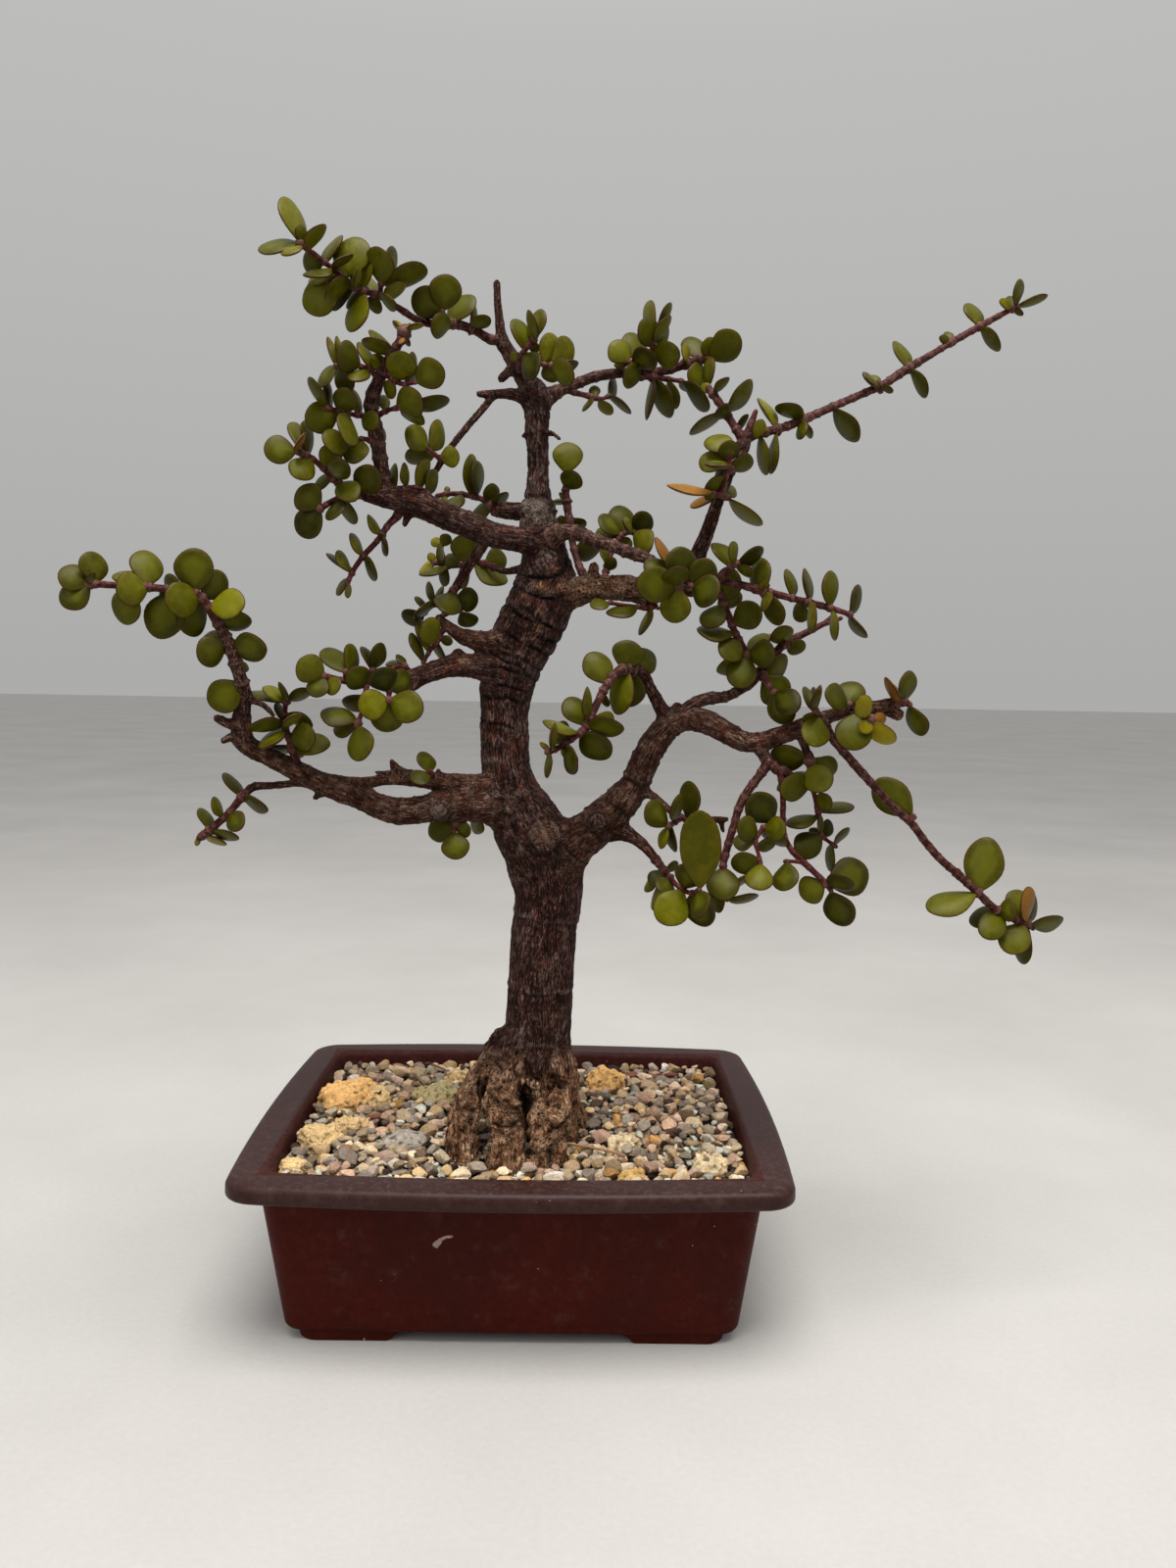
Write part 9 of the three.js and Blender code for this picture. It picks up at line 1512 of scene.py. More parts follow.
def window(a, b):
    i0 = np.maximum(np.floor((a - lo) / VOX).astype(int), 0)
    i1 = np.minimum(np.ceil((b - lo) / VOX).astype(int) + 1, dims)
    return i0, i1


for name, t in lines.items():
    k = blend_k(name)
    pad = k + 3.5
    t2 = t[:: 2] if len(t) > 4 else t
    if len(t) > 4 and (len(t) - 1) % 2:
        t2 = np.vstack([t2, t[-1]])
    i0, i1 = window((t2[:, :3] - t2[:, 3:4]).min(0) - pad, (t2[:, :3] + t2[:, 3:4]).max(0) + pad)
    if np.any(i1 <= i0):
        continue
    loc = np.full(i1 - i0, 9.0, F4)
    for a, b in zip(t2[:-1], t2[1:]):
        r = max(a[3], b[3]) + pad
        j0, j1 = window(np.minimum(a[:3], b[:3]) - r, np.maximum(a[:3], b[:3]) + r)
        j0, j1 = np.maximum(j0, i0), np.minimum(j1, i1)
        if np.any(j1 <= j0):
            continue
        X = (axes[0][j0[0]:j1[0]] - a[0])[:, None, None].astype(F4)
        Y = (axes[1][j0[1]:j1[1]] - a[1])[None, :, None].astype(F4)
        Z = (axes[2][j0[2]:j1[2]] - a[2])[None, None, :].astype(F4)
        d = (b - a).astype(F4)
        L2 = float(d[:3] @ d[:3]) + 1e-9
        tt = np.clip((X * d[0] + Y * d[1] + Z * d[2]) / L2, 0, 1)
        q = np.sqrt((X - tt * d[0]) ** 2 + (Y - tt * d[1]) ** 2 + (Z - tt * d[2]) ** 2) - (a[3] + tt * d[3])
        s = tuple(slice(j0[c] - i0[c], j1[c] - i0[c]) for c in range(3))
        loc[s] = np.minimum(loc[s], q)
    s = tuple(slice(i0[c], i1[c]) for c in range(3))
    A = field[s]
    h = np.clip(0.5 + 0.5 * (A - loc) / k, 0, 1)
    field[s] = A * (1 - h) + loc * h - k * h * (1 - h)


def carve(c, rad, k=1.5, tilt=0.0):
    c, rad = np.array(c, float), np.array(rad, float)
    i0, i1 = window(c - rad - k - 2, c + rad + k + 2)
    s = tuple(slice(i0[j], i1[j]) for j in range(3))
    X = (axes[0][i0[0]:i1[0]] - c[0])[:, None, None]
    Y = (axes[1][i0[1]:i1[1]] - c[1])[None, :, None]
    Z = (axes[2][i0[2]:i1[2]] - c[2])[None, None, :]
    Xr = X * math.cos(tilt) + Z * math.sin(tilt)
    Zr = -X * math.sin(tilt) + Z * math.cos(tilt)
    q = (np.sqrt((Xr / rad[0]) ** 2 + (Y / rad[1]) ** 2 + (Zr / rad[2]) ** 2) - 1) * rad.min()
    a, b = field[s], -q
    h = np.clip(0.5 - 0.5 * (a - b) / k * -1, 0, 1)
    h = np.clip(0.5 + 0.5 * (b - a) / k, 0, 1)
    field[s] = (a * (1 - h) + b * h + k * h * (1 - h)).astype(F4)


# the dark hollow between two front roots, and the clefts below it
carve(at_y(539, 1120, -37.5), (3.6, 5.6, 6.0), 1.4, -0.10)
carve(at_y(550, 1109, -33.5), (6.4, 5.0, 4.6), 1.4, -0.12)
carve(at_y(564, 1107, -31.0), (5.2, 3.6, 2.8), 1.2, -0.12)
carve(at_y(535, 1140, -42.0), (1.2, 6.0, 6.0), 0.9, -0.35)
carve(at_y(538, 1162, -45.0), (1.2, 5.0, 7.0), 0.9, 0.30)
carve(at_y(493, 1128, -34.0), (1.2, 7.0, 13.0), 0.8, -0.10)
carve(at_y(497, 1165, -41.0), (1.2, 6.0, 8.0), 0.8, -0.05)
carve(at_y(560, 1123, -36.0), (3.4, 3.0, 1.8), 0.9, 0.35)
carve(at_y(515, 1148, -47.5), (7.5, 1.6, 1.0), 0.8, 0.05)

field[:, :, 0] = np.maximum(field[:, :, 0], 0.4)
grid = openvdb.FloatGrid(9.0)
grid.copyFromArray(np.ascontiguousarray(field))
pts, tri, quad = grid.convertToPolygons(isovalue=0.0, adaptivity=0.0)
pts = np.asarray(pts, np.float64) * VOX + lo
tri, quad = np.asarray(tri, np.int64).reshape(-1, 3), np.asarray(quad, np.int64).reshape(-1, 4)
tris = np.vstack([tri, quad[:, [0, 1, 2]], quad[:, [0, 2, 3]]])
nrm = normals_of(pts, tris)
# point the faces outward
cen = pts[tris].mean(1)
ii = np.clip(((cen + nrm[tris[:, 0]] * 0.8 - lo) / VOX).round().astype(int), 0, np.array(dims) - 1)
jj = np.clip(((cen - nrm[tris[:, 0]] * 0.8 - lo) / VOX).round().astype(int), 0, np.array(dims) - 1)
if np.median(field[ii[:, 0], ii[:, 1], ii[:, 2]] - field[jj[:, 0], jj[:, 1], jj[:, 2]]) < 0:
    tris = tris[:, ::-1]
    quad = quad[:, ::-1]
    tri = tri[:, ::-1]
    nrm = -nrm
# keep the largest body only
parent = np.arange(len(pts))
lab = np.arange(len(pts))
for _ in range(200):
    m1 = np.minimum(np.minimum(lab[tris[:, 0]], lab[tris[:, 1]]), lab[tris[:, 2]])
    new = lab.copy()
    for c in range(3):
        np.minimum.at(new, tris[:, c], m1)
    new = new[new]
    new = new[new]
    if (new == lab).all():
        break
    lab = new
main = np.bincount(lab).argmax()
ok = lab == main
remap = np.cumsum(ok) - 1
pts, nrm = pts[ok], nrm[ok]
tri = remap[tri[ok[tri[:, 0]]]] if len(tri) else tri
quad = remap[quad[ok[quad[:, 0]]]]
tris = np.vstack([tri, quad[:, [0, 1, 2]], quad[:, [0, 2, 3]]])
NV = len(pts)
print("wood", NV, "vertices", len(tris), "triangles")

# where each vertex is on its nearest bars
U, Vv, DEP = project(pts)
facing = np.clip(-(nrm @ FW) * 2.2, 0, 1)
ring_v = {  # height on the trunk, seen from the front, of its rings: kind, strength
    933: ("scar", 1.0), 1004: ("scar", 1.0), 1058: ("scar", 0.7), 878: ("fold", 0.6), 813: ("scar", 0.7), 833: ("fold", 0.5), 774: ("scar", 0.45),
    745: ("fold", 0.25), 716: ("fold", 0.3), 686: ("fold", 1.0), 672: ("fold", 0.6), 655: ("fold", 0.9), 641: ("fold", 0.5), 631: ("fold", 0.9), 608: ("fold", 1.1), 589: ("fold", 0.8),
    547: ("fold", 1.0), 527: ("fold", 0.6), 508: ("fold", 0.9), 491: ("collar", 0.5), 473: ("collar", 0.9), 458: ("collar", 0.35), 443: ("collar", 1.1), 424: ("collar", 0.5), 410: ("collar", 0.4),
}
dmin = np.full(NV, 1e9)
part = []
for bi, (name, t) in enumerate(lines.items()):
    mlo, mhi = (t[:, :3] - t[:, 3:4]).min(0) - 4, (t[:, :3] + t[:, 3:4]).max(0) + 4
    idx = np.nonzero(((pts > mlo) & (pts < mhi)).all(1))[0]
    if not len(idx):
        continue
    T, N, B = frames_of(t)
    S = np.concatenate([[0], np.cumsum(np.linalg.norm(np.diff(t[:, :3], axis=0), axis=1))])
    best = np.full(len(idx), 1e9)
    near = np.zeros(len(idx), int)
    P = pts[idx]
    for i in range(len(t)):
        d = ((P - t[i, :3]) ** 2).sum(1)
        d = np.sqrt(d) - t[i, 3]
        g = d < best
        best[g], near[g] = d[g], i
    rel = P - t[near, :3]
    al = (rel * T[near]).sum(1)
    rad = rel - al[:, None] * T[near]
    rr = np.linalg.norm(rad, axis=1)
    keep = best < 4.0
    idx, near, al, rad, best, rr = idx[keep], near[keep], al[keep], rad[keep], best[keep], rr[keep]
    x, y, s = (rad * N[near]).sum(1), (rad * B[near]).sum(1), S[near] + al
    np.minimum.at(dmin, idx, best)
    part.append((name, bi, idx, best, x, y, s, t[near, 3], S))
wsum = np.zeros(NV)
disp = np.zeros(NV)
co = np.zeros((NV, 3))
wbest = np.zeros(NV)
mk = {k: np.zeros(NV) for k in ("dark", "pale", "warm", "young", "rough")}
for name, bi, idx, best, x, y, s, r, S in part:
    w = np.exp(-(best - dmin[idx]) / 0.9)
    g = w > 0.03
    idx, best, x, y, s, r, w = idx[g], best[g], x[g], y[g], s[g], r[g], w[g]
    if not len(idx):
        continue
    p = pts[idx]
    off = bi * 37.0
    L = np.stack([x + off, y + off * 0.7, s], 1)
    t = lines[name]
    zz = p[:, 2]
    amp = np.clip(r / 9.0, 0.22, 1.0)
    q = L * np.array([1 / 2.1, 1 / 2.1, 1 / 11.0])
    q = q + 0.35 * np.stack([noise(L * 0.14, 5 + bi), noise(L * 0.14 + 9, 6 + bi), np.zeros(len(L))], 1)
    fib = ridged(q, 11)
    fib2 = ridged(L * np.array([1 / 1.2, 1 / 1.2, 1 / 5.0]), 12)
    lump = fbm(L * np.array([1 / 7.0, 1 / 7.0, 1 / 9.0]), 2, 21)
    lump2 = fbm(L / 2.6, 2, 23)
    d = 0.30 * amp * (fib - 0.45) + 0.14 * amp * (fib2 - 0.4) + 0.5 * amp * lump + 0.12 * amp * lump2
    M = {k: np.zeros(len(idx)) for k in mk}
    is_root = name.startswith("root")
    if name == "trunk":
        # rings, from their height in the front view
        ub, vb, _ = project(t[:, :3])
        low = np.clip((zz - 88) / 12, 0, 1)
        up = np.clip((zz - 262) / 18, 0, 1)           # the folded upper trunk
        d = d * (1 - 0.35 * up)
        band = np.clip(1 - np.abs(zz - 103) / 9, 0, 1)     # the smoother band over the roots
        d = d * (1 - 0.5 * band)
        wr = noise(L * np.array([1 / 7.0, 1 / 7.0, 1 / 0.95]), 31)
        d += wr * (0.12 + 0.20 * up)
        M["rough"] += 0.15 * band
        wav = 2.0 * noise(np.stack([np.arctan2(y, x) * 1.3, np.zeros(len(x)), s / 30], 1), 33)
        for v0, (kind, st) in ring_v.items():
            i = np.argmin(np.abs(vb - v0))
            ds = s - S[i] - wav * (0.9 if kind == "fold" else 0.5)
            fade = np.clip(0.62 + 0.9 * noise(np.stack([np.arctan2(y, x) * 1.5 + v0, np.zeros(len(x)), np.full(len(x), v0 * 0.7)], 1), 35), 0.15, 1)
            if kind == "scar":
                d += st * (0.32 * np.exp(-(ds / 0.7) ** 2) - 0.28 * np.exp(-((ds + 1.5) / 0.9) ** 2))
                M["pale"] += st * fade * 0.62 * np.exp(-(ds / 0.62) ** 2)
                # painted shade: the groove under the scar's ridge is painted dark
                M["dark"] += st * fade * 0.62 * np.exp(-((ds + 1.3) / 0.7) ** 2)
            elif kind == "fold":
                d += st * (0.3 + 0.7 * fade) * (-0.85 * np.exp(-(ds / 0.62) ** 2) + 0.36 * np.exp(-((ds - 2.0) / 1.6) ** 2) + 0.24 * np.exp(-((ds + 2.2) / 1.6) ** 2))
                # painted shade: the fold's groove is painted dark; its upper lip is painted pale as a painted highlight
                M["dark"] += st * (0.35 + 0.85 * fade) * np.exp(-(ds / 0.66) ** 2)
                M["pale"] += st * fade * 0.30 * np.exp(-((ds - 1.6) / 0.8) ** 2)
            else:
                d += st * (0.5 * np.exp(-(ds / 0.8) ** 2) - 0.15 * np.exp(-((ds + 1.4) / 0.7) ** 2))
                # painted shade: the groove under the collar's ridge is painted dark
                M["dark"] += st * 0.62 * np.exp(-((ds + 0.95) / 0.56) ** 2)
                M["pale"] += st * fade * 0.3 * np.exp(-((ds - 0.2) / 0.5) ** 2)
        i0, i1 = np.argmin(np.abs(vb - 546)), np.argmin(np.abs(vb - 509))
        cal = np.clip(1 - np.abs(s - 0.5 * (S[i0] + S[i1])) / (0.55 * (S[i1] - S[i0])), 0, 1) ** 0.6
        cn = noise(L * np.array([1 / 2.6, 1 / 2.6, 1 / 1.35]), 41)
        d += cal * (0.95 * cn + 0.35)
        # the callus is pale of its own, paler still on its bumps as a painted highlight; its dips are painted dark as
        # painted shade
        M["pale"] += cal * np.clip(0.30 + 1.0 * cn, 0, 0.8)
        M["rough"] += 1.6 * cal
        M["dark"] += cal * np.clip(-0.9 * cn - 0.12, 0, 0.7)
        hi2 = np.clip((zz - 318) / 10, 0, 1)
        M["pale"] += hi2 * np.clip(0.14 + 0.5 * noise(L * np.array([1 / 1.6, 1 / 1.6, 1 / 4.0]), 43), 0, 0.4)
        mid = np.clip(1 - np.abs(zz - 262) / 12, 0, 1)
        M["pale"] += mid * np.clip(0.1 + 0.6 * noise(L * np.array([1 / 1.6, 1 / 1.6, 1 / 6.0]), 44), 0, 0.5)
        M["warm"] += np.clip((96 - zz) / 10, 0, 1) * 0.8
    elif is_root:
        rt = fbm(L / 4.0, 3, 51)
        d += 1.2 * rt + 0.85 * fbm(L / 1.9, 2, 53) + 0.9 * fbm(L / 7.0, 2, 54)
        fr = ridged(L * np.array([1 / 2.4, 1 / 2.4, 1 / 6.0]), 55)
        d += 0.45 * (fr - 0.4)
        crk = noise(L * np.array([1 / 9.0, 1 / 9.0, 1 / 3.2]), 57)
        M["warm"] += np.clip((108 - zz) / 14, 0, 1) * 0.95
        M["rough"] += np.clip((98 - zz) / 14, 0, 1) * 0.5
        big = fbm(L / 5.5, 2, 56)
        d += 0.8 * big
        # painted shade in the hollows of the lumps and a painted highlight on their crests; the crk term adds the
        # bark's own dark cracks
        M["dark"] += np.clip(-(rt + big) * 1.7 - 0.22, 0, 0.85) + np.clip(crk * 1.7 - 0.85, 0, 0.5)
        M["pale"] += np.clip((rt + big) * 1.3 - 0.16, 0, 0.6)
        d += 0.7 * np.clip(ridged(L * np.array([1 / 5.0, 1 / 5.0, 1 / 8.0]), 59) - 0.45, -0.4, 0.6)
        # seams run across the lobes, as healed bark has; their grooves are painted dark, as painted shade
        sm = noise(L * np.array([1 / 6.0, 1 / 6.0, 1 / 2.6]), 58)
        sl_ = np.exp(-(sm / 0.05) ** 2)
        d -= 0.55 * sl_
        M["dark"] += 0.55 * sl_
    else:
        yr = np.clip((6.5 - r) / 3.5, 0, 1)
        M["young"] += yr * 0.85
        # leaf-scar rings and wrinkles
        per = 5.5 + 3.0 * ((bi * 0.37) % 1)
        wob = 0.8 * noise(np.stack([x / 4, y / 4, s / 4], 1) + off, 61)
        ph = (s + wob) / per + 0.35 * noise(np.stack([s / 14, np.zeros(len(s)), np.zeros(len(s)) + bi], 1), 62)
        ds = (ph - np.round(ph)) * per
        d += np.clip(r / 6, 0.35, 1) * (0.34 * np.exp(-(ds / 0.7) ** 2) - 0.14 * np.exp(-((ds - 1.2) / 0.7) ** 2))
        # painted shade: the groove beside each ring is painted dark
        M["dark"] += 0.42 * np.exp(-((ds - 0.9) / 0.45) ** 2)
        M["pale"] += 0.20 * np.exp(-(ds / 0.5) ** 2)
        wr = noise(L * np.array([1 / 5.0, 1 / 5.0, 1 / 0.9]), 63)
        d += 0.10 * wr
        blis = np.clip(noise(L / 2.2, 65) - 0.42, 0, 1)
        d += 0.9 * blis * np.clip(r / 4, 0.3, 1)
        M["pale"] += 0.5 * np.clip(blis * 3, 0, 1)
        if name in ("rough", "rough_low", "rough_knot", "ll_broken", "ll_broken2", "rl_mid", "rl_end", "right_low", "mid_stub", "low_left", "ll_upper"):
            kk = 1.0 if name.startswith("rough") else 0.4
            pit = fbm(L / 1.9, 3, 67)
            d += kk * (0.75 * pit - 0.7 * np.clip(ridged(L / 2.4, 68) - 0.75, 0, 1))
            M["rough"] += kk * 0.9
            # painted highlight on the high parts of the pitting and painted shade in its low parts
            M["pale"] += kk * np.clip(0.9 * pit - 0.05, 0, 0.5)
            M["dark"] += kk * np.clip(-1.2 * pit - 0.25, 0, 0.5)
            M["warm"] += 0.35 * kk
        if name == "right_low":
            # folds on the thick lower part
            for sv in (18, 31, 44, 57, 69, 82):
                ds = s - sv - 1.2 * noise(np.stack([np.arctan2(y, x) * 1.2, np.zeros(len(x)), np.full(len(x), sv)], 1), 69)
                d += np.clip(r / 8, 0.3, 1) * (-0.5 * np.exp(-(ds / 0.7) ** 2) + 0.25 * np.exp(-((ds - 1.8) / 1.2) ** 2))
                # painted shade in the groove of each fold
                M["dark"] += 0.5 * np.exp(-(ds / 0.6) ** 2)
    wsum[idx] += w
    disp[idx] += w * d
    for k in mk:
        mk[k][idx] += w * M[k]
    g = w > wbest[idx]
    co[idx[g]] = L[g]
    wbest[idx[g]] = w[g]
wsum = np.maximum(wsum, 1e-9)
disp /= wsum
for k in mk:
    mk[k] /= wsum
amb = np.clip(2.2 * (1 - wbest / wsum), 0, 1)
# creases where bars meet collect shadow
mk["dark"] += 0.35 * amb * np.clip(0.5 + fbm(pts / 3.0, 2, 71), 0, 1)


def spot(u, v, radius, grow=1.0):
    """Distance in millimetres from a place on the front, over the radius, and how much it counts."""
    rho = np.hypot(U - u, Vv - v) * DEP / FOCAL
    return rho, np.clip(1 - rho / radius, 0, 1) * facing * (np.abs(pts[:, 1] + 16) < 40)


# round healed wound with folds round it, low on the top section
rho, w = spot(560, 571, 9.5)
th_ = np.arctan2(Vv - 571, U - 560)
wv = rho * (1 + 0.18 * np.cos(2 * th_ + 0.6)) + 2.2 * fbm(pts / 3.4, 2, 81) + 0.35 * th_
amp_ = np.clip(0.55 + 1.4 * noise(pts / 3.0, 82), 0.1, 1.3)
disp += facing * np.exp(-(rho / 6.0) ** 2) * 1.5
disp += facing * np.exp(-(rho / 7.0) ** 4) * 0.40 * amp_ * np.cos(2 * math.pi * wv / 2.9)
# painted shade in the grooves of the folds
mk["dark"] += facing * np.exp(-(rho / 7.5) ** 4) * 0.75 * amp_ * np.clip(-np.cos(2 * math.pi * wv / 2.9), 0, 1) ** 2
scr = noise(np.stack([pts[:, 0] * 0.9 + 0.5 * pts[:, 2], pts[:, 1] * 0.4, pts[:, 2] * 1.5 - 0.7 * pts[:, 0]], 1), 84)
# pale scratches, paler on the fold ridges as a painted highlight
mk["pale"] += facing * np.exp(-((rho + 0.25 * (Vv - 571) * DEP / FOCAL) / 4.6) ** 4) * np.clip(0.10 + 1.6 * scr + 0.4 * amp_ * np.cos(2 * math.pi * wv / 2.9), 0, 0.85)
mk["rough"] += facing * np.exp(-(rho / 7.5) ** 4)
# painted shade: a dark arc under the lower edge of the wound
mk["dark"] += facing * 0.8 * np.exp(-((rho - 7.4) / 0.6) ** 2) * (Vv > 571)
# boss with a swirl at the foot of the right branch
rho, w = spot(611, 839, 6.5)
wv = rho + 1.0 * fbm(pts / 2.5, 2, 83) + 0.3 * np.arctan2(Vv - 839, U - 611)
disp += facing * np.exp(-(rho / 4.2) ** 2) * 1.1 + facing * np.exp(-(rho / 4.6) ** 4) * 0.3 * np.cos(2 * math.pi * wv / 2.0)
# painted highlight on the ridges of the swirl and painted shade in its grooves
mk["pale"] += facing * np.exp(-(rho / 3.6) ** 4) * 0.5 * np.clip(0.3 + np.cos(2 * math.pi * wv / 2.0), 0, 1)
mk["dark"] += facing * np.exp(-(rho / 5.2) ** 4) * 0.4 * np.clip(-np.cos(2 * math.pi * wv / 2.0), 0, 1)
# cut stump on the fork: paler face with a pale lip
rho, w = spot(556, 852, 7.0)
mk["pale"] += facing * 0.30 * np.exp(-((rho - 5.6) / 0.8) ** 2)
mk["warm"] += facing * 0.14 * np.exp(-(rho / 5.0) ** 4)
mk["young"] += facing * 0.7 * np.exp(-(rho / 5.0) ** 4)
mk["dark"] += facing * 0.5 * np.exp(-((rho - 6.8) / 0.6) ** 2)
disp += facing * (0.45 * np.exp(-((rho - 5.4) / 1.1) ** 2) - 0.5 * np.exp(-(rho / 4.0) ** 4))
# old cut on the left branch
rho, w = spot(447, 829, 5.0)
mk["pale"] += facing * 0.45 * np.exp(-(rho / 3.6) ** 4)
disp += facing * (0.4 * np.exp(-((rho - 3.4) / 0.9) ** 2) - 0.35 * np.exp(-(rho / 2.6) ** 4))
for (u0, v0, r0) in ((556, 597, 1.5), (572, 596, 1.7), (548, 640, 1.2), (533, 655, 1.3)):
    rho, w = spot(u0, v0, r0)
    mk["warm"] += facing * 0.9 * np.exp(-(rho / r0) ** 2)
    mk["pale"] -= facing * 0.5 * np.exp(-(rho / r0) ** 2)
# small dark knob between the roots
rho, w = spot(492, 1154, 4.0)
disp += facing * 1.6 * np.exp(-(rho / 2.4) ** 2)
mk["dark"] += facing * 0.35 * np.exp(-(rho / 2.6) ** 2)
def crease(line, width, depth, dark=0.7, pale=0.0, lip=0.0, soft=1.0):
    """A groove (or, with a negative depth, a ridge) along a line on the front; widths and depths in millimetres."""
    q = np.array(line, float)
    best = np.full(NV, 1e9)
    side = np.zeros(NV)
    box = (U > q[:, 0].min() - 12) & (U < q[:, 0].max() + 12) & (Vv > q[:, 1].min() - 12) & (Vv < q[:, 1].max() + 12) & (facing > 0.05) & (np.abs(pts[:, 1] + 20) < 34)
    ix = np.nonzero(box)[0]
    if not len(ix):
        return
    pu, pv = U[ix], Vv[ix]
    # a small wander keeps the line from looking drawn
    wn = 1.3 * noise(pts[ix] / 2.4, int(q[0, 0]) % 50)
    b_, s_ = np.full(len(ix), 1e9), np.zeros(len(ix))
    tot = 0.0
    seg = np.hypot(*np.diff(q, axis=0).T)
    full = seg.sum()
    end = np.ones(len(ix))
    for j in range(len(q) - 1):
        a, b = q[j], q[j + 1]
        d = b - a
        tt = np.clip(((pu - a[0]) * d[0] + (pv - a[1]) * d[1]) / (d @ d), 0, 1)
        dist = np.hypot(pu - a[0] - tt * d[0], pv - a[1] - tt * d[1])
        g = dist < b_
        b_[g] = dist[g]
        s_[g] = ((pv - a[1]) * d[0] - (pu - a[0]) * d[1])[g]
        along = (tot + tt * seg[j]) / full
        end[g] = np.clip(np.minimum(along, 1 - along)[g] * 6 + 0.25, 0, 1)
        tot += seg[j]
    mm = (b_ + wn * 0.5) * DEP[ix] / FOCAL
    f = facing[ix] * end
    e = np.exp(-(mm / width) ** 2) * f
    disp[ix] -= depth * e
    if lip:
        disp[ix] += lip * np.exp(-((mm - 1.9 * width) / (1.1 * width)) ** 2) * f
    # painted shade: the groove is painted dark; the pale band, laid on ridges, is a painted highlight
    mk["dark"][ix] += dark * np.exp(-(mm / (width * 0.85)) ** 2) * f
    if pale:
        mk["pale"][ix] += pale * e


def patch(u, v, ru, rv, kind, amount):
    """A blotch of one kind on the front."""
    e = ((U - u) / ru) ** 2 + ((Vv - v) / rv) ** 2
    e = e + 0.9 * fbm(pts / 2.2, 2, int(u) % 60)
    mk[kind] += amount * facing * np.clip(1.25 - e, 0, 1) * (np.abs(pts[:, 1] + 16) < 34)


for line in (((538, 588), (550, 590), (562, 589), (572, 585)), ((540, 605), (555, 611), (570, 609), (580, 606)), ((512, 640), (528, 655), (540, 660), (552, 665)),
             ((500, 665), (515, 675), (530, 680), (540, 690)), ((490, 685), (500, 680), (515, 682), (528, 688)), ((535, 540), (548, 546), (562, 542), (567, 538)),
             ((537, 620), (545, 630), (558, 638), (565, 640)), ((520, 622), (528, 628), (538, 632)), ((548, 650), (558, 655), (566, 654)), ((505, 652), (514, 660), (524, 664)),
             ((482, 706), (500, 712), (520, 712), (536, 722)), ((478, 730), (498, 738), (516, 740), (530, 746)), ((506, 698), (522, 702), (538, 706))):
    crease(line, 0.55, 0.9, 0.85, lip=0.35)
# wrinkles round the fork
for line in (((497, 807), (505, 815), (518, 817), (530, 813), (538, 806)), ((500, 824), (508, 831), (520, 832), (530, 828)), ((506, 842), (516, 846), (528, 842)), ((508, 790), (520, 796), (534, 792)),
             ((484, 846), (492, 862), (504, 874)), ((476, 838), (484, 856), (496, 872)), ((575, 800), (580, 815), (590, 826)), ((572, 822), (578, 840), (590, 852), (600, 858)),
             ((584, 866), (594, 872), (604, 868)), ((526, 878), (540, 886), (556, 880)), ((528, 890), (542, 900), (560, 890))):
    crease(line, 0.5, 0.55, 0.55, lip=0.3)
crease(((497, 804), (505, 812), (518, 814), (530, 810), (538, 803)), 0.6, -0.3, 0.0, pale=0.5)
crease(((540, 860), (548, 870), (553, 876)), 0.5, 0.5, 0.5)
crease(((541, 857), (553, 842), (560, 855)), 0.7, -0.4, 0.0, pale=0.35)
patch(562, 848, 9, 13, "warm", 0.22)
patch(531, 868, 5, 7, "pale", 0.45)
patch(622, 832, 4, 8, "warm", 0.4)
patch(570, 597, 5, 4, "warm", 0.7)
patch(552, 597, 5, 4, "warm", 0.7)
patch(471, 677, 8, 6, "warm", 0.6)
patch(553, 525, 9, 5, "pale", 0.8)
patch(545, 514, 12, 5, "pale", 0.5)
patch(556, 533, 12, 4, "pale", 0.4)
# clefts between the root lobes, and the crumbly ground above them; both are painted dark in their hollows, as painted
# shade
for line in (((488, 1096), (491, 1118), (494, 1140), (496, 1160), (497, 1182)), ((530, 1108), (535, 1130), (538, 1150), (538, 1182))):
    crease(line, 1.3, 1.6, 1.3)
crease(((500, 1145), (512, 1150), (525, 1148), (533, 1140)), 0.6, 0.9, 0.9, lip=0.4)
crease(((563, 1118), (560, 1128), (552, 1136)), 0.7, 0.8, 0.8)
crease(((581, 1140), (572, 1148), (562, 1152), (556, 1158)), 0.6, 0.8, 0.8, lip=0.4)
crease(((560, 1172), (562, 1180), (560, 1190)), 0.7, 0.8, 0.8)
crease(((504, 1082), (512, 1092), (514, 1104), (509, 1114)), 0.5, 0.7, 0.7, lip=0.35)
crease(((526, 1078), (524, 1092), (528, 1104)), 0.5, 0.6, 0.6, lip=0.3)
crease(((487, 1104), (481, 1114), (483, 1126)), 0.5, 0.6, 0.6, lip=0.3)
crease(((516, 1156), (523, 1164), (521, 1176)), 0.5, 0.7, 0.7, lip=0.3)
crease(((505, 1100), (513, 1104), (524, 1102)), 0.5, 0.6, 0.6, lip=0.3)
crease(((503, 1122), (512, 1126), (522, 1122)), 0.45, 0.5, 0.5, lip=0.3)
crease(((471, 1128), (480, 1134), (489, 1130)), 0.5, 0.6, 0.6, lip=0.3)
crease(((466, 1150), (476, 1158), (486, 1154)), 0.5, 0.6, 0.6, lip=0.3)
crease(((543, 1145), (551, 1149), (558, 1146)), 0.45, 0.5, 0.5, lip=0.3)
crum = ((U - 556) / 24) ** 2 + ((Vv - 1106) / 11) ** 2
cw = facing * np.clip(1.35 - crum, 0, 1) * (pts[:, 1] < -14)
cn_ = fbm(pts / 1.7, 3, 77)
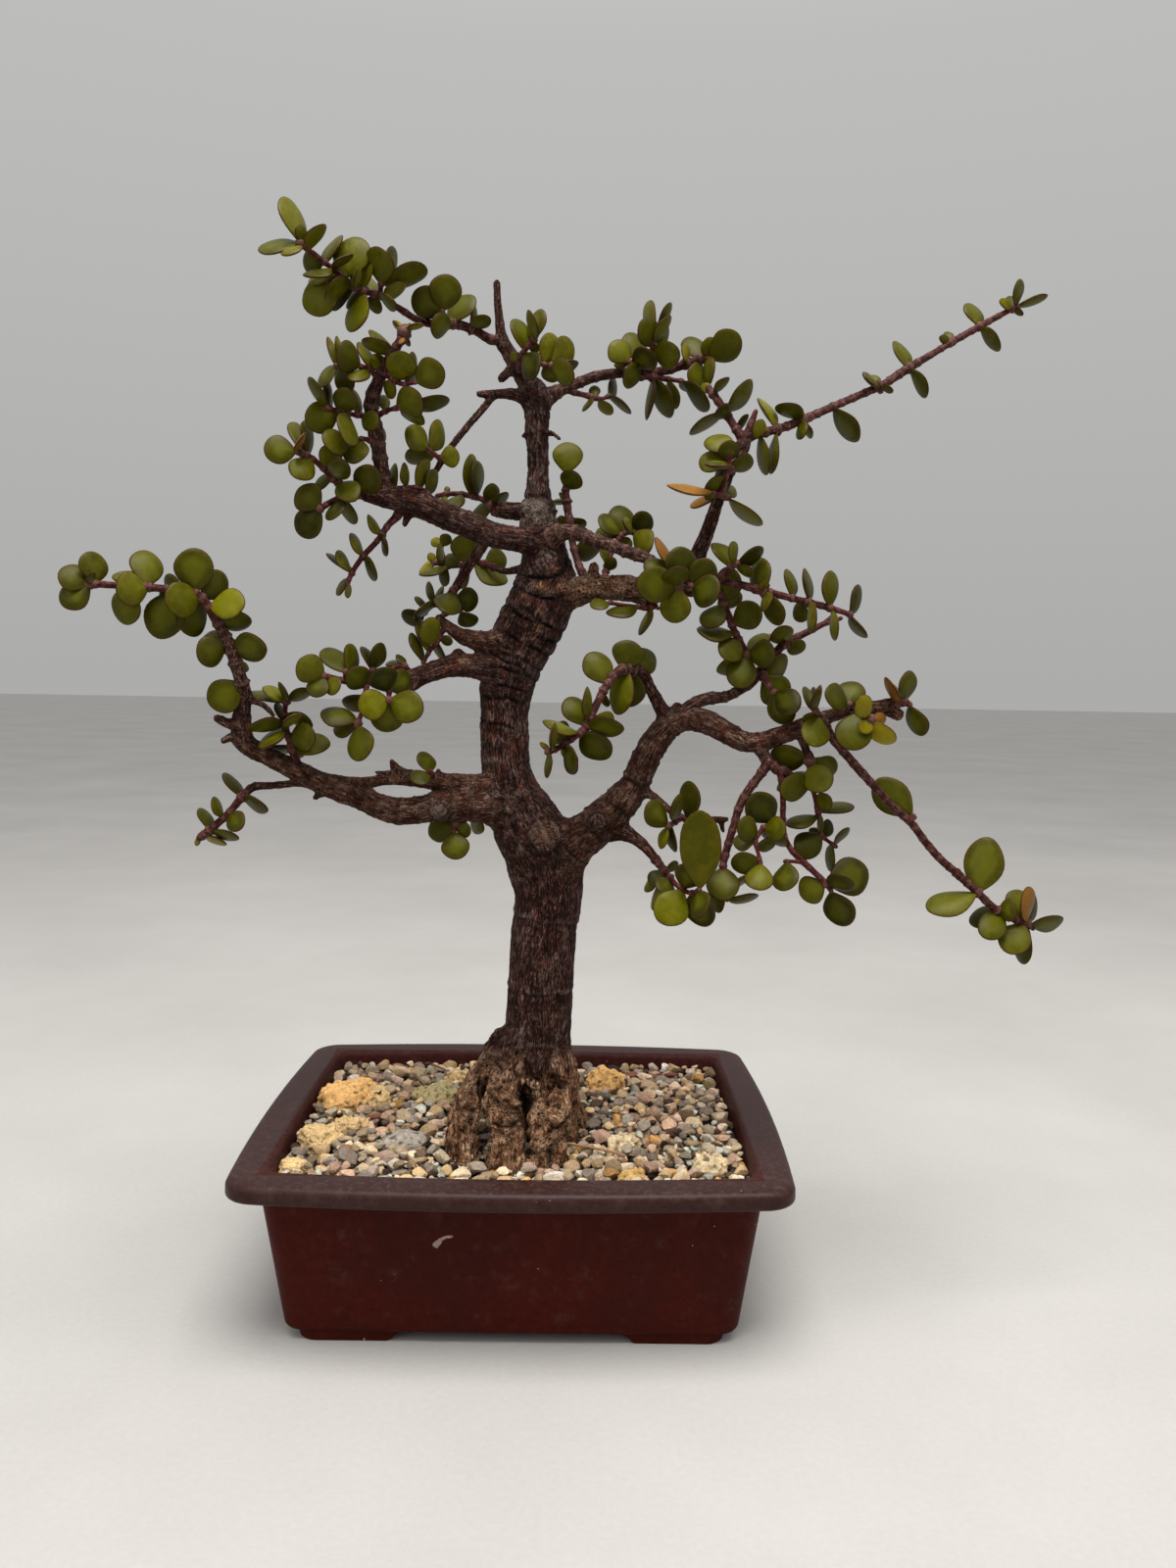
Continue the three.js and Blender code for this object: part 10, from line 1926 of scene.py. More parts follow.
disp += cw * (1.6 * cn_ - 0.5)
# painted shade in the dips of the crumbly ground; the warm colour is the crumbs' own
mk["dark"] += cw * np.clip(0.42 - 3.0 * cn_, 0, 1)
mk["warm"] += cw * 0.9
crum = ((U - 536) / 10) ** 2 + ((Vv - 1121) / 16) ** 2
# painted shade in the dips of the crumbs round the hollow
mk["dark"] += facing * np.clip(1.5 - 1.3 * crum, 0, 0.9) * np.clip(0.55 - 2.4 * cn_, 0, 1) * (pts[:, 1] < -14)
disp += facing * np.clip(1.4 - crum, 0, 1) * 1.2 * cn_ * (pts[:, 1] < -14)
# painted shade: the inside of the hollow is painted dark
hc = at_y(538, 1119, -32.0)
dd = np.sqrt((((pts - hc) / np.array([4.2, 8.5, 7.0])) ** 2).sum(1))
mk["dark"] += np.clip((1.1 - dd) * 2.0, 0, 0.75) * np.clip(0.7 - 2.6 * cn_, 0, 1)
disp *= np.clip((pts[:, 2] - 51) / 3, 0, 1)
pts = pts + nrm * disp[:, None]
for k in mk:
    mk[k] = np.clip(mk[k], 0, 1)
A = np.stack([mk["dark"], mk["pale"], mk["warm"]], 1)
Bm = np.stack([mk["young"], mk["rough"], amb], 1)
flat = np.concatenate([tri.ravel(), quad.ravel()])
put("wood_bark", pts, flat, {"bark_co": co, "bark_a": A, "bark_b": Bm}, BARK, ("trunk_and_main_branches",), sizes=[3] * len(tri) + [4] * len(quad))


# ------------------------------------------------------------------ stems
def tube(t, leaf_s, seed, sides):
    """Rings round a stem: vertices, faces, attributes."""
    rs = np.random.default_rng(seed)
    T, N, B = frames_of(t)
    S = np.concatenate([[0], np.cumsum(np.linalg.norm(np.diff(t[:, :3], axis=0), axis=1))])
    n = len(t)
    r = t[:, 3].copy()
    ring = np.zeros(n)
    for q in leaf_s:
        g = np.exp(-((S - q) / 0.75) ** 2)
        r = r + t[:, 3] * 0.26 * g + 0.10 * g
        ring = np.maximum(ring, np.exp(-((S - q) / 0.5) ** 2))
    # bare lengths carry old leaf rings
    q = rs.uniform(2, 5)
    while q < S[-1] - 2:
        if not len(leaf_s) or np.min(np.abs(np.array(leaf_s) - q)) > 2.5:
            k = np.interp(q, S, t[:, 3])
            if k > 0.8:
                g = np.exp(-((S - q) / 0.55) ** 2)
                r = r + k * 0.17 * g
                ring = np.maximum(ring, 0.9 * g)
        q += rs.uniform(4.0, 7.5)
    # a little flare at the foot
    r = r * (1 + 0.28 * np.exp(-S / (1.5 * t[0, 3] + 0.4)))
    ph = np.arange(sides) / sides * 2 * math.pi
    V, co, age, rg = [], [], [], []
    c, s = np.cos(ph), np.sin(ph)
    base = t[:, None, :3] + (c[None, :, None] * N[:, None, :] + s[None, :, None] * B[:, None, :]) * r[:, None, None]
    loc = np.stack([np.outer(r, c) + seed % 97, np.outer(r, s) + seed % 31, np.repeat(S[:, None], sides, 1)], 2)
    nn = fbm(loc.reshape(-1, 3) * np.array([0.7, 0.7, 0.5]), 2, seed % 1000).reshape(n, sides)
    base = base + (c[None, :, None] * N[:, None, :] + s[None, :, None] * B[:, None, :]) * (nn * (0.10 * np.minimum(r, 1.6) + 0.16 * np.clip(r - 1.6, 0, 3))[:, None])[:, :, None]
    V = base.reshape(-1, 3)
    co = loc.reshape(-1, 3)
    aged = np.repeat(np.clip((t[:, 3] - 0.95) / 1.3, 0, 1), sides)
    rg = np.repeat(ring, sides)
    F = []
    i = np.arange(n - 1)[:, None] * sides
    j = np.arange(sides)[None, :]
    j2 = (j + 1) % sides
    F = np.stack([i + j, i + j2, i + sides + j2, i + sides + j], 2).reshape(-1, 4)
    # rounded ends
    caps_f = []
    for end, dirn in ((0, -1), (n - 1, 1)):
        ringi = end * sides + np.arange(sides)
        prev = ringi
        for (kr, ks) in ((0.72, 0.62), (0.34, 0.9)):
            cen = t[end, :3] + T[end] * dirn * r[end] * ks
            nv = cen + (V[ringi] - t[end, :3]) * kr
            b0 = len(V)
            V = np.vstack([V, nv])
            co = np.vstack([co, co[ringi]])
            aged = np.concatenate([aged, aged[ringi]])
            rg = np.concatenate([rg, rg[ringi]])
            cur = b0 + np.arange(sides)
            a, bq = prev, cur
            q4 = np.stack([a, np.roll(a, -1), np.roll(bq, -1), bq], 1)
            F = np.vstack([F, q4 if dirn > 0 else q4[:, ::-1]])
            prev = cur
        b0 = len(V)
        V = np.vstack([V, t[end, :3] + T[end] * dirn * r[end] * 1.0])
        co = np.vstack([co, co[ringi[0]]])
        aged = np.append(aged, aged[ringi[0]])
        rg = np.append(rg, rg[ringi[0]])
        tr = np.stack([prev, np.roll(prev, -1), np.full(sides, b0)], 1)
        caps_f.append(tr if dirn > 0 else tr[:, ::-1])
    return V, F, np.vstack(caps_f), co, aged, rg


# ------------------------------------------------------------------ leaves
PH = np.arange(28) / 28 * 2 * math.pi
RHO = np.array([1.0, 0.965, 0.86, 0.62, 0.30])


def blade(b, t, n, W, tint, rs):
    b, t, n = np.array(b, float), np.array(t, float), np.array(n, float)
    a = t - b
    L = np.linalg.norm(a)
    a /= L
    n = n - a * (n @ a)
    n /= np.linalg.norm(n)
    # the roll about the long axis that shows the leaf as wide as it is seen from the front
    eye = 0.45 * b + 0.55 * t - EYE
    e2 = np.cross(a, eye / np.linalg.norm(eye))
    if tint != 9 and np.linalg.norm(e2) > 0.15:
        e2 /= np.linalg.norm(e2)
        e3 = np.cross(a, e2)
        bx = np.cross(n, a)
        c0, s0 = bx @ e2, bx @ e3
        seen = min((abs(c0) * W + 0.09 * L) * 1.10, 1.0 * W)
        T0 = float(np.clip(0.15 * L, 0.7, 2.1))
        c1 = math.sqrt(min(max((seen ** 2 - T0 ** 2) / max(W ** 2 - T0 ** 2, 1e-6), 0.0), 1.0))
        s1 = math.sqrt(1 - c1 * c1)
        bx = math.copysign(c1, c0) * e2 + math.copysign(s1, s0) * e3
        n = np.cross(a, bx)
    x = np.cross(n, a)
    s = (1 - np.cos(PH)) / 2
    e = rs.uniform(1.10, 1.28)
    wid = 0.5 * np.sin(np.clip(math.pi * s ** e, 0, math.pi)) ** (0.70 - 0.20 * s)
    if tint == 3:        # the broad old leaf is widest in the middle and blunt-pointed
        wid = 0.5 * np.interp(s, [0, 0.06, 0.18, 0.32, 0.46, 0.58, 0.70, 0.80, 0.88, 0.94, 0.98, 1.0], [0, 0.22, 0.55, 0.86, 0.99, 1.0, 0.95, 0.84, 0.66, 0.45, 0.24, 0])
    sg = np.sign(np.sin(PH))
    sg[np.abs(np.sin(PH)) < 1e-6] = 0
    asym = 1 + rs.uniform(-0.07, 0.07) * sg
    lat = sg * wid * W * asym
    wave = 1 + 0.025 * np.sin(PH * 2 + rs.uniform(0, 6)) + 0.02 * np.sin(PH * 3 + rs.uniform(0, 6))
    lat = lat * wave
    al = s * L
    cs = 0.57
    C = np.array([cs * L, 0.0])
    O = np.stack([al, lat], 1)
    rad_mm = np.linalg.norm(O - C, axis=1)
    T = float(np.clip(0.17 * L, 0.8, 2.4)) * rs.uniform(0.92, 1.08)
    if tint == 3:
        T = 1.5
    cup = rs.uniform(-0.006, 0.022)
    bend = rs.uniform(-0.10, 0.07)
    twist = rs.uniform(-0.12, 0.12)
    wz = rs.uniform(0.0, 0.022) * L
    wp = rs.uniform(0, 6)
    V, rim, side, alo = [], [], [], []

    def ringpts(rho, sgn):
        q = C + rho * (O - C)
        th = 0.5 * T * (0.62 * (1 - rho ** 3.0) ** 0.5 + 0.58 * (1 - rho ** 2)) if rho < 1 else 0.0
        u = q[:, 0] / L
        hw = max(W / 2, 1)
        z = cup * q[:, 1] ** 2 * (14.0 / max(L, 6)) + bend * L * (u - 0.15) ** 2 + twist * q[:, 1] * (u - 0.3) * 0.5 + wz * rho ** 2 * np.sin(2 * PH + wp)
        # the middle of the upper face is a little hollow towards the stem
        z = z + sgn * th * (1 - 0.25 * np.clip(0.35 - u, 0, 1))
        p = b + q[:, :1] * a + q[:, 1:2] * x + z[:, None] * n
        return p, (1 - rho) * rad_mm, u

    p, rm, u = ringpts(1.0, 1)
    V.append(p); rim.append(rm); side.append(np.full(28, 0.5)); alo.append(u)
    for sgn in (1, -1):
        for rho in RHO[1:]:
            p, rm, u = ringpts(rho, sgn)
            V.append(p); rim.append(rm); side.append(np.full(28, 0.0 if sgn > 0 else 1.0)); alo.append(u)
        z0 = bend * L * (cs - 0.15) ** 2
        V.append((b + C[0] * a + (z0 + sgn * 0.6 * T) * n)[None]); rim.append(np.array([rad_mm.mean()])); side.append(np.array([0.0 if sgn > 0 else 1.0])); alo.append(np.array([cs]))
    return np.vstack(V), np.concatenate(rim), np.concatenate(side), np.concatenate(alo), L


def blade_faces():
    Fq, Ft = [], []
    k = np.arange(28)
    k2 = (k + 1) % 28
    off = 28
    for sgn in (1, -1):
        prev = k
        for j in range(4):
            cur = off + j * 28 + k
            q = np.stack([prev, prev[k2], cur[k2], cur], 1)
            Fq.append(q if sgn > 0 else q[:, ::-1])
            prev = cur
        c = off + 4 * 28
        tr = np.stack([prev, prev[k2], np.full(28, c)], 1)
        Ft.append(tr if sgn > 0 else tr[:, ::-1])
        off += 4 * 28 + 1
    return np.vstack(Fq), np.vstack(Ft)


BQ, BT = blade_faces()
# the upper face is wound so that its normal follows the leaf's upper normal
_v = blade((0, 0, 0), (10, 0, 0), (0, 0, 1), 9, 0, np.random.default_rng(1))[0]
_q = BQ[30]
if np.cross(_v[_q[1]] - _v[_q[0]], _v[_q[2]] - _v[_q[0]])[2] < 0:
    BQ, BT = BQ[:, ::-1], BT[:, ::-1]

total = 0
for bi, (name, data) in enumerate(BRANCHES.items()):
    rs = np.random.default_rng(1000 + bi)
    VV, QQ, TT, CO, AG, RG = [], [], [], [], [], []
    off = 0
    leaf_b = np.array([l[:3] for l in data["leaves"]]) if data["leaves"] else np.zeros((0, 3))
    for si, t in enumerate(data["stems"]):
        rmax = max(p[3] for p in t)
        c = smooth_line(t, 0.8 if rmax > 1.0 else 0.75)
        S = np.concatenate([[0], np.cumsum(np.linalg.norm(np.diff(c[:, :3], axis=0), axis=1))])
        ls = []
        for q in leaf_b:
            d = np.linalg.norm(c[:, :3] - q, axis=1)
            i = d.argmin()
            if d[i] < 1.6:
                ls.append(S[i])
        V, Fq, Ft, co_, ag, rg = tube(c, ls, 7000 + bi * 40 + si, 12 if rmax > 2.2 else 10 if rmax > 1.2 else 8)
        VV.append(V); QQ.append(Fq + off); TT.append(Ft + off); CO.append(co_); AG.append(ag); RG.append(rg)
        off += len(V)
    Q, T3 = np.vstack(QQ), np.vstack(TT)
    put("stems_" + name, np.vstack(VV), np.concatenate([Q.ravel(), T3.ravel()]), {"stem_co": np.vstack(CO), "age": np.concatenate(AG), "ring": np.concatenate(RG)}, STEM, (name,), sizes=[4] * len(Q) + [3] * len(T3))
    total += 2 * len(Q) + len(T3)
    VV, RM, SD, AL, QQ, TT, A1, A2 = [], [], [], [], [], [], [], []
    off = 0
    for li, l in enumerate(data["leaves"]):
        V, rm, sd, al, L = blade(l[:3], l[3:6], l[6:9], l[9], l[10], rs)
        tone = np.clip(0.44 + 0.17 * rs.standard_normal(), 0.08, 0.9)
        # leaves high in the crown and at the tips are paler
        tone += 0.05 * (l[5] - 300) / 100
        rnd = rs.uniform(0, 1)
        m = len(V)
        VV.append(V); RM.append(rm)
        A1.append(np.stack([np.full(m, tone), np.full(m, float(l[10])), al], 1))
        A2.append(np.stack([sd, np.full(m, rnd), np.full(m, L)], 1))
        QQ.append(BQ + off); TT.append(BT + off)
        off += m
    Q, T3 = np.vstack(QQ), np.vstack(TT)
    put("leaves_" + name, np.vstack(VV), np.concatenate([Q.ravel(), T3.ravel()]), {"rim": np.concatenate(RM), "leaf_a": np.vstack(A1), "leaf_b": np.vstack(A2)}, LEAF, (name,), sizes=[4] * len(Q) + [3] * len(T3))
    total += 2 * len(Q) + len(T3)
print("leafy branches", total, "triangles")


# ------------------------------------------------------------------ pot
def outline(hw, hd, r, bow, nc=10, ns=22):
    bx, by = BOW_SIDE * bow, BOW_FRONT * bow
    ex, ey = hw - bx, hd - by
    out = []

    def corner(cx, cy, a0):
        for i in range(nc + 1):
            a = a0 + i / nc * math.pi / 2
            out.append((cx + r * math.cos(a), cy + r * math.sin(a)))

    ts = np.linspace(1, -1, ns + 2)[1:-1]
    corner(ex - r, ey - r, 0)
    out += [((ex - r) * t, ey + by * (1 - t * t)) for t in ts]
    corner(-(ex - r), ey - r, math.pi / 2)
    out += [(-(ex + bx * (1 - t * t)), (ey - r) * t) for t in ts]
    corner(-(ex - r), -(ey - r), math.pi)
    out += [((ex - r) * -t, -(ey + by * (1 - t * t))) for t in ts]
    corner(ex - r, -(ey - r), 1.5 * math.pi)
    out += [(ex + bx * (1 - t * t), (ey - r) * -t) for t in ts]
    return np.array(out)


def lathe_rect(levels, name):
    """A closed body from outline rings: [z, half width, half depth, corner radius, bow]; both ends are capped."""
    V, n = [], None
    for (z, a, b, r, bow) in levels:
        o = outline(a, b, r, bow)
        n = len(o)
        V.append(np.column_stack([o, np.full(n, z)]))
    V = np.vstack(V)
    k = np.arange(n)
    k2 = (k + 1) % n
    F = []
    for i in range(len(levels) - 1):
        F += np.stack([i * n + k, i * n + k2, (i + 1) * n + k2, (i + 1) * n + k], 1).tolist()
    F.append(list(range(n))[::-1])
    F.append([(len(levels) - 1) * n + i for i in range(n)])
    return V, F


def raw_object(name, V, F):
    me = bpy.data.meshes.new(name)
    me.from_pydata([((p[0] - CX) * 0.001, p[1] * 0.001, p[2] * 0.001) for p in V], [], F)
    me.update()
    ob = bpy.data.objects.new(name, me)
    bpy.context.scene.collection.objects.link(ob)
    return ob


def cut(ob, tools, op="DIFFERENCE"):
    for t in tools:
        m = ob.modifiers.new("b", "BOOLEAN")
        m.operation, m.object, m.solver = op, t, "EXACT"
    dg = bpy.context.evaluated_depsgraph_get()
    me = bpy.data.meshes.new_from_object(ob.evaluated_get(dg))
    ob.modifiers.clear()
    ob.data = me
    for t in tools:
        bpy.data.objects.remove(t)
    return ob


hw, hd = RIM_W / 2, RIM_D / 2
bw, bd = hw - OVERHANG, hd - OVERHANG
iw, idd = hw - RIM_LAND, hd - RIM_LAND
zt = POT_H
z1 = zt - LIP
lv = [(FOOT_H, BASE_W / 2 - 3.4, BASE_D / 2 - 3.4, 6.5, 0.2), (FOOT_H + 0.25, BASE_W / 2 - 2.2, BASE_D / 2 - 2.2, 7, 0.22), (FOOT_H + 0.9, BASE_W / 2 - 1.0, BASE_D / 2 - 1.0, 7.8, 0.25),
      (FOOT_H + 1.9, BASE_W / 2 - 0.3, BASE_D / 2 - 0.3, 8.2, 0.28), (FOOT_H + 3.2, BASE_W / 2, BASE_D / 2, 8.5, 0.3)]
for i in range(1, 9):       # the wall, very slightly hollow, as a moulded side is
    t = i / 9
    z = FOOT_H + 3.2 + t * (z1 - 1.2 - FOOT_H - 3.2)
    lv.append((z, BASE_W / 2 + t * (bw - 0.3 - BASE_W / 2), BASE_D / 2 + t * (bd - 0.3 - BASE_D / 2), 8.5 + 0.5 * t, 0.3 + 0.5 * t))
lv += [(z1 - 1.2, bw - 0.3, bd - 0.3, 9, 0.8), (z1 - 0.4, bw + 0.1, bd + 0.1, 9, 0.82), (z1 - 0.05, bw + 0.9, bd + 0.9, 9.2, 0.84)]
# underside of the lip, then its rolled front
lv += [(z1 + 0.35, bw + 3.0, bd + 3.0, 10, 0.9), (z1 + 0.6, hw - 3.6, hd - 3.6, 10.6, 0.95), (z1 + 0.9, hw - 2.1, hd - 2.1, 11, 1)]
for a in np.linspace(-60, 0, 5):
    lv.append((z1 + 2.7 + 1.9 * math.sin(math.radians(a)), hw - 1.9 + 1.9 * math.cos(math.radians(a)), hd - 1.9 + 1.9 * math.cos(math.radians(a)), CORNER_R - 0.3, 1))
for a in np.linspace(0, 90, 8):
    lv.append((zt - 3.2 + 3.0 * math.sin(math.radians(a)), hw - 3.2 + 3.2 * math.cos(math.radians(a)), hd - 3.2 + 3.2 * math.cos(math.radians(a)), CORNER_R - 1.2 * a / 90, 1))
lv += [(zt - 0.02, hw - 6.5, hd - 6.5, 10, 0.95), (zt, hw - 9, hd - 9, 9.4, 0.9), (zt - 0.05, iw + 2.6, idd + 2.6, 8, 0.85)]
V, F = lathe_rect([lv[0]] + lv[1:], "pot")
pot = raw_object("pot_body", V, F)
ci = [(FOOT_H + FLOOR_T, BASE_W / 2 - WALL_T - 3.0, BASE_D / 2 - WALL_T - 3.0, 5, 0.3), (FOOT_H + FLOOR_T + 0.6, BASE_W / 2 - WALL_T - 1.4, BASE_D / 2 - WALL_T - 1.4, 5.6, 0.3),
      (FOOT_H + FLOOR_T + 2.2, BASE_W / 2 - WALL_T - 0.7, BASE_D / 2 - WALL_T - 0.7, 6, 0.3)]
for t in np.linspace(0, 1, 6)[1:]:
    z = FOOT_H + FLOOR_T + 2.2 + t * (zt - 3.4 - FOOT_H - FLOOR_T - 2.2)
    ci.append((z, BASE_W / 2 - WALL_T - 0.7 + t * (iw - BASE_W / 2 + WALL_T + 0.7), BASE_D / 2 - WALL_T - 0.7 + t * (idd - BASE_D / 2 + WALL_T + 0.7), 6 + t, 0.3 + 0.5 * t))
ci += [(zt - 2.2, iw + 0.25, idd + 0.25, 7, 0.8), (zt - 1.2, iw + 0.8, idd + 0.8, 7.2, 0.8), (zt - 0.4, iw + 1.8, idd + 1.8, 7.6, 0.82), (zt + 1.0, iw + 4.2, idd + 4.2, 9, 0.85)]
V, F = lathe_rect(ci, "cavity")
cav = raw_object("cavity", V, F)
cyl = []
for s in (-1, 1):
    n = 48
    a = np.arange(n) / n * 2 * math.pi
    V = np.vstack([np.column_stack([s * DRAIN_X + DRAIN_D / 2 * np.cos(a), DRAIN_D / 2 * np.sin(a), np.full(n, z)]) for z in (-1.0, FOOT_H + FLOOR_T + 2)])
    F = [[i, (i + 1) % n, n + (i + 1) % n, n + i] for i in range(n)] + [list(range(n))[::-1], list(range(n, 2 * n))]
    cyl.append(raw_object("drain", V, F))
feet = []
for sx in (-1, 1):
    for sy in (-1, 1):
        # foot outline at the bottom and at the top, with rounded outer corner
        def foot(x0, x1, y0, y1, r):
            o = []
            for (cx, cy, a0, rr) in ((x1, y1, 0, r), (x0, y1, 90, 2.0), (x0, y0, 180, 2.0), (x1, y0, 270, 2.0)):
                gx, gy = cx - math.copysign(rr, cx - (x0 + x1) / 2), cy - math.copysign(rr, cy - (y0 + y1) / 2)
                for i in range(7):
                    a = math.radians(a0 + i * 15)
                    o.append((gx + rr * math.cos(a), gy + rr * math.sin(a)))
            return np.array(o)
        lvl = []
        fx, fy = 83.7, 63.7
        for (z, gi, go) in ((0.0, 0.5, -0.5), (0.45, 0.1, -0.1), (1.2, 0.0, 0.0), (FOOT_H - 0.6, -3.6, 0.35), (FOOT_H + 0.9, -5.6, 0.5)):
            o = foot(fx - FOOT_L + gi, fx + go, fy - FOOT_B + gi * 0.6, fy + go, 7.0)
            lvl.append(np.column_stack([o[:, 0] * sx, o[:, 1] * sy, np.full(len(o), z)]))
        n = len(lvl[0])
        V = np.vstack(lvl)
        F = []
        for j in range(len(lvl) - 1):
            F += [[j * n + i, j * n + (i + 1) % n, (j + 1) * n + (i + 1) % n, (j + 1) * n + i] for i in range(n)]
        F += [list(range(n))[::-1], [(len(lvl) - 1) * n + i for i in range(n)]]
        if sx * sy < 0:
            F = [f[::-1] for f in F]
        feet.append(raw_object("foot", V, F))
pot = cut(pot, [cav] + cyl)
pot = cut(pot, feet, "UNION")
me = pot.data
me.materials.clear()
me.materials.append(POT)
for p in me.polygons:
    p.use_smooth = True
me.set_sharp_from_angle(angle=math.radians(38))
finish_piece(pot, ("pot",))
print("pot", sum(len(p.vertices) - 2 for p in me.polygons), "triangles")


# ------------------------------------------------------------------ gravel
def near_tree(x, y):
    return np.exp(-((x - 2) ** 2 + (y + 16) ** 2) / (2 * 32 ** 2))


G = 0.5
gx = np.arange(-95, 95 + G, G)
gy = np.arange(-75, 75 + G, G)
GX, GY = np.meshgrid(gx, gy, indexing="ij")
H = GRAVEL_TOP - 3.2 + 2.4 * near_tree(GX, GY)
fl = fbm(np.stack([GX.ravel() / 22, GY.ravel() / 22, np.zeros(GX.size)], 1), 2, 91).reshape(GX.shape)
H = H + 1.3 * fl + 0.5 * np.clip(GX / 90, -1, 1)
bed0 = H.copy()
# the roots stand in the bed
zi = int(round((64.0 - lo[2]) / VOX))
sl = field[:, :, zi]
fi = np.clip(((GX - lo[0]) / VOX).round().astype(int), 0, dims[0] - 1)
fj = np.clip(((GY - lo[1]) / VOX).round().astype(int), 0, dims[1] - 1)
inside = ((GX > lo[0]) & (GX < hi[0]) & (GY > lo[1]) & (GY < hi[1]))
woodd = np.where(inside, sl[fi, fj], 9.0)
H[woodd < 0.3] = 90.0
for s in STONES:
    ca, sa = math.cos(s[6]), math.sin(s[6])
    lx = ((GX - s[0]) * ca + (GY - s[1]) * sa) / s[3]
    ly = (-(GX - s[0]) * sa + (GY - s[1]) * ca) / s[4]
    q = lx * lx + ly * ly
    m = q < 1
    top = s[2] + s[5] * np.sqrt(np.clip(1 - q, 0, 1)) * 0.92
    H[m] = np.maximum(H[m], top[m])

# base spheres for the grains
def ico(n):
    bpy.ops.mesh.primitive_ico_sphere_add(subdivisions=n, radius=1.0)
    o = bpy.context.object
    v = np.array([x.co for x in o.data.vertices])
    f = np.array([list(p.vertices) for p in o.data.polygons])
    me_ = o.data
    bpy.data.objects.remove(o)
    bpy.data.meshes.remove(me_)
    return v, f


ICO = {n: ico(n) for n in (1, 2, 3, 5)}
ICO[1] = ICO[2]
rs = np.random.default_rng(4711)
TAN = [lin(214, 189, 155), lin(196, 172, 143), lin(226, 206, 176), lin(176, 149, 119), lin(206, 175, 134)]
GREY = [lin(178, 163, 149), lin(148, 133, 121), lin(204, 192, 179), lin(158, 142, 127)]
PINK = [lin(202, 166, 142), lin(184, 150, 130), lin(214, 184, 162)]
DARK = [lin(84, 68, 60), lin(70, 56, 50), lin(100, 82, 70), lin(92, 68, 60)]
MINT = [lin(206, 208, 194), lin(192, 196, 182), lin(218, 217, 206), lin(182, 188, 174)]
ORANGE = [lin(210, 158, 96), lin(196, 150, 92)]


def pick_colour(x, y, size):
    """Colour and kind of a grain: paler chips lie mostly to the front and right."""
    front = np.clip((-y - 5) / 45, 0, 1)
    right = np.clip((x + 10) / 70, 0, 1)
    left = np.clip((-x - 20) / 60, 0, 1)
    p = {"tan": 0.42 + 0.10 * left, "grey": 0.30 + 0.06 * left, "pink": 0.17 + 0.05 * right, "dark": (0.22 if size < 1.9 else 0.04) * (1 + 0.5 * front), "mint": (0.06 + 0.24 * front + 0.10 * right) * (1.0 if size < 2.4 else 0.12), "orange": 0.03 + 0.02 * right}
    if size > 2.6:
        p["tan"] += 0.25
    ks, ws = list(p), np.array(list(p.values()))
    kind = ks[rs.choice(len(ks), p=ws / ws.sum())]
    pal = {"tan": TAN, "grey": GREY, "pink": PINK, "dark": DARK, "mint": MINT, "orange": ORANGE}[kind]
    # grains on the left are painted up to 16% darker, as painted shade
    c = np.array(pal[rs.integers(len(pal))][:3]) * rs.uniform(0.42, 1.22) * (1 - 0.16 * left)
    return kind, c


def rest_z(x, y, a, b, c, turn):
    """Height of the centre of an ellipsoid let down onto the bed at x, y."""
    r = max(a, b)
    i0, i1 = int((x - r + 95) / G), int((x + r + 95) / G) + 2
    j0, j1 = int((y - r + 75) / G), int((y + r + 75) / G) + 2
    i0, j0 = max(i0, 0), max(j0, 0)
    X, Y, h = GX[i0:i1, j0:j1] - x, GY[i0:i1, j0:j1] - y, H[i0:i1, j0:j1]
    ca, sa = math.cos(turn), math.sin(turn)
    q = ((X * ca + Y * sa) / a) ** 2 + ((-X * sa + Y * ca) / b) ** 2
    m = q < 0.92
    if not m.any():
        return None
    e = c * np.sqrt(1 - q[m])
    z = np.max(h[m] + 0.72 * e)
    return z, (i0, i1, j0, j1), q, m


def inside_bowl(x, y, r):
    return abs(x) < iw - 1.2 - r and abs(y) < idd - 1.2 - r


grains = []        # x, y, z, a, b, c, turn, tilt, level, colour, kind


def settle(size, tries, level, flat_=(0.55, 0.85), at=None, kind=None, maxz=67.4):
    a = size * rs.uniform(0.95, 1.25)
    b = size * rs.uniform(0.7, 1.0)
    c = size * rs.uniform(*flat_)
    turn = rs.uniform(0, math.pi)
    best = None
    for _ in range(tries):
        if at is None:
            x, y = rs.uniform(-iw, iw), rs.uniform(-idd, idd)
        else:
            x, y = at
        if not inside_bowl(x, y, max(a, b) * 0.86):
            continue
        r = rest_z(x, y, a, b, c, turn)
        if r is None or r[0] > maxz:
            continue
        if best is None or r[0] - r[0] * 0 < best[0]:
            best = (r[0], x, y, r[1], r[2], r[3])
    if best is None:
        return False
    z, x, y, (i0, i1, j0, j1), q, m = best
    if at is not None:
        z = max(z, GRAVEL_TOP - 1 + c * 0.5)
    top = z + c * np.sqrt(np.clip(1 - q, 0, 1)) * 0.9
    h = H[i0:i1, j0:j1]
    h[m] = np.maximum(h[m], top[m])
    if kind is None:
        kd, col = pick_colour(x, y, size)
    else:
        kd = kind
        pal = {"tan": TAN, "grey": GREY, "orange": ORANGE}[kind]
        col = np.array(pal[rs.integers(len(pal))][:3])
    if kd == "mint":
        c = c * 0.7
    grains.append((x, y, z, a, b, c, turn, rs.uniform(-0.35, 0.35), level, col, kd))
    return True


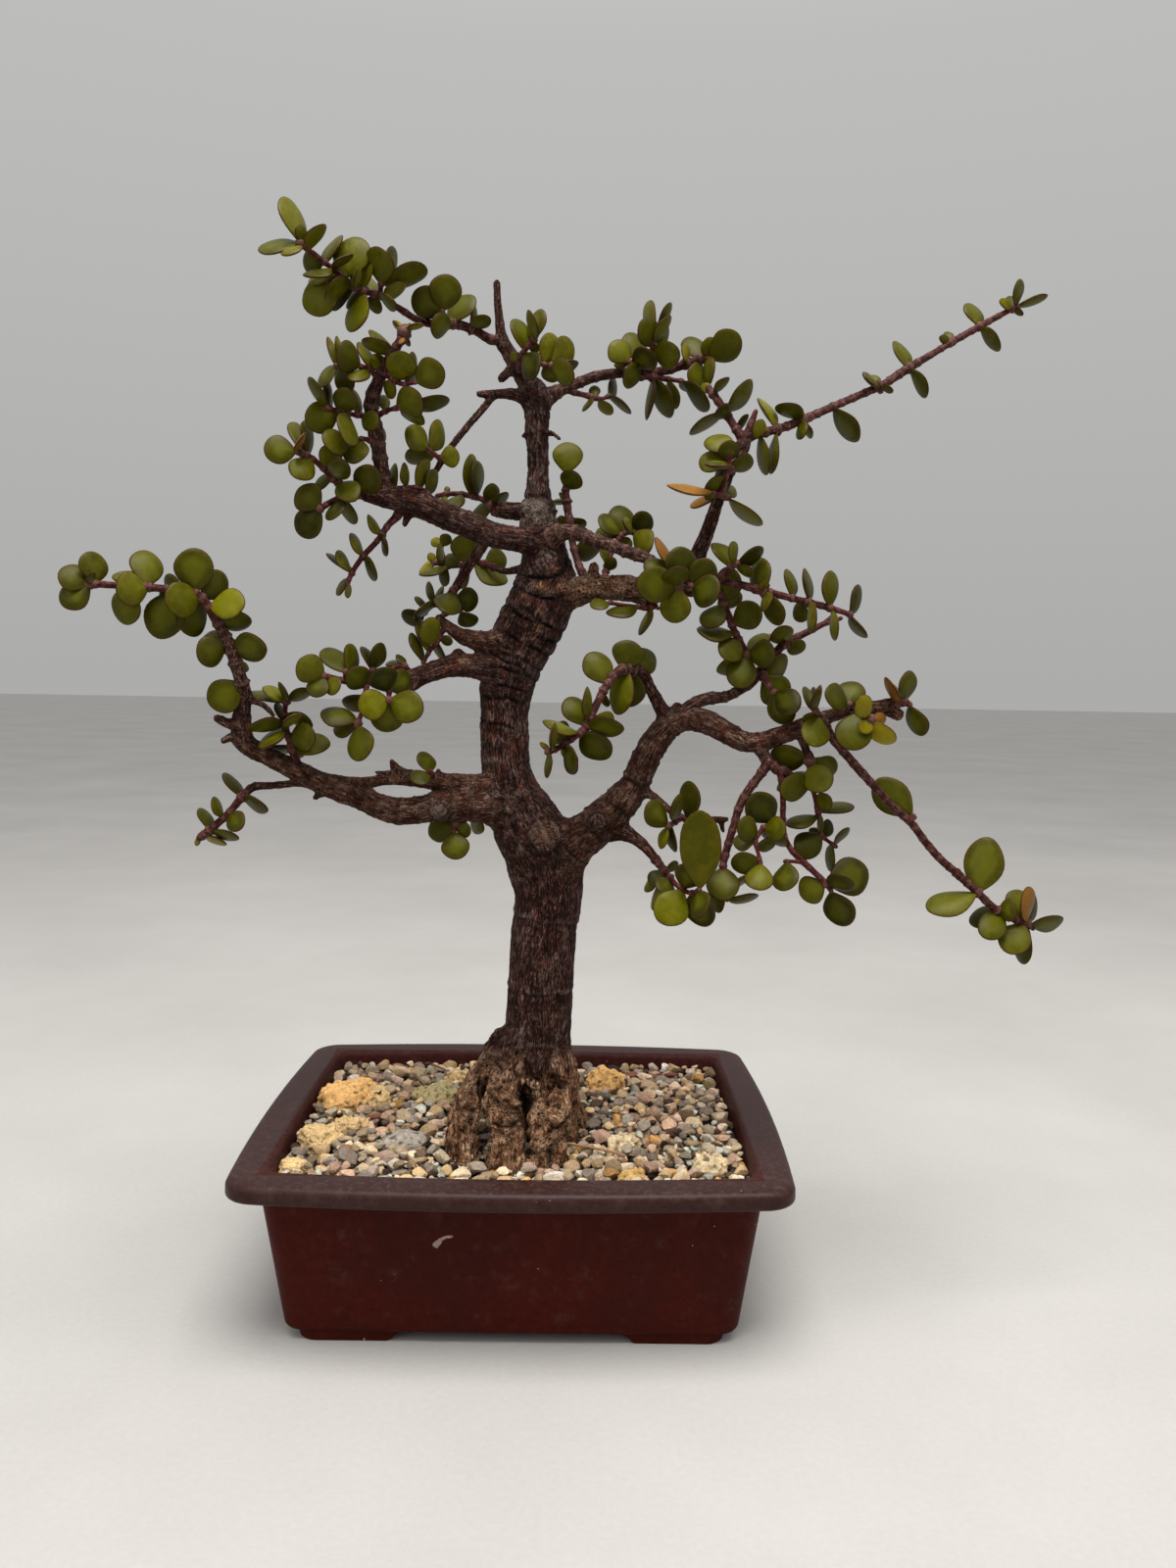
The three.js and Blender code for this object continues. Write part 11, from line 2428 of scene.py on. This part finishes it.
for (x, y, s, kd) in PEBBLES:
    settle(s, 1, 3, (0.6, 0.8), (x, y), kd)
for i in range(170):
    settle(rs.uniform(3.1, 4.7), 6, 3)
for i in range(640):
    settle(rs.uniform(2.2, 3.5), 8, 2)
for i in range(800):
    settle(rs.uniform(1.35, 2.4), 9, 2 if i < 400 else 1, maxz=67.0)
for i in range(520):
    settle(rs.uniform(0.8, 1.3), 10, 1, maxz=66.2)
print("grains", len(grains), "mean top", float(np.median(H[(woodd > 3) & (np.abs(GX) < 85) & (np.abs(GY) < 65)])))


def grain_mesh(sel, level, name):
    bv, bf = ICO[level]
    n, k = len(sel), len(bv)
    V = np.repeat(bv[None], n, 0)
    r2 = np.random.default_rng(99 + level)
    # lumps, then flat broken faces
    sh = r2.uniform(-50, 50, (n, 1, 3))
    nz_ = noise((V * 1.1 + sh).reshape(-1, 3), 3).reshape(n, k)
    V = V * (1 + 0.32 * nz_[:, :, None])
    if level > 1:
        nz2 = noise((V * 3.1 + sh).reshape(-1, 3), 4).reshape(n, k)
        V = V * (1 + 0.07 * nz2[:, :, None])
    planes = 9
    N = r2.standard_normal((n, planes, 3))
    N /= np.linalg.norm(N, axis=2)[:, :, None]
    sharp = np.array([0.42 if g[10] == "mint" else 0.50 for g in sel])
    D = r2.uniform(0, 0.32, (n, planes)) + sharp[:, None]
    for j in range(planes):
        d = (V * N[:, None, j]).sum(2) - D[:, None, j]
        V = V - np.clip(d, 0, None)[:, :, None] * N[:, None, j] * 0.98
    V = V / np.sqrt((V ** 2).sum(2).mean(1))[:, None, None] * 0.93
    g = sel
    S = np.array([[q[3], q[4], q[5]] for q in g])
    V = V * S[:, None, :]
    tl = np.array([q[7] for q in g])
    ct, st = np.cos(tl)[:, None], np.sin(tl)[:, None]
    y, z = V[:, :, 1] * ct - V[:, :, 2] * st, V[:, :, 1] * st + V[:, :, 2] * ct
    V[:, :, 1], V[:, :, 2] = y, z
    tn = np.array([q[6] for q in g])
    ct, st = np.cos(tn)[:, None], np.sin(tn)[:, None]
    x, y = V[:, :, 0] * ct - V[:, :, 1] * st, V[:, :, 0] * st + V[:, :, 1] * ct
    V[:, :, 0], V[:, :, 1] = x, y
    V = V + np.array([[q[0], q[1], q[2]] for q in g])[:, None, :]
    F = (bf[None] + (np.arange(n) * k)[:, None, None]).reshape(-1, 3)
    col = np.repeat(np.array([[*q[9], 1.0] for q in g])[:, None], k, 1).reshape(-1, 4)
    por = np.repeat(np.array([0.5 if q[10] in ("tan", "orange") else 0.0 for q in g])[:, None], k, 1).ravel()
    print(name, n, "grains", len(F), "triangles")
    o_ = put(name, V.reshape(-1, 3), F, {"grain_col": col, "porous": por}, GRAIN, ("gravel",))
    o_.data.set_sharp_from_angle(angle=math.radians(24))
    return o_


for level, nm in ((1, "gravel_small"), (2, "gravel_medium"), (3, "gravel_large")):
    sel = [g for g in grains if g[8] == level]
    if sel:
        grain_mesh(sel, level, nm)

# the fine bed that the grains lie in: a closed body with a broken top
nx, ny = 150, 118
o = outline(iw - 0.9, idd - 0.9, 6.2, 0.8)


def bed_half(t, which):
    """Gives back t unchanged."""
    return t


bx = np.linspace(-1, 1, nx)
by = np.linspace(-1, 1, ny)
BX, BY = np.meshgrid(bx, by, indexing="ij")
ww, dd_ = iw - 1.0, idd - 1.0
# square to a rounded rectangle: corners are pulled in
XX, YY = BX * ww, BY * dd_
cxr, cyr = ww - 6.0, dd_ - 6.0
ox, oy = np.clip(np.abs(XX) - cxr, 0, None), np.clip(np.abs(YY) - cyr, 0, None)
mx = np.maximum(ox, oy)
ln = np.hypot(ox, oy)
fct = np.where(ln > 1e-6, mx / np.maximum(ln, 1e-6), 1)
XX = np.sign(XX) * np.where(ox > 0, cxr + ox * fct, np.abs(XX))
YY = np.sign(YY) * np.where(oy > 0, cyr + oy * fct, np.abs(YY))
ZZ = GRAVEL_TOP - 3.2 + 2.4 * near_tree(XX, YY) + 0.5 * np.clip(XX / 90, -1, 1)
q = np.stack([XX.ravel(), YY.ravel(), np.zeros(XX.size)], 1)
ZZ = ZZ + (1.3 * fbm(q / 22, 2, 91) + 1.1 * fbm(q / 3.0, 3, 93)).reshape(XX.shape) + 0.7
top = np.stack([XX.ravel(), YY.ravel(), ZZ.ravel()], 1)
idn = np.arange(nx * ny).reshape(nx, ny)
Fq = np.stack([idn[:-1, :-1].ravel(), idn[1:, :-1].ravel(), idn[1:, 1:].ravel(), idn[:-1, 1:].ravel()], 1).tolist()
loop = list(idn[:, 0]) + list(idn[-1, 1:]) + list(idn[-2::-1, -1]) + list(idn[0, -2:0:-1])
base = len(top)
bot = top[loop].copy()
bot[:, 2] = SOIL_TOP + 0.3
bot[:, 0] *= 0.985
bot[:, 1] *= 0.985
nl = len(loop)
flatq, sz = [], []
for f in Fq:
    flatq += f
    sz.append(4)
for i in range(nl):
    j = (i + 1) % nl
    flatq += [loop[j], loop[i], base + i, base + j]
    sz.append(4)
flatq += [base + i for i in range(nl)][::-1]
sz.append(nl)
put("gravel_bed", np.vstack([top, bot]), flatq, {}, BED, ("gravel",), sizes=sz)

# ------------------------------------------------------------------ large stones
KIND = {"orange": (lin(236, 186, 122), 1.0), "tan": (lin(220, 188, 138), 0.9), "pale": (lin(216, 194, 158), 0.7), "grey": (lin(160, 150, 140), 0.25), "green": (lin(172, 158, 116), 0.8), "olive": (lin(196, 160, 100), 1.0)}
bv, bf = ICO[5]
for i, s in enumerate(STONES):
    sd = int(s[7])
    v = bv.copy()
    sh = np.array([sd * 13.7, sd * 5.1, sd * 2.3])
    v = v * (1 + 0.16 * fbm(v * 1.3 + sh, 2, 200 + sd))[:, None]
    r3 = np.random.default_rng(600 + sd)
    for _ in range(12):
        n = r3.standard_normal(3)
        n /= np.linalg.norm(n)
        if n[2] < -0.3:
            n = -n
        d = v @ n - r3.uniform(0.70, 0.94)
        v = v - np.clip(d, 0, None)[:, None] * n * 0.9
    v = v / np.array([np.ptp(v[:, 0]), np.ptp(v[:, 1]), np.ptp(v[:, 2])]) * 2
    size = np.array([s[3], s[4], s[5]]) * 1.0
    v = v * size
    nn = normals_of(v, bf)
    rg = 0.35 if s[8] == "grey" else 1.0
    dsp = 1.7 * rg * fbm(v / 4.2 + sh, 3, 300 + sd) + 0.75 * rg * fbm(v / 1.5 + sh, 2, 320 + sd) + 0.9 * rg * (ridged(v / 4.5 + sh, 330 + sd) - 0.6)
    pit = np.clip(noise(v / 2.3 + sh, 340 + sd) - 0.22, 0, 1)
    dsp = dsp - rg * 2.2 * pit
    v = v + nn * np.clip(dsp, -2.4, 1.3)[:, None]
    ca, sa = math.cos(s[6]), math.sin(s[6])
    v = np.stack([v[:, 0] * ca - v[:, 1] * sa, v[:, 0] * sa + v[:, 1] * ca, v[:, 2]], 1) + np.array(s[:3])
    col, por = KIND[s[8]]
    c = np.array(col[:3])
    # patches of tone: yellower on top, darker and greyer low down; the pits are painted dark, as painted shade
    tn = fbm(v / 6.0 + sh, 2, 360 + sd)
    cc = c[None] * (1 + 0.28 * tn[:, None])
    low = np.clip((s[2] - v[:, 2]) / s[5] + 0.25, 0, 1)
    grey = np.array(lin(128, 118, 98)[:3])
    cc = cc * (1 - 0.45 * low[:, None]) + grey * 0.45 * low[:, None]
    cc = cc * (1 - 0.75 * np.clip(pit * 3, 0, 1))[:, None]
    put("boulder_%02d" % (i + 1), v, bf, {"grain_col": np.column_stack([np.clip(cc, 0, 1), np.ones(len(cc))]), "porous": np.full(len(v), por)}, ROCK, ("stone_%02d" % (i + 1),))


# ------------------------------------------------------------------ straw and bark bits on the gravel
def height(x, y):
    i, j = int(round((x + 95) / G)), int(round((y + 75) / G))
    return float(H[np.clip(i - 1, 0, H.shape[0] - 1):i + 2, np.clip(j - 1, 0, H.shape[1] - 1):j + 2].max())


def stick(name, pts_uv, r, col, seed):
    P = []
    for (u, v) in pts_uv:
        p = at_z(u, v, 66.0)
        P.append([p[0], p[1], 0.0, r])
    P = np.array(P)
    zz = [min(height(p[0], p[1]), 69.0) for p in P]
    zs = np.interp(np.arange(len(P)), [0, len(P) - 1], [np.mean(zz[:2]), np.mean(zz[-2:])])
    P[:, 2] = np.maximum(zs, np.array(zz) - 1.2) + r * 0.8
    c = smooth_line(P, 0.7)
    V, Fq, Ft, co_, ag, rg = tube(c, [], seed, 8)
    put(name, V, np.concatenate([Fq.ravel(), Ft.ravel()]), {"grain_col": np.tile(np.array(col), (len(V), 1))}, STRAW, ("gravel",), sizes=[4] * len(Fq) + [3] * len(Ft))


stick("straw_front", [(567, 1174), (582, 1175), (598, 1177), (614, 1180), (630, 1184), (637, 1186)], 0.55, lin(150, 116, 88), 31)
stick("straw_back", [(477, 1082), (484, 1080), (492, 1078)], 0.6, lin(150, 134, 116), 32)
stick("straw_left", [(441, 1089), (447, 1092), (454, 1096)], 0.45, lin(128, 84, 58), 33)

bv, bf = ICO[3]
for i, (u, v, w, d, h, turn, c) in enumerate(((384, 1140, 5.2, 1.7, 0.9, 0.1, (118, 66, 44)), (684, 1099, 3.4, 1.9, 0.9, -0.5, (104, 52, 40)), (645, 1099, 3.0, 2.4, 1.5, 0.4, (122, 72, 52)), (352, 1176, 2.8, 2.2, 1.0, 0.8, (142, 88, 56)), (686, 1083, 2.6, 1.4, 1.0, 0.2, (92, 46, 36)))):
    p = at_z(u, v, 66.0)
    q = bv * np.array([w, d, h])
    q = q * (1 + 0.25 * noise(bv * 1.6 + i * 7, 5))[:, None]
    ca, sa = math.cos(turn), math.sin(turn)
    q = np.stack([q[:, 0] * ca - q[:, 1] * sa, q[:, 0] * sa + q[:, 1] * ca, q[:, 2] + 0.12 * q[:, 0]], 1)
    z = min(height(p[0], p[1]), 67.5) + h * 0.45
    put("bark_bit_%d" % (i + 1), q + np.array([p[0], p[1], z]), bf, {"grain_col": np.tile(np.array(lin(*c)), (len(q), 1))}, STRAW, ("gravel",))

# ------------------------------------------------------------------ CAD pieces that stay
for nm, mt in (("soil", SOIL), ("drain_screen_left", SCREEN), ("drain_screen_right", SCREEN)):
    ob = NODES[nm]
    if ob.material_slots:
        for s in ob.material_slots:
            s.material = mt
    else:
        ob.data.materials.append(mt)

# ------------------------------------------------------------------ floor, light, camera
me = bpy.data.meshes.new("floor")
me.from_pydata([(-6, -4, 0), (6, -4, 0), (6, 10, 0), (-6, 10, 0)], [], [(0, 1, 2, 3)])
fl_ = bpy.data.objects.new("floor", me)
bpy.context.scene.collection.objects.link(fl_)
me.materials.append(floor_material())

world = bpy.data.worlds.new("world")
bpy.context.scene.world = world
world.use_nodes = True
bg = world.node_tree.nodes.get("Background")
wt = world.node_tree
wz_ = wt.nodes.new("ShaderNodeSeparateXYZ")
wt.links.new(wt.nodes.new("ShaderNodeTexCoord").outputs["Generated"], wz_.inputs[0])
wr_ = wt.nodes.new("ShaderNodeValToRGB")
wt.links.new(wz_.outputs[2], wr_.inputs[0])
for i, (q, c) in enumerate(((0.0, (0.52, 0.517, 0.51, 1)), (0.45, (0.64, 0.638, 0.632, 1)), (1.0, (1.12, 1.13, 1.15, 1)))):
    e = wr_.color_ramp.elements[i] if i < 2 else wr_.color_ramp.elements.new(q)
    if i < 2:
        e.position = q
    e.color = c
wt.links.new(wr_.outputs[0], bg.inputs[0])
bg.inputs[1].default_value = 0.80


def area(name, loc, target, size, power, color=(1, 1, 1), size_y=None):
    l = bpy.data.lights.new(name, "AREA")
    l.energy, l.color = power, color
    l.shape = "RECTANGLE"
    l.size, l.size_y = size, size_y or size
    o = bpy.data.objects.new(name, l)
    bpy.context.scene.collection.objects.link(o)
    o.location = loc
    o.rotation_mode = "QUATERNION"
    o.rotation_quaternion = (Vector(target) - Vector(loc)).to_track_quat("-Z", "Y")
    return o


area("sky_top", (0.05, -0.45, 1.55), (0, 0, 0.15), 0.9, 32, (1.0, 0.99, 0.96))
area("sky_front_left", (-1.2, -1.3, 1.1), (0, 0, 0.2), 1.0, 6, (0.98, 0.99, 1.0))
area("sky_right", (1.4, -0.5, 0.9), (0, 0, 0.22), 0.8, 3, (1.0, 0.98, 0.95))

cam = bpy.data.cameras.new("camera")
cam.sensor_width = 36
cam.sensor_fit = "AUTO"
cam.lens = FOCAL * 36 / 1600
cam.clip_start, cam.clip_end = 0.01, 50
co_ = bpy.data.objects.new("camera", cam)
bpy.context.scene.collection.objects.link(co_)
R = Matrix((RT, UP, -FW)).transposed().to_4x4()
co_.matrix_world = Matrix.Translation(Vector(((EYE[0] - CX) * 0.001, EYE[1] * 0.001, EYE[2] * 0.001))) @ R
bpy.context.scene.camera = co_
bpy.context.scene.view_settings.view_transform = "Standard"
